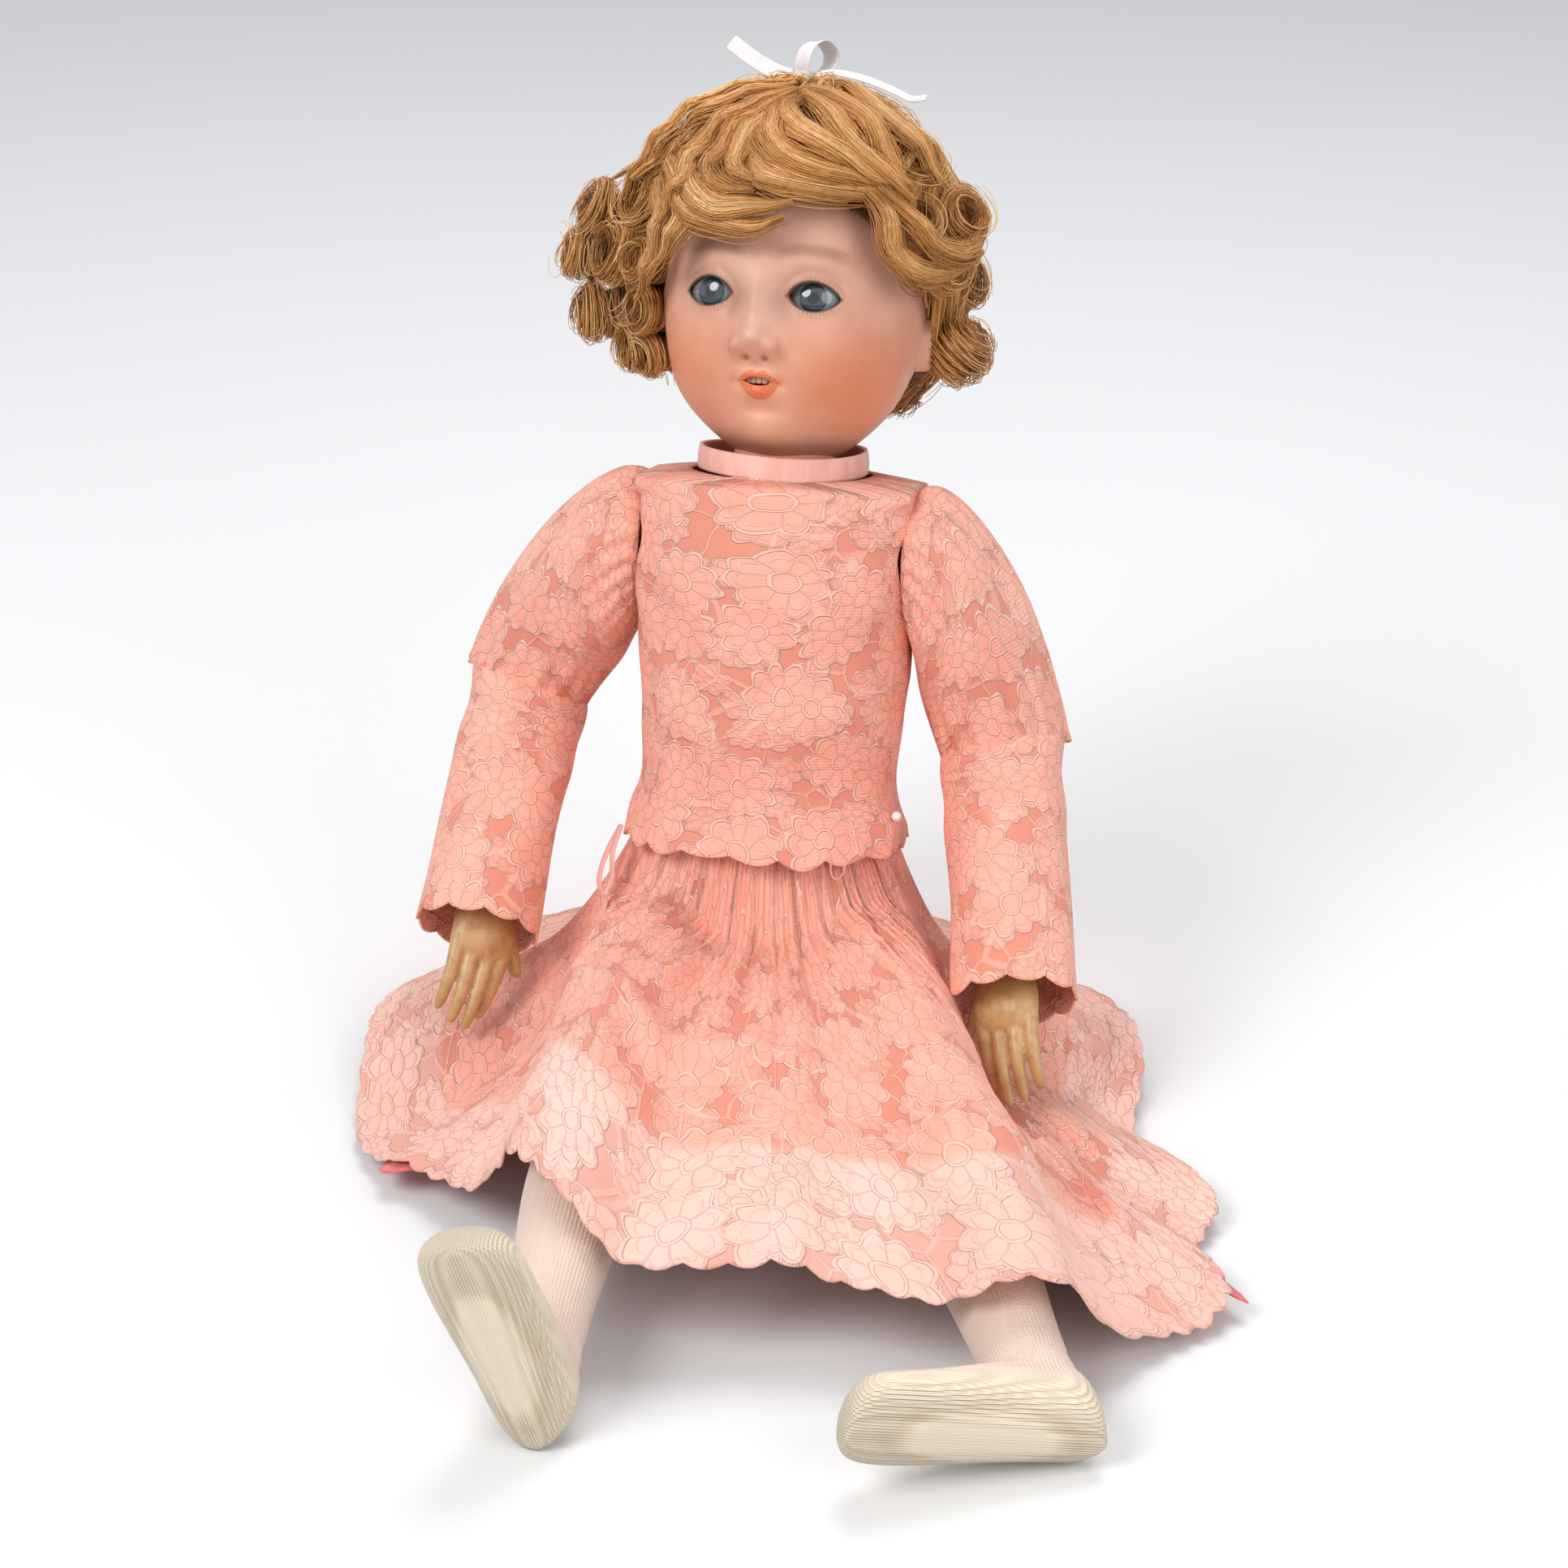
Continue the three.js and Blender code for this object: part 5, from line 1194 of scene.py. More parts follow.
    def teeth(self, material: Material) -> Piece:
        """A row of small upper teeth behind the lip."""
        parts = []
        for x, width in ((-3.6, 1.6), (-1.95, 1.75), (-0.1, 1.9), (1.8, 1.9), (3.6, 1.7)):
            bm = bmesh.new()
            bmesh.ops.create_cube(bm, size=1)
            bmesh.ops.bevel(bm, geom=bm.edges[:], offset=0.28, segments=3, profile=0.5, affect="EDGES", material=-1)
            bmesh.ops.scale(bm, vec=Vector((width, self.tooth_depth, self.tooth_height)) * MM, verts=bm.verts)
            depth = self.front(self.mouth_height) + 1.2 + 0.08 * x * x
            parts.append(placed(bm, BONES.head @ shift(x + 0.2, depth, self.mouth_height + 1.2)))
        return finished("upper_teeth_row", merged(*parts), material)

    def mouth_shade(self, material: Material) -> Piece:
        """A dark sheet behind the lips, seen between them: painted shade that stands for the mouth's hollow."""

        def place(u: Array, v: Array) -> Array:
            angle, out = u * math.tau, np.sin(v * math.pi / 2)
            x = 6.2 * out * np.cos(angle)
            z = self.mouth_height + 3.4 * out * np.sin(angle)
            y = self.front(self.mouth_height) + 2.6 + 5.0 * (1 - out**2) + 0.03 * x * x
            return moved(BONES.head, stack(x, y, z))

        return finished("mouth_shade_sheet", sheet_mesh(32, 10, place, (20, 8)), material)

    def build(self) -> None:
        """Makes the head's pieces and sets them on their bodies."""
        bisque = Bisque("tinted_bisque", BONES.head, self.eye_spacing, self.eye_height, self.mouth_height)
        skin_material = bisque.material()
        shell = finished("bisque_head", self.skin(), skin_material)
        openings = [self.almond(s.value * self.eye_spacing, self.eye_height, *self.eye_opening) for s in Side]
        openings.append(self.almond(0.3, self.mouth_height + 0.5, *self.mouth_opening))
        cut(shell, *openings, *[self.seat(s) for s in Side])
        extras = finished("bisque_ears_and_neck", merged(*[self.ear(s) for s in Side], self.neck()), skin_material)
        thicken(extras, 1.2)
        attach(shell, "head", "bisque", "head_shell")
        attach(extras, "head", "bisque")
        glass = EyeGlass().material()
        for side in Side:
            attach(self.eye(side, glass), "eyes", "eye_glass", f"glass_eye_{side.word}")
        teeth = self.teeth(PlainFinish("tooth_glaze", "ecd8c6", "d9bfab", Grain.MATTE, 0.35).material())
        attach(teeth, "head", "teeth", "upper_teeth")
        # a near-black sheet behind the lips as painted shade in the mouth
        lining = self.mouth_shade(PlainFinish("mouth_painted_shade", "2a120c", "120605", Grain.MATTE, 0.8).material())
        attach(lining, "head", "bisque")


# Wig


@dataclass(frozen=True)
class Curl:
    """One loose curl: its place in the head's frame, its size, the way it winds and where its hollow faces."""

    at: tuple[float, float, float]
    radius: float
    wind: int = 1
    faces: tuple[float, float, float] = (0, 0, 0)
    long: float = 0.42

    @property
    def round(self) -> bool:
        """Whether it is a closed ringlet, as long as it is wide."""
        return self.long > 0.9


@dataclass(frozen=True)
class Lock:
    """One combed lock: the places it runs through in the head's frame, half its width and its strands."""

    line: tuple[tuple[float, float, float], ...]
    wide: float = 5.0
    count: int = 170


@dataclass
class Tress:
    """Strands with their tones, gathered for one piece."""

    paths: list[Array] = field(default_factory=list)
    tones: list[float] = field(default_factory=list)

    def add(self, path: Array, tone: float) -> None:
        """Takes one more strand, its points in the head's frame."""
        self.paths.append(path)
        self.tones.append(tone)

    def half(self, first: int) -> "Tress":
        """Every second strand, from the first or the second on."""
        return Tress(self.paths[first::2], self.tones[first::2])


FRINGE: tuple[Lock, ...] = (
    Lock(((-1, -19, 133), (-15, -13, 132.5), (-28, -17, 128.5), (-38, -21, 121), (-46, -23, 111), (-51, -24, 101),
          (-55, -24, 92)), 8.0, 260),
    Lock(((0, -25, 131), (-13, -29, 128), (-27, -27, 123), (-39, -19, 114), (-43, -29, 105), (-48, -33, 97)), 6, 210),
    Lock(((2, -27, 130), (-8, -38, 124), (-17, -43, 118), (-25, -42, 109), (-26, -51, 99), (-30, -52, 92),
          (-32, -53, 82)), 5.6, 210),
    Lock(((2, -30, 128.6), (-4, -41, 122), (-10, -48, 116), (-15, -51, 107), (-17, -52, 100), (-10, -57, 95),
          (-1, -57, 94.6)), 5.4, 220),
    Lock(((2, -32, 127), (-4, -43, 120), (-6, -50, 114), (-9, -54, 106), (-7, -55, 100), (0, -55, 97)), 4.6, 170),
    Lock(((-24, -45, 108), (-26, -50, 99), (-21, -55, 92), (-12, -58.5, 88), (-1, -58.5, 89), (11, -55, 92)),
         4.4, 170),
    Lock(((-26, -49, 100), (-27, -52, 92), (-21, -56, 86), (-9, -58.5, 84), (1, -58, 83), (9, -56, 86)), 3.9, 150),
    Lock(((-19, -46, 110), (-26, -48, 104), (-28, -50, 97), (-24, -53, 89), (-18, -55.5, 83)), 4.4, 130),
    Lock(((-35, -40, 105), (-29, -50, 94), (-27, -53, 85), (-29, -52, 77), (-34, -48, 70)), 4.6, 150),
    Lock(((-40, -36, 98), (-36, -43, 88), (-37, -43, 78), (-41, -37, 68), (-45, -30, 60)), 4.6, 150),
    Lock(((3, -17, 134), (14, -12, 133.6), (26, -17, 127), (36, -20, 119), (43, -20, 113), (50, -22, 103)), 6.3, 210),
    Lock(((4, -24, 131), (15, -29, 128), (27, -33, 120), (34, -33, 112), (37, -35, 104), (43, -32, 99)), 5.8, 210),
    Lock(((4, -29, 129), (15, -38, 122), (24, -41, 114), (31, -39, 107), (37, -36, 102), (44, -32, 96)), 5.4, 200),
    Lock(((4, -32, 127), (3, -42, 122), (9, -49, 115), (17, -48, 111), (25, -43.5, 107), (32, -40, 102),
          (40, -32, 100)), 5.2, 210),
    Lock(((2, -32, 127), (-1, -44, 120), (0, -51, 113), (7, -53, 107), (16, -50.5, 104), (26, -45, 102),
          (35, -38, 99)), 5.2, 210),
    Lock(((1, -34, 126), (-5, -45, 118), (-6, -51, 111), (-1, -54, 104), (7, -54.5, 100), (17, -51.4, 98.5),
          (29, -43.3, 98.3), (37, -36.3, 98.2)), 5.0, 220),
    Lock(((-4, -53, 107), (-1, -55, 100), (5, -55, 97.5), (12, -53, 96.6), (21, -49, 96.4), (30, -42.5, 97),
          (36, -38, 95)), 3.8, 150),
    Lock(((29, -42, 101), (35, -40, 95), (39, -40, 87), (42, -39, 79), (48, -35, 74), (56, -24, 75), (61, -8, 83)),
         4.2, 160),
    Lock(((34, -40, 100), (41, -37, 94), (47, -36, 88), (53, -31, 82), (60, -19, 82), (61, -5, 91), (57, -4, 100)),
         4.2, 150),
    Lock(((34, -40, 97), (40, -39, 87), (43, -38, 77), (47, -32, 71), (52, -24, 70)), 3.8, 130),
)


CURLS: dict[Side, tuple[Curl, ...]] = {
    Side.RIGHT: (
        Curl((-47, -24, 92), 10.5, -1),
        Curl((-70, -3, 91), 10.0, 1),
        Curl((-60, -14, 75), 10.5, -1),
        Curl((-77, 0, 76), 9.5, 1),
        Curl((-71, 2, 57), 10.5, 1),
        Curl((-52, -14, 61), 9.0, -1),
        Curl((-53, -6, 46), 9.5, 1),
        Curl((-46, 24, 46), 9.5, 1),
        Curl((-58, 16, 64), 10.0, -1),
        Curl((-60, 16, 88), 10.0, 1),
        Curl((-47, -25, 73), 8.0, 1),
        Curl((-46, -20, 57), 8.0, -1),
        Curl((-45, -13, 43), 7.5, 1),
    ),
    Side.LEFT: (
        Curl((41, -16, 109), 9.0, 1),
        Curl((54, -6, 94), 10.0, -1),
        Curl((43, -22, 91), 8.5, 1),
        Curl((50, -9, 78), 9.5, -1),
        Curl((54.5, 6, 52), 11.0, 1, (0.7, -0.25, 0.7), 1.0),
        Curl((29, 26, 40), 9.5, 1, (-0.5, -0.3, 0.8), 1.0),
        Curl((50, 20, 76), 10.0, 1),
        Curl((49, 18, 98), 9.5, -1),
    ),
}


@dataclass
class Wig:
    """Mohair swept from the crown in soft waves to both sides, with curls round the face and nape."""

    head: Head
    cap_lift: float = 5.3
    thickness: float = 11.6
    relief: float = 1.8
    locks: int = 60
    in_lock: int = 54
    strays: int = 170
    strand: float = 0.17
    part: float = 0.14
    edge: tuple[tuple[float, float], ...] = (
        (0.0, 0.97), (0.5, 1.0), (0.8, 1.1), (1.1, 1.32), (1.4, 1.5), (1.7, 1.76), (2.1, 2.1), (3.2, 2.2)
    )

    @staticmethod
    def turned_away(around: Array) -> Array:
        """How far a direction lies from the face's own, in radians."""
        return np.abs((np.asarray(around) + math.pi) % math.tau - math.pi)

    def hairline(self, around: Array) -> Array:
        """How far down from the crown the hair reaches."""
        return np.interp(self.turned_away(around), *np.array(self.edge).T)

    def phase(self, around: Array, t: Array) -> Array:
        """Where a place lies in the waves that run across the hair."""
        return 11.5 * t + 2.0 * np.sin(1.5 * around + 0.8) + 1.1 * np.sin(4.3 * around)

    def outer(self, around: Array, t: Array) -> Array:
        """The height of the hair over the skin."""
        swell = self.thickness * np.sin(math.pi * np.clip(0.3 + 0.62 * t, 0, 0.93))
        return self.cap_lift + swell + self.relief * np.sin(self.phase(around, t)) * ease(t, 0.05, 0.35)

    def low(self, around: Array, t: Array) -> Array:
        """How much lower the hair lies under the combed locks over the forehead."""
        return 5.5 * ease(self.turned_away(around), 1.15, 0.65) * ease(t, 0.3, 0.7)

    def on(self, around: Array, t: Array, lift: Array) -> Array:
        """Points over the head, in its own frame."""
        return self.head.point(around, t * self.hairline(around), lift, True)

    def base(self, material: Material) -> Piece:
        """The body of the hair under the loose strands."""

        def place(u: Array, v: Array) -> Array:
            around = u * math.tau
            inner = ease(v, 0.9, 1.0)
            streak = 0.4 * np.sin(90 * around + 4 * np.sin(5 * v)) + 0.3 * np.sin(151 * around + 3 * v)
            height = self.outer(around, v) - self.low(around, v)
            lift = blend_of(height - 3.0 + streak * ease(v, 0, 0.2), 1.0, inner)
            return moved(BONES.head, self.on(around + 0.04 * np.sin(11 * v), v, lift))

        made = finished("wig_body", sheet_mesh(300, 80, place, (330, 110), around=True), material)
        thicken(made, 1.0)
        return made

    def sweep(self, tress: Tress, dice: random.Random) -> None:
        """Combs locks down from the crown, waving together and parting over the forehead."""
        for k in range(self.locks):
            middle = math.tau * (k + dice.uniform(-0.3, 0.3)) / self.locks - math.pi
            way = 1 if middle > self.part else -1
            shade, slip, end = dice.uniform(0.15, 0.85), dice.uniform(-0.5, 0.5), dice.uniform(0.9, 1.06)
            start = dice.choice((0.03, 0.05, 0.25, 0.4))
            for _ in range(self.in_lock):
                across = dice.gauss(0, 0.6)
                t = np.linspace(start + dice.uniform(0, 0.12), end + dice.uniform(-0.08, 0.05), 11)
                spread = (0.085 * across) * (1 - 0.4 * ease(t, 0.35, 1.0))
                drift = way * 0.2 * ease(t, 0.35, 1.05) * math.exp(-((middle / 1.1) ** 2))
                wave = 0.12 * np.cos(self.phase(middle, t) + slip) * ease(t, 0.1, 0.45)
                around = middle + spread + drift + wave
                hump = 1.7 * math.exp(-(across**2) * 1.6) + dice.uniform(-0.5, 0.5)
                lift = self.outer(around, t) - self.low(around, t) - 2.0 + hump * ease(t, 0.0, 0.25)
                lift = lift - 3.2 * ease(t, 0.94, 1.08)
                # tone: random per lock and strand, plus a painted highlight along the lock's raised middle
                tone = 0.55 * shade + 0.3 * dice.random() + 0.25 * math.exp(-(across**2) * 2) - 0.05
                tress.add(self.on(around, t, lift), tone)

    def comb(self, tress: Tress, dice: random.Random, lock: Lock) -> None:
        """Strands of one lock: flat, fuller in its middle, drawn together towards its tip."""
        rows = stations_of(lock.line)
        shade = dice.uniform(0.3, 0.8)
        middle = np.array((0, self.head.back, self.head.middle))
        for _ in range(lock.count):
            across, deep = dice.gauss(0, 0.5), dice.uniform(-1, 1)
            first, last = dice.uniform(0, 0.22) * dice.random(), 1 - 0.3 * dice.random() ** 2
            t = np.linspace(first, last, 14)
            line = stack(*table(rows, t))
            along, out = (w / np.linalg.norm(w, axis=1)[:, None] for w in (np.gradient(line, axis=0), line - middle))
            side = np.cross(along, out)
            wide = lock.wide * blend_of(0.75, 1.0, ease(t, 0, 0.3)) * (1 - 0.62 * ease(t, 0.6, 1.0))
            edge = across + 0.16 * np.sin(t * 7 + 3 * deep) + 0.1 * dice.uniform(-1, 1) * t
            round_off = 1.5 * (1 - np.minimum(edge**2, 2.2)) * blend_of(0.5, 1, ease(t, 0, 0.3))
            lift = round_off + 0.7 * deep - 0.9
            wisp = dice.random() < 0.05
            stray = (1.6 * np.sin(t * 3.1 + across) * t if wisp else 0.0 * t)[:, None]
            wave = 0.46 * line[:, 2] + 0.13 * line[:, 0]
            lift, edge = lift + 0.9 * (np.sin(wave) * ease(t, 0.05, 0.3)), edge + 0.16 * np.cos(wave)
            path = line + side * (edge * wide)[:, None] + out * lift[:, None] + (out + side * across) * stray
            # tone: random per lock and strand, plus a painted highlight along the lock's raised middle
            tone = 0.4 * shade + 0.4 * dice.random() + 0.28 * math.exp(-(across**2) * 3)
            tress.add(path, tone)

    def facing(self, curl: Curl) -> tuple[Array, Array, Array]:
        """A curl's axis, and the two directions of its ring."""
        out = Vector(curl.at) - Vector((0, self.head.back, self.head.middle))
        axis = out.normalized() + Vector((0, -0.75, 0.1)) if not any(curl.faces) else Vector(curl.faces)
        axis.normalize()
        up = (Vector((0, 0, 1)) - axis * axis.z).normalized()
        return np.array(axis), np.array(up), np.array(axis.cross(up))

    def curl(self, tress: Tress, dice: random.Random, curl: Curl) -> None:
        """Strands that wind round a hollow, and the lock that leads into them from the crown."""
        centre = np.array(curl.at, float)
        axis, up, across = self.facing(curl)
        shade, size = dice.uniform(0.25, 0.75), curl.radius
        t = np.linspace(0, 1, 12)

        def wound(angle: Array, ring: object) -> Array:
            return centre + (np.cos(angle) * ring)[:, None] * up + (np.sin(angle) * ring)[:, None] * across

        for _ in range(int(21 * size)):
            round_it, fill = dice.uniform(0, math.tau), math.sqrt(dice.random())
            ring = size * (0.72 + 0.28 * fill * math.cos(round_it))
            depth = size * curl.long * fill * math.sin(round_it)
            if curl.round:
                depth = size * dice.uniform(-0.95, 0.95)
                ring = math.sqrt(size**2 - depth**2) * (0.86 + 0.14 * math.cos(round_it))
            start, span = dice.uniform(0, math.tau), dice.uniform(1.6, 4.2)
            angle = start + curl.wind * span * t
            grown = ring * (1 + 0.06 * np.sin(2 * angle + 1.3) + 0.05 * dice.uniform(-1, 1))
            grown = grown * blend_of(1.04, 0.9, t)
            shifted = depth + size * (0.22 * (t - 0.5) + 0.09 * np.sin(angle * 1.5 + round_it))
            path = wound(angle, grown) + shifted[:, None] * axis
            # tone: random, plus painted light by place, higher on the curl's outer round and lower in its hollow
            tone = 0.3 * shade + 0.38 * dice.random() + 0.3 * fill * max(math.cos(round_it), -0.4) + 0.05
            tress.add(path, tone)
        for _ in range(int(1.6 * size)):
            start, span = dice.uniform(0, math.tau), dice.uniform(1.5, 4.0)
            angle = start + curl.wind * span * t
            grown = size * dice.uniform(0.5, 1.16) * blend_of(1.0, dice.uniform(0.75, 1.12), t)
            shifted = size * (dice.uniform(-0.2, 0.6) + dice.uniform(-0.4, 0.4) * t)
            tress.add(wound(angle, grown) + shifted[:, None] * axis, dice.uniform(0.6, 1.0))
        self.lead(tress, dice, centre + up * size * 0.85)
        if curl.round:
            return
        t = np.linspace(0, 1, 9)
        for _ in range(int(8 * size)):
            depth, angle = size * dice.uniform(-0.72, 0.2), dice.uniform(0, math.tau) + dice.uniform(1.2, 2.6) * t
            ring = math.sqrt((0.82 * size) ** 2 - depth**2)
            tress.add(wound(angle, ring) + axis * (depth - 0.8 * size), 0.3 + 0.35 * dice.random())

    def lead(self, tress: Tress, dice: random.Random, into: Array) -> None:
        """The lock that runs from the crown into a curl."""
        way = into - np.array((0, self.head.back, self.head.middle))
        around = math.atan2(way[0], -way[1])
        down = math.acos(max(-1.0, min(1.0, way[2] / (self.head.half_height + 16))))
        reach = max(0.35, down - 0.35)
        shares = np.array((0.0, 0.35, 0.7, 1.0))
        over = self.head.point(around * (0.5 + 0.5 * shares), 0.3 + (reach - 0.3) * shares, 14.5, True)
        self.comb(tress, dice, Lock((*map(tuple, over), tuple(into)), 4.6, 56))

    def shade_nest(self, curl: Curl) -> Form:
        """The dark fill behind a curl: painted shade that stands for the deep hair in its hollow."""
        bm = bmesh.new()
        bmesh.ops.create_icosphere(bm, subdivisions=3, radius=curl.radius * 0.78 * MM)
        behind = 0 if curl.round else 0.8 * curl.radius
        middle = Vector(curl.at) - Vector(self.facing(curl)[0]) * behind
        return placed(bm, BONES.head @ Matrix.Translation(middle))

    def flyaways(self, tress: Tress, dice: random.Random) -> None:
        """Single loose hairs that stand off the wig."""
        for _ in range(self.strays):
            around, t0 = dice.uniform(-math.pi, math.pi), dice.uniform(0.05, 0.85)
            t = np.linspace(0, 1, 10)
            path_around = around + dice.uniform(-0.4, 0.4) * t
            share = np.clip(t0 + dice.uniform(-0.05, 0.25) * t, 0, 0.98)
            lift = self.outer(path_around, share) + dice.uniform(0.3, 3.0) * np.sin(t * math.pi * 0.85)
            tress.add(self.on(path_around, share, lift), dice.uniform(0.6, 1.0))

    def build(self) -> None:
        """Makes the wig's pieces and sets them on the head."""
        dice = random.Random(SEED)
        # the hair's body takes a darker copy of the mohair: painted shade between and under the strands
        shaded_body_finish = Mohair("mohair_body_shaded", "a8672e", "7a4820", "3c200c", True).material()
        loose = Mohair("mohair_strands").material()

        def hang(name: str, tress: Tress, *nodes: str) -> None:
            attach(strands(name, tress, self.strand, loose), "head", "mohair", *nodes)

        attach(self.base(shaded_body_finish), "head", "mohair", "wig_crown")
        under, over = Tress(), Tress()
        self.sweep(under, dice)
        for lock in FRINGE:
            self.comb(over, dice, lock)
        self.flyaways(over, dice)
        hang("wig_sweep", under)
        hang("wig_overlay", over.half(0))
        hang("wig_overlay_upper", over.half(1))
        for side, curls in CURLS.items():
            tress = Tress()
            for curl in curls:
                self.curl(tress, dice, curl)
            hang(f"curls_{side.word}", tress.half(0), f"wig_curls_{side.word}")
            hang(f"curls_{side.word}_more", tress.half(1))
            fill = finished(f"curl_fill_{side.word}", merged(*[self.shade_nest(c) for c in curls]), shaded_body_finish)
            attach(fill, "head", "mohair")


def ribbon(
    frame: Matrix,
    points: Sequence[Sequence[float]],
    across: Sequence[float],
    width: float,
    grid: tuple[int, int],
    cup: float = 0.0,
) -> Form:
    """A ribbon's length through places of a frame.

    Args:
        frame: the frame, in millimetres.
        points: the places, in millimetres.
        across: the way the ribbon's width runs.
        width: its width in millimetres.
        grid: its faces across and along; it is about as many millimetres long.
        cup: how far it cups across its width.

    Returns:
        The ribbon.
    """
    rows = stations_of(points)
    way = np.array(across, float) / np.linalg.norm(across)

    def place(u: Array, v: Array) -> Array:
        x, y, z = table(rows, v)
        hollow = cup * np.cos((u - 0.5) * math.pi) * np.sin(v * 9)
        return moved(frame, stack(x, y, z + hollow) + ((u - 0.5) * width)[:, None] * way)

    return sheet_mesh(*grid, place, (width, grid[1]), closed=False)


@dataclass
class Bow:
    """The satin ribbon tied on top of the hair."""

    top: tuple[float, float, float]
    width: float = 6.4

    def build(self) -> None:
        """Makes the bow and sets it on the head."""
        satin = Satin("white_satin", "fbf8f6", "e8e2e2").material()
        knot = BONES.head @ shift(*self.top)
        rise, fall = [(0, -1, 2.4), (-0.4, -2, 7), (1.3, -0.6, 12.8)], [(5.6, 7.4, 6.6), (1, 1, 3.2)]
        loop = [*rise, (4.2, 4, 15), (6.6, 8.4, 11.8), *fall]
        left = [(0, 0, 3.2), (-7, 0, 3.4), (-14, 0, 6.2), (-20, 0, 9.6), (-25.5, 1, 13.2)]
        right = [(0, 0, 3.0), (10, 0, 4.6), (20, 1, 3.4), (30, 2, 0.2), (36, 2, -2.2), (41, 2, -1.6)]
        wrap = [(-3.0, 0.6, 3.6), (-2.0, -2.6, 2.8), (0.5, -3.6, 2.6), (3.0, -2.2, 2.6), (3.4, 1.0, 2.4)]
        stretches = [
            ribbon(knot, points, across, self.width * share, (8, 60), 0.35)
            for points, across, share in (
                (loop, (0.86, -0.5, 0.05), 1.1),
                (left, (0.45, 0.3, 0.8), 0.85),
                (right, (0.2, 0.4, 1), 0.36),
                (wrap, (0.1, 0.3, 1), 0.62),
            )
        ]
        piece = finished("satin_bow", merged(*stretches), satin)
        thicken(piece, 0.35, 0.0)
        attach(piece, "head", "white_satin", "ribbon_bow")


# Limbs


@dataclass
class Hand:
    """A composition hand with curled fingers."""

    side: Side
    length: float = 58
    start: float = 30

    def tube(self, spine: Sequence[Sequence[float]], flat: float = 0.92) -> Form:
        """A closed rounded tube through rows of x, y, z and radius in the wrist's frame."""
        rows = stations_of(spine)

        def place(u: Array, v: Array) -> Array:
            x, y, z, r = table(rows, v)
            close = dome(2 * v - 1, 8)
            angle = u * math.tau
            spot = stack(x + r * close * np.cos(angle), y + flat * r * close * np.sin(angle), z)
            return moved(BONES.arms[self.side]["wrist"], spot)

        return sheet_mesh(18, 26, place, (20, 30), around=True)

    def build(self, material: Material) -> None:
        """Makes the hand and sets it on its body."""
        way = -self.side.value
        palm = [(0, 0.5, 5, 6.5), (0, 0.5, -6, 6.6), (0, 0.4, -13, 8.6), (0, 0.3, -22, 11.4), (0, 0.8, -30, 10.8),
                (0, 1.8, -36, 8.6)]
        ball = [(0, 0, 8, 3), (0, 0, 3, 7.6), (0, 0, -3, 7.8), (0, 0, -8, 6.4)]
        parts = [self.tube(palm, 0.52), self.tube(ball, 1.0)]
        reach = self.length - self.start
        for x, share, curl in ((-8.6, 0.84, 9), (-2.9, 0.97, 8), (2.9, 1.0, 8), (8.2, 0.8, 10)):
            long = reach * share
            spine = [
                (way * x * (1 - 0.1 * t), 0.6 + curl * t * t, -self.start - long * t, 2.75 * (1 - 0.3 * t))
                for t in (-0.25, 0, 0.25, 0.5, 0.75, 1.0)
            ]
            parts.append(self.tube(spine))
        thumb = [(way * (4.5 + 11.5 * t), 2 + 2.2 * t, -12 - 24 * t, 3.9 - 1.5 * t) for t in (0, 0.3, 0.6, 0.85, 1.0)]
        parts.append(self.tube(thumb))
        piece = finished(f"composition_hand_{self.side.word}", merged(*parts), material)
        fuse(piece, 0.55, 5)
        attach(piece, f"hand_{self.side.word}", "composition", f"hand_{self.side.word}")


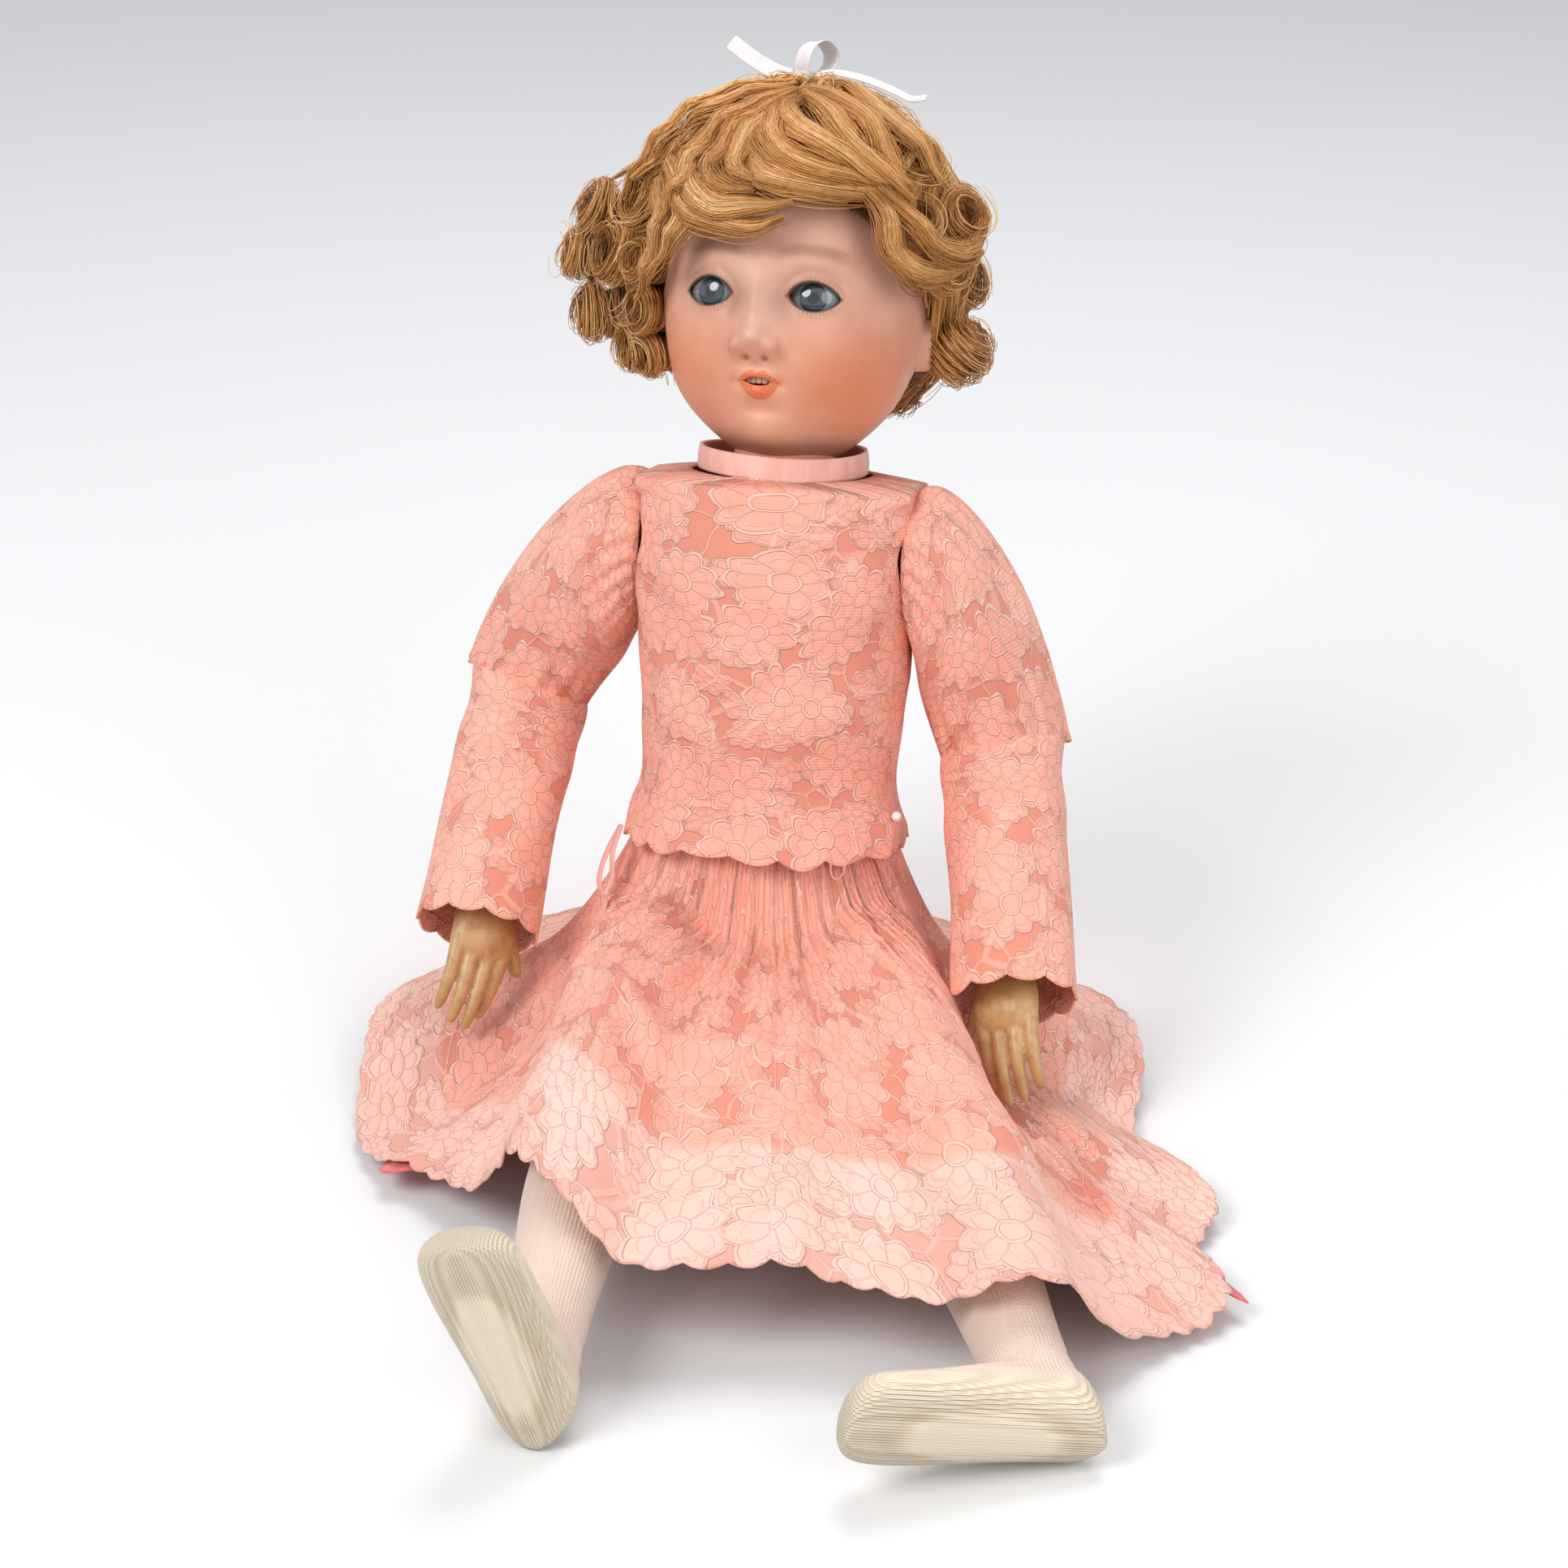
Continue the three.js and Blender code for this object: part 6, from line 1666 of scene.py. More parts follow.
@dataclass
class Stocking:
    """A knitted stocking over the lower leg and foot."""

    side: Side
    grow: float = 1.5
    shin: float = 138
    foot: float = 72
    half_width: float = 13.5
    heel: float = 13
    heel_height: float = 25
    toe_height: float = 13
    top: float = 22

    def leg_tube(self) -> Form:
        """The stocking's leg."""
        stations = [(5.5, 14), (24, 15.5), (44, 15.5), (80, 12.4), (104, 11), (132, 11.6)]

        def place(u: Array, v: Array) -> Array:
            z = blend_of(self.top, self.shin - 4, v)
            (radius,) = table(stations, z)
            calf = 2.4 * bell(z, 34, 22)
            close = dome(2 * v - 1, 24)
            wrinkle = 0.35 * np.sin(z * 0.55 + 1.5 * np.sin(u * math.tau)) * ease(z, 95, 120)
            r = (radius + self.grow + wrinkle) * close
            angle = u * math.tau
            return moved(BONES.legs[self.side]["lower"], stack(r * np.cos(angle), r * np.sin(angle) + calf, -z))

        return sheet_mesh(48, 60, place, (90, 110), around=True)

    def foot_tube(self) -> Form:
        """The stocking's foot, flat under the sole."""

        def place(u: Array, v: Array) -> Array:
            y = blend_of(self.heel + 2.4, self.heel - self.foot - 2.6, v)
            ends = dome(2 * v - 1, 8)
            width = blend_of(self.half_width * 0.87, self.half_width, ease(v, 0.2, 0.75)) * ends + self.grow * ends
            height = blend_of(self.heel_height, self.toe_height, ease(v, 0.15, 0.85))
            rise = (height * blend_of(0.75, 1, ends) + self.grow) * np.sqrt(ends)
            angle = u * math.tau
            up = np.sin(angle)
            level = np.where(up > 0, rise * 0.5 + up * rise * 0.55, rise * 0.5 + up * rise * 0.5 - 0.9)
            z = -self.shin + np.maximum(level, -1.2)
            return moved(BONES.legs[self.side]["lower"], stack(width * squared(np.cos(angle), 0.85), y, z))

        return sheet_mesh(60, 60, place, (90, 90), around=True)

    def build(self) -> None:
        """Makes the stocking and sets it on the lower leg."""
        frame = BONES.legs[self.side]["lower"]
        knit = RibbedKnit(f"ribbed_knit_{self.side.word}", frame, -self.shin).material()
        piece = finished(f"knit_stocking_{self.side.word}", merged(self.leg_tube(), self.foot_tube()), knit)
        fuse(piece, 0.9, 8)
        attach(piece, f"lower_leg_{self.side.word}", "cream_knit", f"stocking_{self.side.word}")


# Dress


@dataclass
class Bodice:
    """The lace bodice with its stand collar, scalloped below over the skirt."""

    bottom: float = 77
    top: float = 197.2
    side_limit: float = 45.4
    collar_base: float = 197.3
    collar_height: float = 7.6
    collar_radius: float = 27.9
    armhole_radius: float = 19.9
    armhole_at: float = 54
    scallop: float = 2.6
    cut_area: float = 0.0312
    stations: tuple[tuple[float, ...], ...] = (
        (77, 50, 42, -1),
        (92, 43, 36, -1),
        (118, 44, 37, -1),
        (150, 46.3, 35, 0),
        (172, 46.9, 33, 1),
        (187.5, 46.5, 29, 1),
        (195.5, 43.5, 26.5, 1),
        (197.2, 29.5, 28, 0),
    )

    def place(self, u: Array, v: Array) -> Array:
        """A point of the bodice, from its hem up."""
        angle = u * math.tau
        deep = self.scallop + 1.1 * np.sin(angle * 5 + 1)
        hem = deep * scallops(angle, 9.5) * ease(v, 0.08, 0.0)
        z = blend_of(self.bottom, self.top, v)
        width, depth, middle = table(self.stations, z)
        square = ease(z, 140, 172) * (1 - ease(z, 193.5, self.top))
        power = blend_of(1, 0.72, square)
        pull = 0.9 * np.sin(angle * 7 + z * 0.05) * ease(z, 120, 90) + 0.5 * np.sin(z * 0.19 + 3 * np.sin(angle * 2))
        pull = pull + 0.7 * np.sin(z * 0.11 + angle * 5 + 2 * np.sin(angle * 3)) * ease(np.abs(z - 140), 40, 10)
        x = np.clip((width + pull) * squared(np.cos(angle), power), -self.side_limit, self.side_limit)
        return moved(BONES.torso, stack(x, middle + (depth + pull) * squared(np.sin(angle), power), z - hem))

    def armhole(self, side: Side) -> Piece:
        """The cutter for one armhole."""
        bm = bmesh.new()
        radius, depth = self.armhole_radius * MM, 50 * MM
        bmesh.ops.create_cone(bm, cap_ends=True, segments=48, radius1=radius, radius2=radius, depth=depth)
        _, back, height = BONES.shoulder
        at = shift(side.value * self.armhole_at, back, height)
        return finished("armhole", placed(bm, BONES.torso @ at @ turn("Y", 90)))

    def collar(self, material: Material) -> Piece:
        """The stand collar: a smooth folded satin band."""

        def place(u: Array, v: Array) -> Array:
            angle = u * math.tau
            radius = self.collar_radius - 0.5 * v + 0.35 * np.sin(v * math.pi) + 0.12 * np.sin(angle * 5 + 2 * v)
            z = self.collar_base + self.collar_height * v + 0.5 * np.sin(angle * 2 + 0.6)
            return moved(BONES.torso, stack(radius * np.cos(angle), radius * np.sin(angle), z))

        made = finished("stand_collar", sheet_mesh(120, 10, place, (170, 8)), material)
        thicken(made, 1.3)
        return made

    def build(self, lace: Material, satin: Material) -> None:
        """Makes the bodice and collar and sets them on the torso."""
        piece = finished("lace_bodice", sheet_mesh(300, 136, self.place, (250, 130)), lace)
        thicken(piece, 0.8)
        settle(piece)
        cut(piece, *[self.armhole(s) for s in Side])
        attach(piece, "torso", "coral_lace", "bodice")
        collar = self.collar(satin)
        attach(collar, "torso", "pink_satin", "collar_band")


@dataclass
class Trims:
    """The bodice's small trims: a bead at its side, a loose loop of thread at its hem and a ribbon's ends."""

    bead: tuple[float, float, float] = (45.6, -13, 88)
    bead_radius: float = 1.7

    def build(self, satin: Material) -> None:
        """Makes the trims and sets them on the torso."""
        bm = bmesh.new()
        bmesh.ops.create_icosphere(bm, subdivisions=3, radius=self.bead_radius * MM)
        glass = PlainFinish("bead_glass", "f4f1f2", "dcd8dc", Grain.MATTE, 0.12).material()
        attach(finished("side_bead", placed(bm, BONES.torso @ shift(*self.bead)), glass), "torso", "eye_glass")
        thread = [(29, -37.5, 78), (29.5, -39, 73.5), (31.5, -39.5, 71.5), (33.5, -38.5, 74), (33, -36.5, 78)]
        long_end = [(-45, -21, 79), (-48.5, -26, 70), (-50, -28.5, 61), (-47.5, -29.5, 54), (-49, -31, 49)]
        short_end = [(-45, -21, 79), (-46, -27.5, 71), (-45.5, -29.5, 63), (-47.5, -31, 57)]
        tapes = [
            ribbon(BONES.torso, points, across, width, (4, 40))
            for points, across, width in (
                (thread, (0.5, 0.8, 0.2), 0.5),
                (long_end, (0.8, -0.6, 0.1), 2.4),
                (short_end, (0.8, -0.6, 0.1), 2.4),
            )
        ]
        piece = finished("thread_and_ribbon_ends", merged(*tapes), satin)
        thicken(piece, 0.3, 0.0)
        attach(piece, "torso", "pink_satin")


@dataclass
class Sleeve:
    """A gathered puff sleeve down to the elbow seam, and a straight lower sleeve with a scalloped cuff."""

    side: Side
    armhole: float = 20.5
    end: float = 20.5
    start: float = 43.4
    cuff: float = 19
    cuff_reach: float = 93
    cuff_shift: float = 3
    over_shoulder: tuple[float, float] = (-4, 26)
    over_elbow: tuple[float, float] = (-16, 12)

    def slant(self) -> float:
        """How far the elbow seam slants for each millimetre in front of the sleeve's middle."""
        return math.tan(math.radians(BONES.arm_poses[self.side].bend / 2))

    def seen(self, vector: Sequence[float]) -> Array:
        """A direction of the upper arm's frame, seen from the shoulder ball."""
        turn_to = BONES.arms[self.side]["shoulder"].inverted() @ BONES.arms[self.side]["upper"]
        return np.array(turn_to.to_3x3() @ Vector(vector))

    def upper_place(self, u: Array, v: Array) -> Array:
        """A point of the puff sleeve: u round it, v from the armhole to the elbow seam."""
        way, roll = self.side.value, math.radians(BONES.arm_poses[self.side].roll)
        along, out = self.seen((0, 0, -1)), self.seen((way, 0, 0))
        front = self.seen((-way * math.sin(roll), -math.cos(roll), 0))
        start = way * (self.start - BONES.shoulder[0])
        end = along * (BONES.upper_arm + 3.0)
        ends = [end + out * self.end, end - out * self.end]
        top = [
            np.array((start, 0, self.armhole)),
            np.array((start + way * 20, 0, self.armhole + 13)),
            ends[0] - along * 30 + out * 7,
            ends[0],
        ]
        low = [
            np.array((start, 0, -self.armhole)),
            np.array((start + way * 2, 0, -self.armhole - 10)),
            ends[1] - along * 24,
            ends[1],
        ]
        t = v[:, None]

        def bezier(c: list[Array]) -> Array:
            return (1 - t) ** 3 * c[0] + 3 * (1 - t) ** 2 * t * c[1] + 3 * (1 - t) * t**2 * c[2] + t**3 * c[3]

        a, b = bezier(top), bezier(low)
        middle, half = (a + b) / 2, (a - b) / 2
        depth = blend_of(self.armhole, self.end, v) + 6 * np.sin(math.pi * v**0.8)
        angle = u * math.tau
        gather = 0.05 * np.cos(angle * 23 + 1.5 * np.sin(3 * angle)) * ease(v, 0.5, 0.0) * ease(v, -0.02, 0.12)
        gather = gather + 0.035 * np.cos(angle * 19 + 2 * np.sin(2 * angle)) * ease(v, 0.6, 0.95)
        fold = 1 + 0.035 * np.sin(math.pi * v) * np.cos(6 * angle) + gather
        fold = fold + 0.025 * np.sin(math.pi * v) * np.cos(angle * 4 + 9 * v)
        fold = fold - 0.06 * ease(v, 0.06, 0.0) + 0.015 * ease(v, 0.955, 1.0)
        point = middle + half * (np.cos(angle) * fold)[:, None]
        point[:, 1] += depth * np.sin(angle) * fold
        point = point + along * (2.2 * scallops(angle, 5.5) * ease(v, 0.96, 1.0))[:, None]
        ahead = (point - middle) @ front
        point = point - along * (ahead * self.slant() * ease(v, 0.35, 1))[:, None]
        return moved(BONES.arms[self.side]["shoulder"], point)

    def lower_place(self, u: Array, v: Array) -> Array:
        """A point of the lower sleeve: v from the elbow seam to the cuff."""
        angle = u * math.tau
        radius = blend_of(self.end, self.cuff, v) - 1.5 * np.sin(math.pi * v) - 1.3 * ease(v, 0.1, 0.04)
        ripple = 0.6 * np.cos(angle * 3 + 7 * v) * np.sin(math.pi * v) + 0.7 * np.cos(angle * 17) * ease(v, 0.12, 0.0)
        sag = 0.8 * np.sin(v * 19 + 2 * np.sin(angle)) * ease(v, 0.5, 0.15)
        radius = radius + ripple + sag
        ahead = -radius * np.sin(angle)
        slope = ahead * self.slant() * (1 - ease(v, 0, 0.5))
        scallop = 2.2 * scallops(angle, 5) * ease(v, 0.9, 1.0)
        z = blend_of(-4.0, self.cuff_reach, v)
        x = self.side.value * self.cuff_shift * v + radius * np.cos(angle) * (1 + 0.09 * ease(v, 0.05, 0.35))
        return moved(BONES.arms[self.side]["fore"], stack(x, radius * np.sin(angle), -z - slope - scallop))

    def build(self, lace: Material) -> None:
        """Makes both sleeves, bakes each in place and hides the frame's sleeves."""
        word = self.side.word
        pieces = []
        for name, bm in (
            (f"puff_sleeve_{word}", sheet_mesh(180, 92, self.upper_place, (165, 85))),
            (f"lower_sleeve_cloth_{word}", sheet_mesh(170, 92, self.lower_place, (128, 93))),
        ):
            middle = sum((vert.co for vert in bm.verts), Vector()) / len(bm.verts)
            face_out(bm, lambda face, at=middle: (face.calc_center_median() - at).dot(face.normal))
            piece = finished(name, bm, lace)
            thicken(piece, 0.7)
            settle(piece)
            pieces.append(piece)
        upper, lower = pieces
        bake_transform(upper)
        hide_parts(f"upper_sleeve_{word}")
        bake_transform(lower)
        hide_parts(f"lower_sleeve_{word}")
        LOG.info("sleeves %s: %d faces", word, len(upper.data.polygons) + len(lower.data.polygons))


class Line:
    """A limb's line seen from above, with its size at each place."""

    def __init__(self, places: Sequence[tuple[Matrix, float, float, float, float]]) -> None:
        """Keeps frame, distance down, sideways shift, radius and thickness of each place."""
        self.at = np.array([np.array((m @ Vector((s, 0, -d)))) for m, d, s, _, _ in places])
        self.radius = np.array([r for *_, r, _ in places])
        self.thick = np.array([k for *_, k in places])

    def nearest(self, x: Array, y: Array) -> tuple[Array, Array, Array, Array]:
        """The nearest point, how far it is, and the radius and thickness there."""
        best_at = np.zeros((len(x), 3))
        best = [np.full(len(x), np.inf), np.zeros(len(x)), np.zeros(len(x))]
        for i in range(len(self.at) - 1):
            a, b = self.at[i], self.at[i + 1]
            run = (b - a)[:2]
            t = np.clip(((x - a[0]) * run[0] + (y - a[1]) * run[1]) / (run @ run), 0, 1)
            at = a + (b - a) * t[:, None]
            away = np.hypot(x - at[:, 0], y - at[:, 1])
            near = away < best[0]
            best_at[near] = at[near]
            radius = blend_of(self.radius[i], self.radius[i + 1], t)
            thick = blend_of(self.thick[i], self.thick[i + 1], t)
            for k, value in enumerate((away, radius, thick)):
                best[k] = np.where(near, value, best[k])
        return best_at, best[0], best[1], best[2]


@dataclass
class Skirt:
    """The gathered skirt spread over the lap and the floor, lace over a satin lining."""

    waist: float = 92
    half_width: float = 34
    half_depth: float = 27
    lap: float = 6
    room: float = 6.6
    folds: int = 10
    fold_depth: float = 3
    lining_gap: float = 2.2
    hem_plan: tuple[tuple[float, float], ...] = (
        (45, -187), (82, -188), (122, -195), (156, -158), (172, -138), (160, -104), (163, -80), (134, -42),
        (130, 6), (112, 52), (66, 86), (0, 96), (-66, 84), (-110, 48), (-130, 2), (-124, -46),
        (-106, -102), (-80, -122), (-52, -146), (-28, -178), (2, -196),
    )

    def __post_init__(self) -> None:
        """Sets the limbs under and over the cloth, and the hem's curve."""
        self.middle = BONES.torso @ Vector((0, -1, self.waist - 4))
        self.legs = []
        for leg in BONES.legs.values():
            thigh, knee, lower = leg["upper"], leg["knee"], leg["lower"]
            shins = [(lower, 34, 0, 19.1, 17.9), (lower, 90, 0, 14.2, 13), (lower, 138, 0, 18.7, 17.5)]
            self.legs.append(Line([(thigh, 0, 0, 16.8, 15.6), (knee, 0, 0, 16.2, 15), *shins]))
        self.arms = []
        for side in Side:
            fore, wrist = BONES.arms[side]["fore"], BONES.arms[side]["wrist"]
            self.arms.append(Line([(fore, 30, side.value * 30 / 31, 19, 19), (fore, 93, side.value * 3, 19, 19)]))
            self.arms.append(Line([(wrist, 10, 0, 10, 12.5), (wrist, 25, 0, 15, 12.5), (wrist, 58, 0, 15, 8.5)]))
        self.hem = self.hem_curve(np.array(self.hem_plan, float))

    @staticmethod
    def hem_curve(points: Array) -> Array:
        """A closed smooth curve through points, evenly spaced by share of the points, as a long table."""
        count, fine = len(points), 60
        rows = []
        for i in range(count):
            p = [points[(i + k) % count] for k in (-1, 0, 1, 2)]
            d = [max(np.linalg.norm(p[k + 1] - p[k]) ** 0.5, 1e-4) for k in range(3)]
            m1 = (p[1] - p[0]) / d[0] - (p[2] - p[0]) / (d[0] + d[1]) + (p[2] - p[1]) / d[1]
            m2 = (p[2] - p[1]) / d[1] - (p[3] - p[1]) / (d[1] + d[2]) + (p[3] - p[2]) / d[2]
            rows += [bridge(p[1], p[2], m1 * d[1], m2 * d[1], t) for t in np.arange(fine) / fine]
        return np.array([*rows, rows[0]])

    def hem_at(self, u: Array) -> Array:
        """The hem's place at a share of the way round."""
        at = (u % 1.0) * (len(self.hem) - 1)
        i = np.clip(at.astype(int), 0, len(self.hem) - 2)
        return blend_of(self.hem[i], self.hem[i + 1], (at - i)[:, None])

    def height(self, x: Array, y: Array) -> Array:
        """The cloth's height over the lap, legs and floor."""
        lean = math.tan(math.radians(BONES.lean))
        away = np.hypot((x - self.middle.x) / (self.half_width + 5), (y - self.middle.y) / (self.half_depth + 6))
        out = np.maximum((away - 1) * self.half_depth, 0)
        behind = ease(y, self.middle.y - 15, self.middle.y + 15)
        waist = (self.middle.z - (y - self.middle.y) * lean * behind) * np.exp(-out / blend_of(24, 13, behind))
        heights, needed, near_legs = [waist, np.ones_like(x)], np.zeros_like(x), []
        for line in self.legs:
            at, far, radius, _ = line.nearest(x, y)
            near_legs.append((at, radius))
            r = radius + self.lap
            shoulder = 0.8 * r
            over = at[:, 2] + np.sqrt(np.maximum(r**2 - far**2, 0))
            beside = (at[:, 2] + 0.6 * r) * np.exp(-(far - shoulder) / 20)
            heights.append(np.where(far < shoulder, over, beside))
            space = radius + self.room
            reach = at[:, 2] + np.sqrt(np.maximum(space**2 - far**2, 0))
            needed = np.maximum(needed, np.where(far < 0.94 * space, reach, 0))
        (right, right_radius), (left, left_radius) = near_legs
        across = left[:, 0] - right[:, 0]
        t = (x - right[:, 0]) / across
        high = blend_of(right[:, 2] + right_radius, left[:, 2] + left_radius, t) + self.lap
        span = np.where((t <= 0) | (t >= 1) | (y > right[:, 1] + 30), 0, high - 0.5 * across * t * (1 - t))
        heights.append(span)
        most = np.max(heights, axis=0)
        sharp = 5
        free = most + sharp * np.log(sum(np.exp((h - most) / sharp) for h in heights)) * 0.5
        for line in self.arms:
            at, far, radius, thick = line.nearest(x, y)
            r = radius + 4
            under = at[:, 2] - 1.35 * thick * dome(far / r) - 4.5
            free = np.where(far > r, free, np.minimum(free, under))
        return np.maximum(free, needed)

    def surface(self, u: Array, t: Array, depth: float, wrinkle: float) -> Array:
        """A point of a layer of the skirt: u round it, t from waist to hem.

        Args:
            u: share of the way round.
            t: share of the way down.
            depth: how far under the outer face the layer lies.
            wrinkle: how strongly the fine folds show.

        Returns:
            The points, in millimetres.
        """
        hem = self.hem_at(u)
        angle = np.arctan2(hem[:, 1] - self.middle.y, hem[:, 0] - self.middle.x)
        wide, deep = self.half_width + 5, self.half_depth + 6
        start = stack(self.middle.x + wide * np.cos(angle), self.middle.y + deep * np.sin(angle))
        flat = blend_of(start, hem, t[:, None])
        x, y = flat[:, 0], flat[:, 1]
        fold = self.fold_depth * np.cos(math.tau * self.folds * u) * ease(t, 0.05, 0.5) * 0.5 * (1 + ease(t, 0.5, 1))
        turned = math.tau * u
        gather = 1.7 * np.cos(turned * 46 + 2.2 * np.sin(turned * 7)) * ease(t, 0.5, 0.02)
        ripple = 1.1 * np.cos(turned * 23 + 5 * t + 1.7 * np.sin(turned * 5)) * ease(t, 0.06, 0.3)
        crossing = t * 17 + 3.1 * np.sin(turned * 3) + 1.3 * np.cos(turned * 8)
        ripple = ripple + 0.9 * np.sin(crossing) * ease(t, 0.1, 0.35)
        lap = bell(x, self.middle.x, 52) * ease(self.middle.y - y, 10, 40)
        wander = t + 0.03 * np.sin(x * 0.07) + 0.012 * np.sin(x * 0.19)
        ridge = lap * (5.5 * bell(wander, 0.5, 0.045) - 1.2 * bell(wander, 0.58, 0.035))
        z = self.height(x, y) + 1.5 + fold + ridge + wrinkle * np.maximum(gather + ripple, -1.4) * 0.8
        return stack(x, y, np.maximum(z, 3.0) - depth)

    def lace_place(self, u: Array, v: Array) -> Array:
        """The lace layer, scalloped at the hem."""
        scallop = 0.016 * scallops(u * math.tau, 37) * ease(v, 0.93, 1.0)
        return self.surface(u, v * 0.986 + scallop, 0.0, 1.0)

    def lining_place(self, u: Array, v: Array) -> Array:
        """The lining, which peeps out at two corners of the hem."""
        peep = 0.19 * bell(u, 0.79, 0.02) + 0.2 * bell(u, 0.205, 0.012)
        return self.surface(u, v * (0.85 + peep), self.lining_gap, 0.5)

    def build(self, lace: Material, satin: Material) -> None:
        """Makes both layers and sets them on the torso."""
        outer = sheet_mesh(380, 116, self.lace_place, (640, 150))
        inner = sheet_mesh(260, 70, self.lining_place, (600, 130))
        for name, bm, node, material, slot, thickness, flat in (
            ("lace_skirt", outer, "skirt_lace", lace, "coral_lace", 0.7, (0.52, 0.166)),
            ("satin_lining", inner, "skirt_lining", satin, "pink_satin", 0.4, (0.47, 0.147)),
        ):
            face_out(bm, lambda face: face.normal.z * face.calc_area())
            LOG.info("%s: %.4f square metres", name, sum(face.calc_area() for face in bm.faces))
            piece = finished(name, bm, material)
            thicken(piece, thickness)
            settle(piece)
            attach(piece, "torso", slot, node)


# Frame nodes that stay in sight or inside


@dataclass
class Workings:
    """The body under the dress and the workings inside it, as the frame gives them."""

    finishes: dict[str, object] = field(
        default_factory=lambda: {
            "composition": AgedSkin("painted_composition", "d9b48a", "8a6238"),
            "limb_wood": PlainFinish("turned_limbs", "dcae84", "b98259", Grain.TURNED, 0.5),
            "ball_wood": PlainFinish("turned_balls", "cf9f72", "a87547", Grain.TURNED, 0.5),
            "card": PlainFinish("pressed_card", "a88d6a", "7f6847", Grain.MATTE, 0.9),
            "cork": PlainFinish("cut_cork", "b2814f", "6f4a28", Grain.MATTE, 0.9),
            "plaster": PlainFinish("set_plaster", "ece6da", "cfc7b6", Grain.MATTE, 0.9),
            "wire": PlainFinish("drawn_wire", "8f8f90", "5c5a58", Grain.METAL, 0.4),
            "lead": PlainFinish("cast_lead", "75777b", "4c4e52", Grain.METAL, 0.6),
            "elastic": PlainFinish("braided_elastic", "ece4d2", "c9bda2", Grain.WOVEN, 0.85),
            "gauze": PlainFinish("sewn_gauze", "8a5a2c", "5a3717", Grain.WOVEN, 0.95),
        }
    )

    def dress(self) -> None:
        """Gives each node of the frame that stays its finish."""
        made = {slot: finish.material() for slot, finish in self.finishes.items()}
        for row in FRAME["record"]["subparts"]:
            slot = row["material_slot"]
            if slot in made:
                mesh = FRAME["nodes"][row["node"]].data
                mesh.materials.clear()
                mesh.materials.append(made[slot])
        LOG.info("workings: %d finishes", len(made))


# Stage


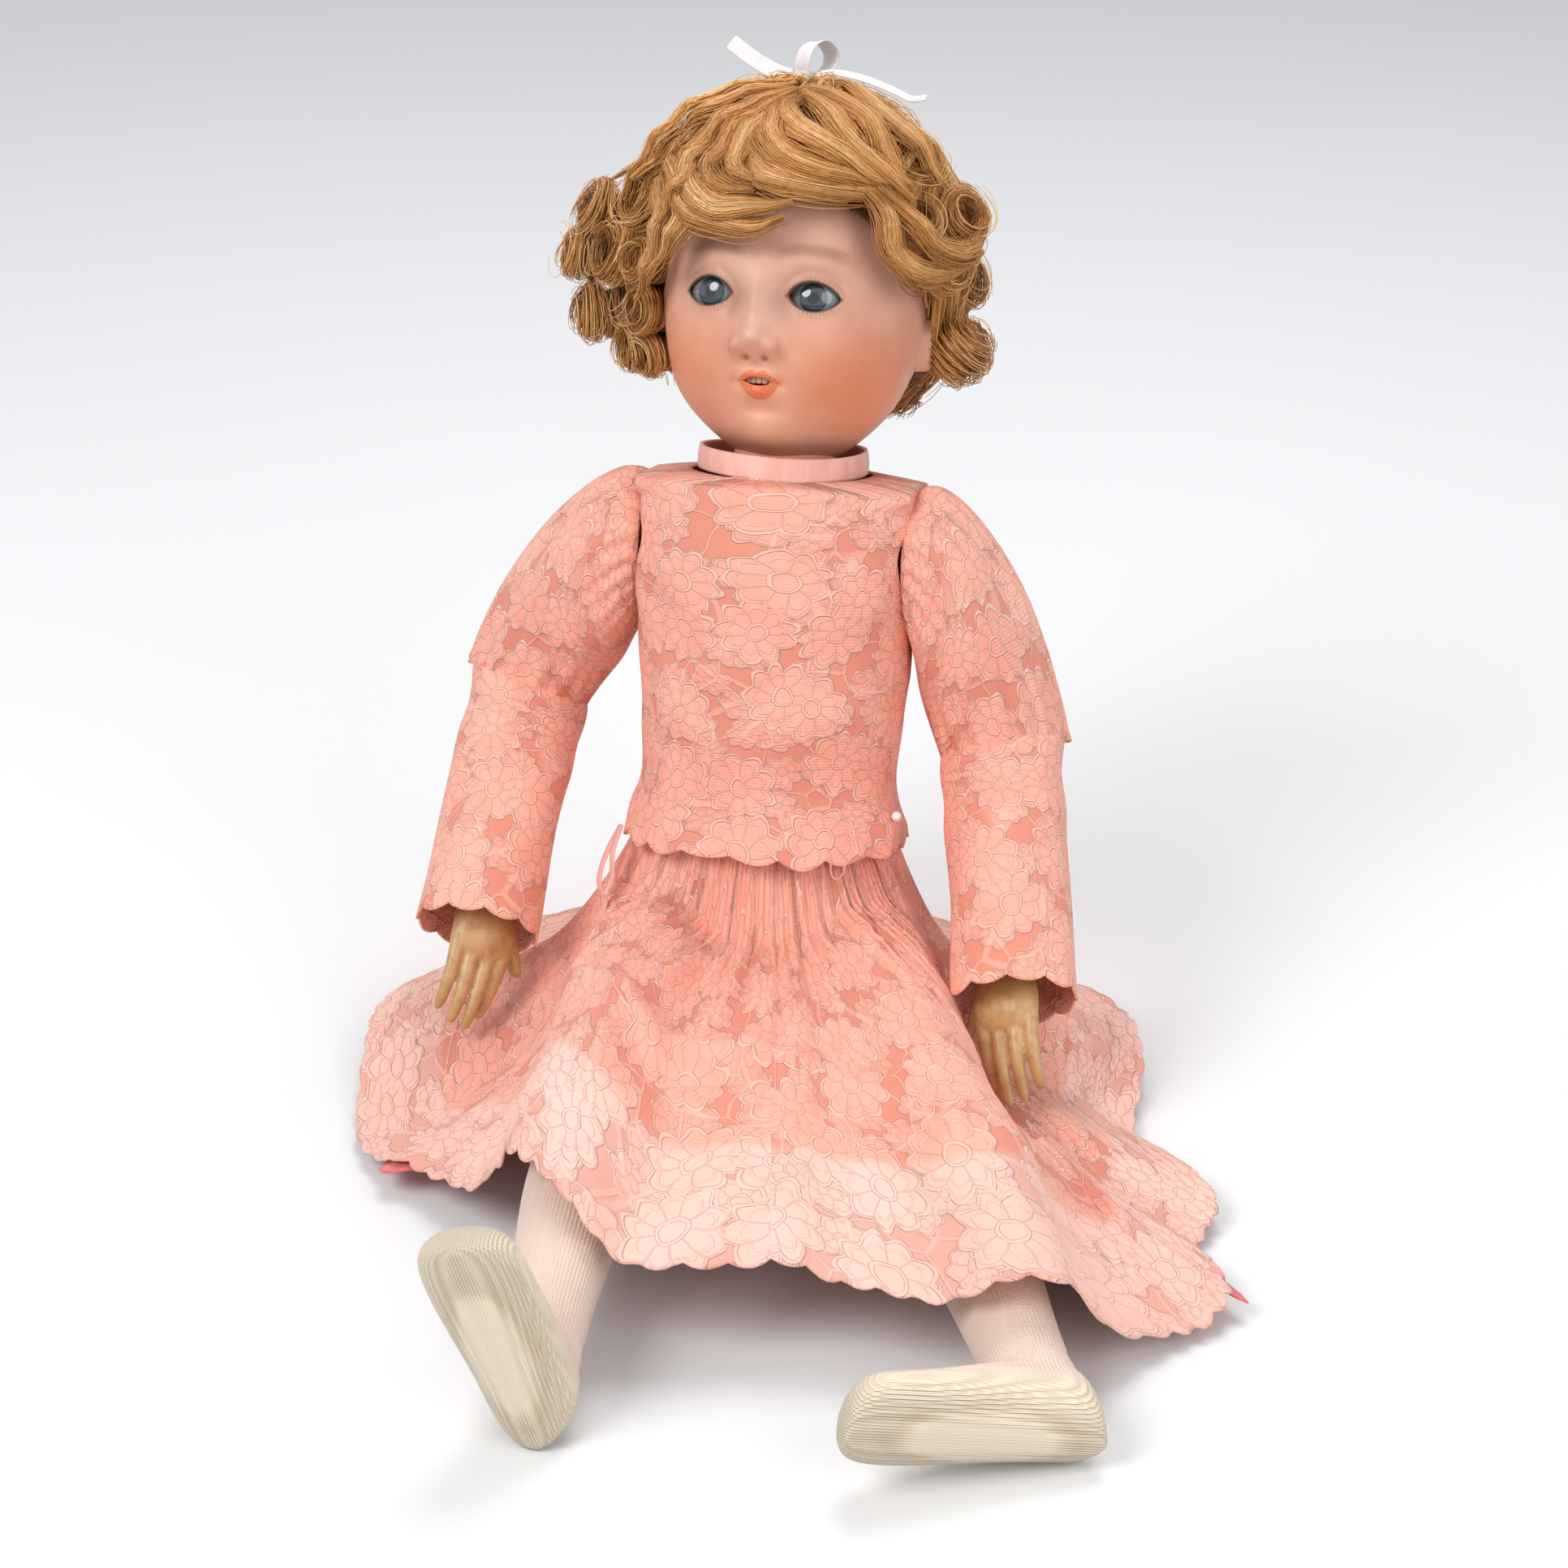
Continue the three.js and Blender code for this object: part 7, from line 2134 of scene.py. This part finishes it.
@dataclass
class Stage:
    """The camera at the photograph's angle, a pale floor and soft studio light."""

    azimuth: float = 12
    elevation: float = 24
    distance: float = 1072.5
    target: tuple[float, float, float] = (21.88, -60, 126.81)
    lens: float = 80.1
    sensor: float = 36
    aim: tuple[float, float, float] = (0, -0.03, 0.13)

    def camera(self) -> None:
        """Makes the scene's camera."""
        a, e = math.radians(self.azimuth), math.radians(self.elevation)
        back = Vector((math.sin(a) * math.cos(e), -math.cos(a) * math.cos(e), math.sin(e)))
        data = bpy.data.cameras.new("view")
        data.lens = self.lens
        data.sensor_width = self.sensor
        at = (Vector(self.target) + back * self.distance) * MM
        bpy.context.scene.camera = self.stand(data, at, -back)

    @staticmethod
    def stand(data: bpy.types.ID, at: Vector, towards: Vector) -> Piece:
        """Sets up a camera or a lamp at a place, in metres, turned towards a direction."""
        made = linked(data.name, data)
        made.location = at
        made.rotation_mode = "QUATERNION"
        made.rotation_quaternion = towards.to_track_quat("-Z", "Y")
        return made

    def lamp(self, name: str, at: Sequence[float], size: float, power: float) -> None:
        """Makes one soft lamp aimed at the doll's middle."""
        data = bpy.data.lights.new(name, "AREA")
        data.shape = "DISK"
        data.size = size
        data.energy = power
        self.stand(data, Vector(at), Vector(self.aim) - Vector(at))

    def floor(self) -> None:
        """Makes the pale floor."""
        bm = bmesh.new()
        bmesh.ops.create_grid(bm, x_segments=2, y_segments=2, size=6)
        p = Paint("pale_floor")
        speck = p.noise(p.place(), 0.002, 2)
        rays = p.node("ShaderNodeLightPath", {}, {}, "Is Camera Ray")
        base = p.mix(speck, (0.86, 0.86, 0.86, 1), (0.9, 0.9, 0.9, 1))
        finished("floor", bm, p.finish(Base_Color=p.mix(rays, (0.6, 0.6, 0.6, 1), base), Roughness=0.9))

    def world(self) -> None:
        """Lights the surroundings evenly, and shows them white to the camera and to reflections."""
        world = bpy.data.worlds.new("surroundings")
        bpy.context.scene.world = world
        world.use_nodes = True
        nodes, links = world.node_tree.nodes, world.node_tree.links
        soft = nodes["Background"]
        soft.inputs["Color"].default_value = (0.93, 0.95, 1.0, 1)
        soft.inputs["Strength"].default_value = 0.5
        pale = nodes.new("ShaderNodeBackground")
        pale.inputs["Color"].default_value = (0.92, 0.92, 0.93, 1)
        path = nodes.new("ShaderNodeLightPath")
        seen = path.outputs["Is Camera Ray"]
        for ray in ("Is Glossy Ray", "Is Transmission Ray"):
            both = nodes.new("ShaderNodeMath")
            both.operation = "MAXIMUM"
            links.new(seen, both.inputs[0])
            links.new(path.outputs[ray], both.inputs[1])
            seen = both.outputs[0]
        mixed = nodes.new("ShaderNodeMixShader")
        links.new(seen, mixed.inputs[0])
        links.new(soft.outputs[0], mixed.inputs[1])
        links.new(pale.outputs[0], mixed.inputs[2])
        links.new(mixed.outputs[0], nodes["World Output"].inputs[0])

    def build(self) -> None:
        """Sets the whole stage."""
        bpy.context.scene.view_settings.view_transform = "Standard"
        self.camera()
        self.floor()
        self.world()
        self.lamp("key", (-0.9, -1.3, 1.5), 1.1, 22)
        self.lamp("fill", (1.3, -1.0, 0.9), 1.3, 9)
        self.lamp("top", (0.1, 0.5, 1.7), 1.0, 11)


def main() -> None:
    """Builds the doll's pieces in order."""
    logging.basicConfig(level=logging.INFO, format="%(name)s: %(message)s")
    Stage().build()
    head = Head()
    head.build()
    Wig(head).build()
    Bow((-3.6, -2, 133.4)).build()
    skin = AgedSkin("aged_hands", "d3ad7d", "8a6238").material()
    for side in Side:
        Hand(side).build(skin)
        Stocking(side).build()
    lace = Lace("coral_lace_bodice").material()
    skirt_lace = Lace("coral_lace_skirt", petal=15.0, band_from=112.0).material()
    collar_satin = Satin("collar_satin", "f9bfae", "f2a898").material()
    lining = Satin("lining_satin", "f28379", "e2655c").material()
    Bodice().build(lace, collar_satin)
    Trims().build(collar_satin)
    for side in Side:
        Sleeve(side).build(lace)
    Skirt().build(skirt_lace, lining)
    Workings().dress()


if __name__ == "__main__":
    main()
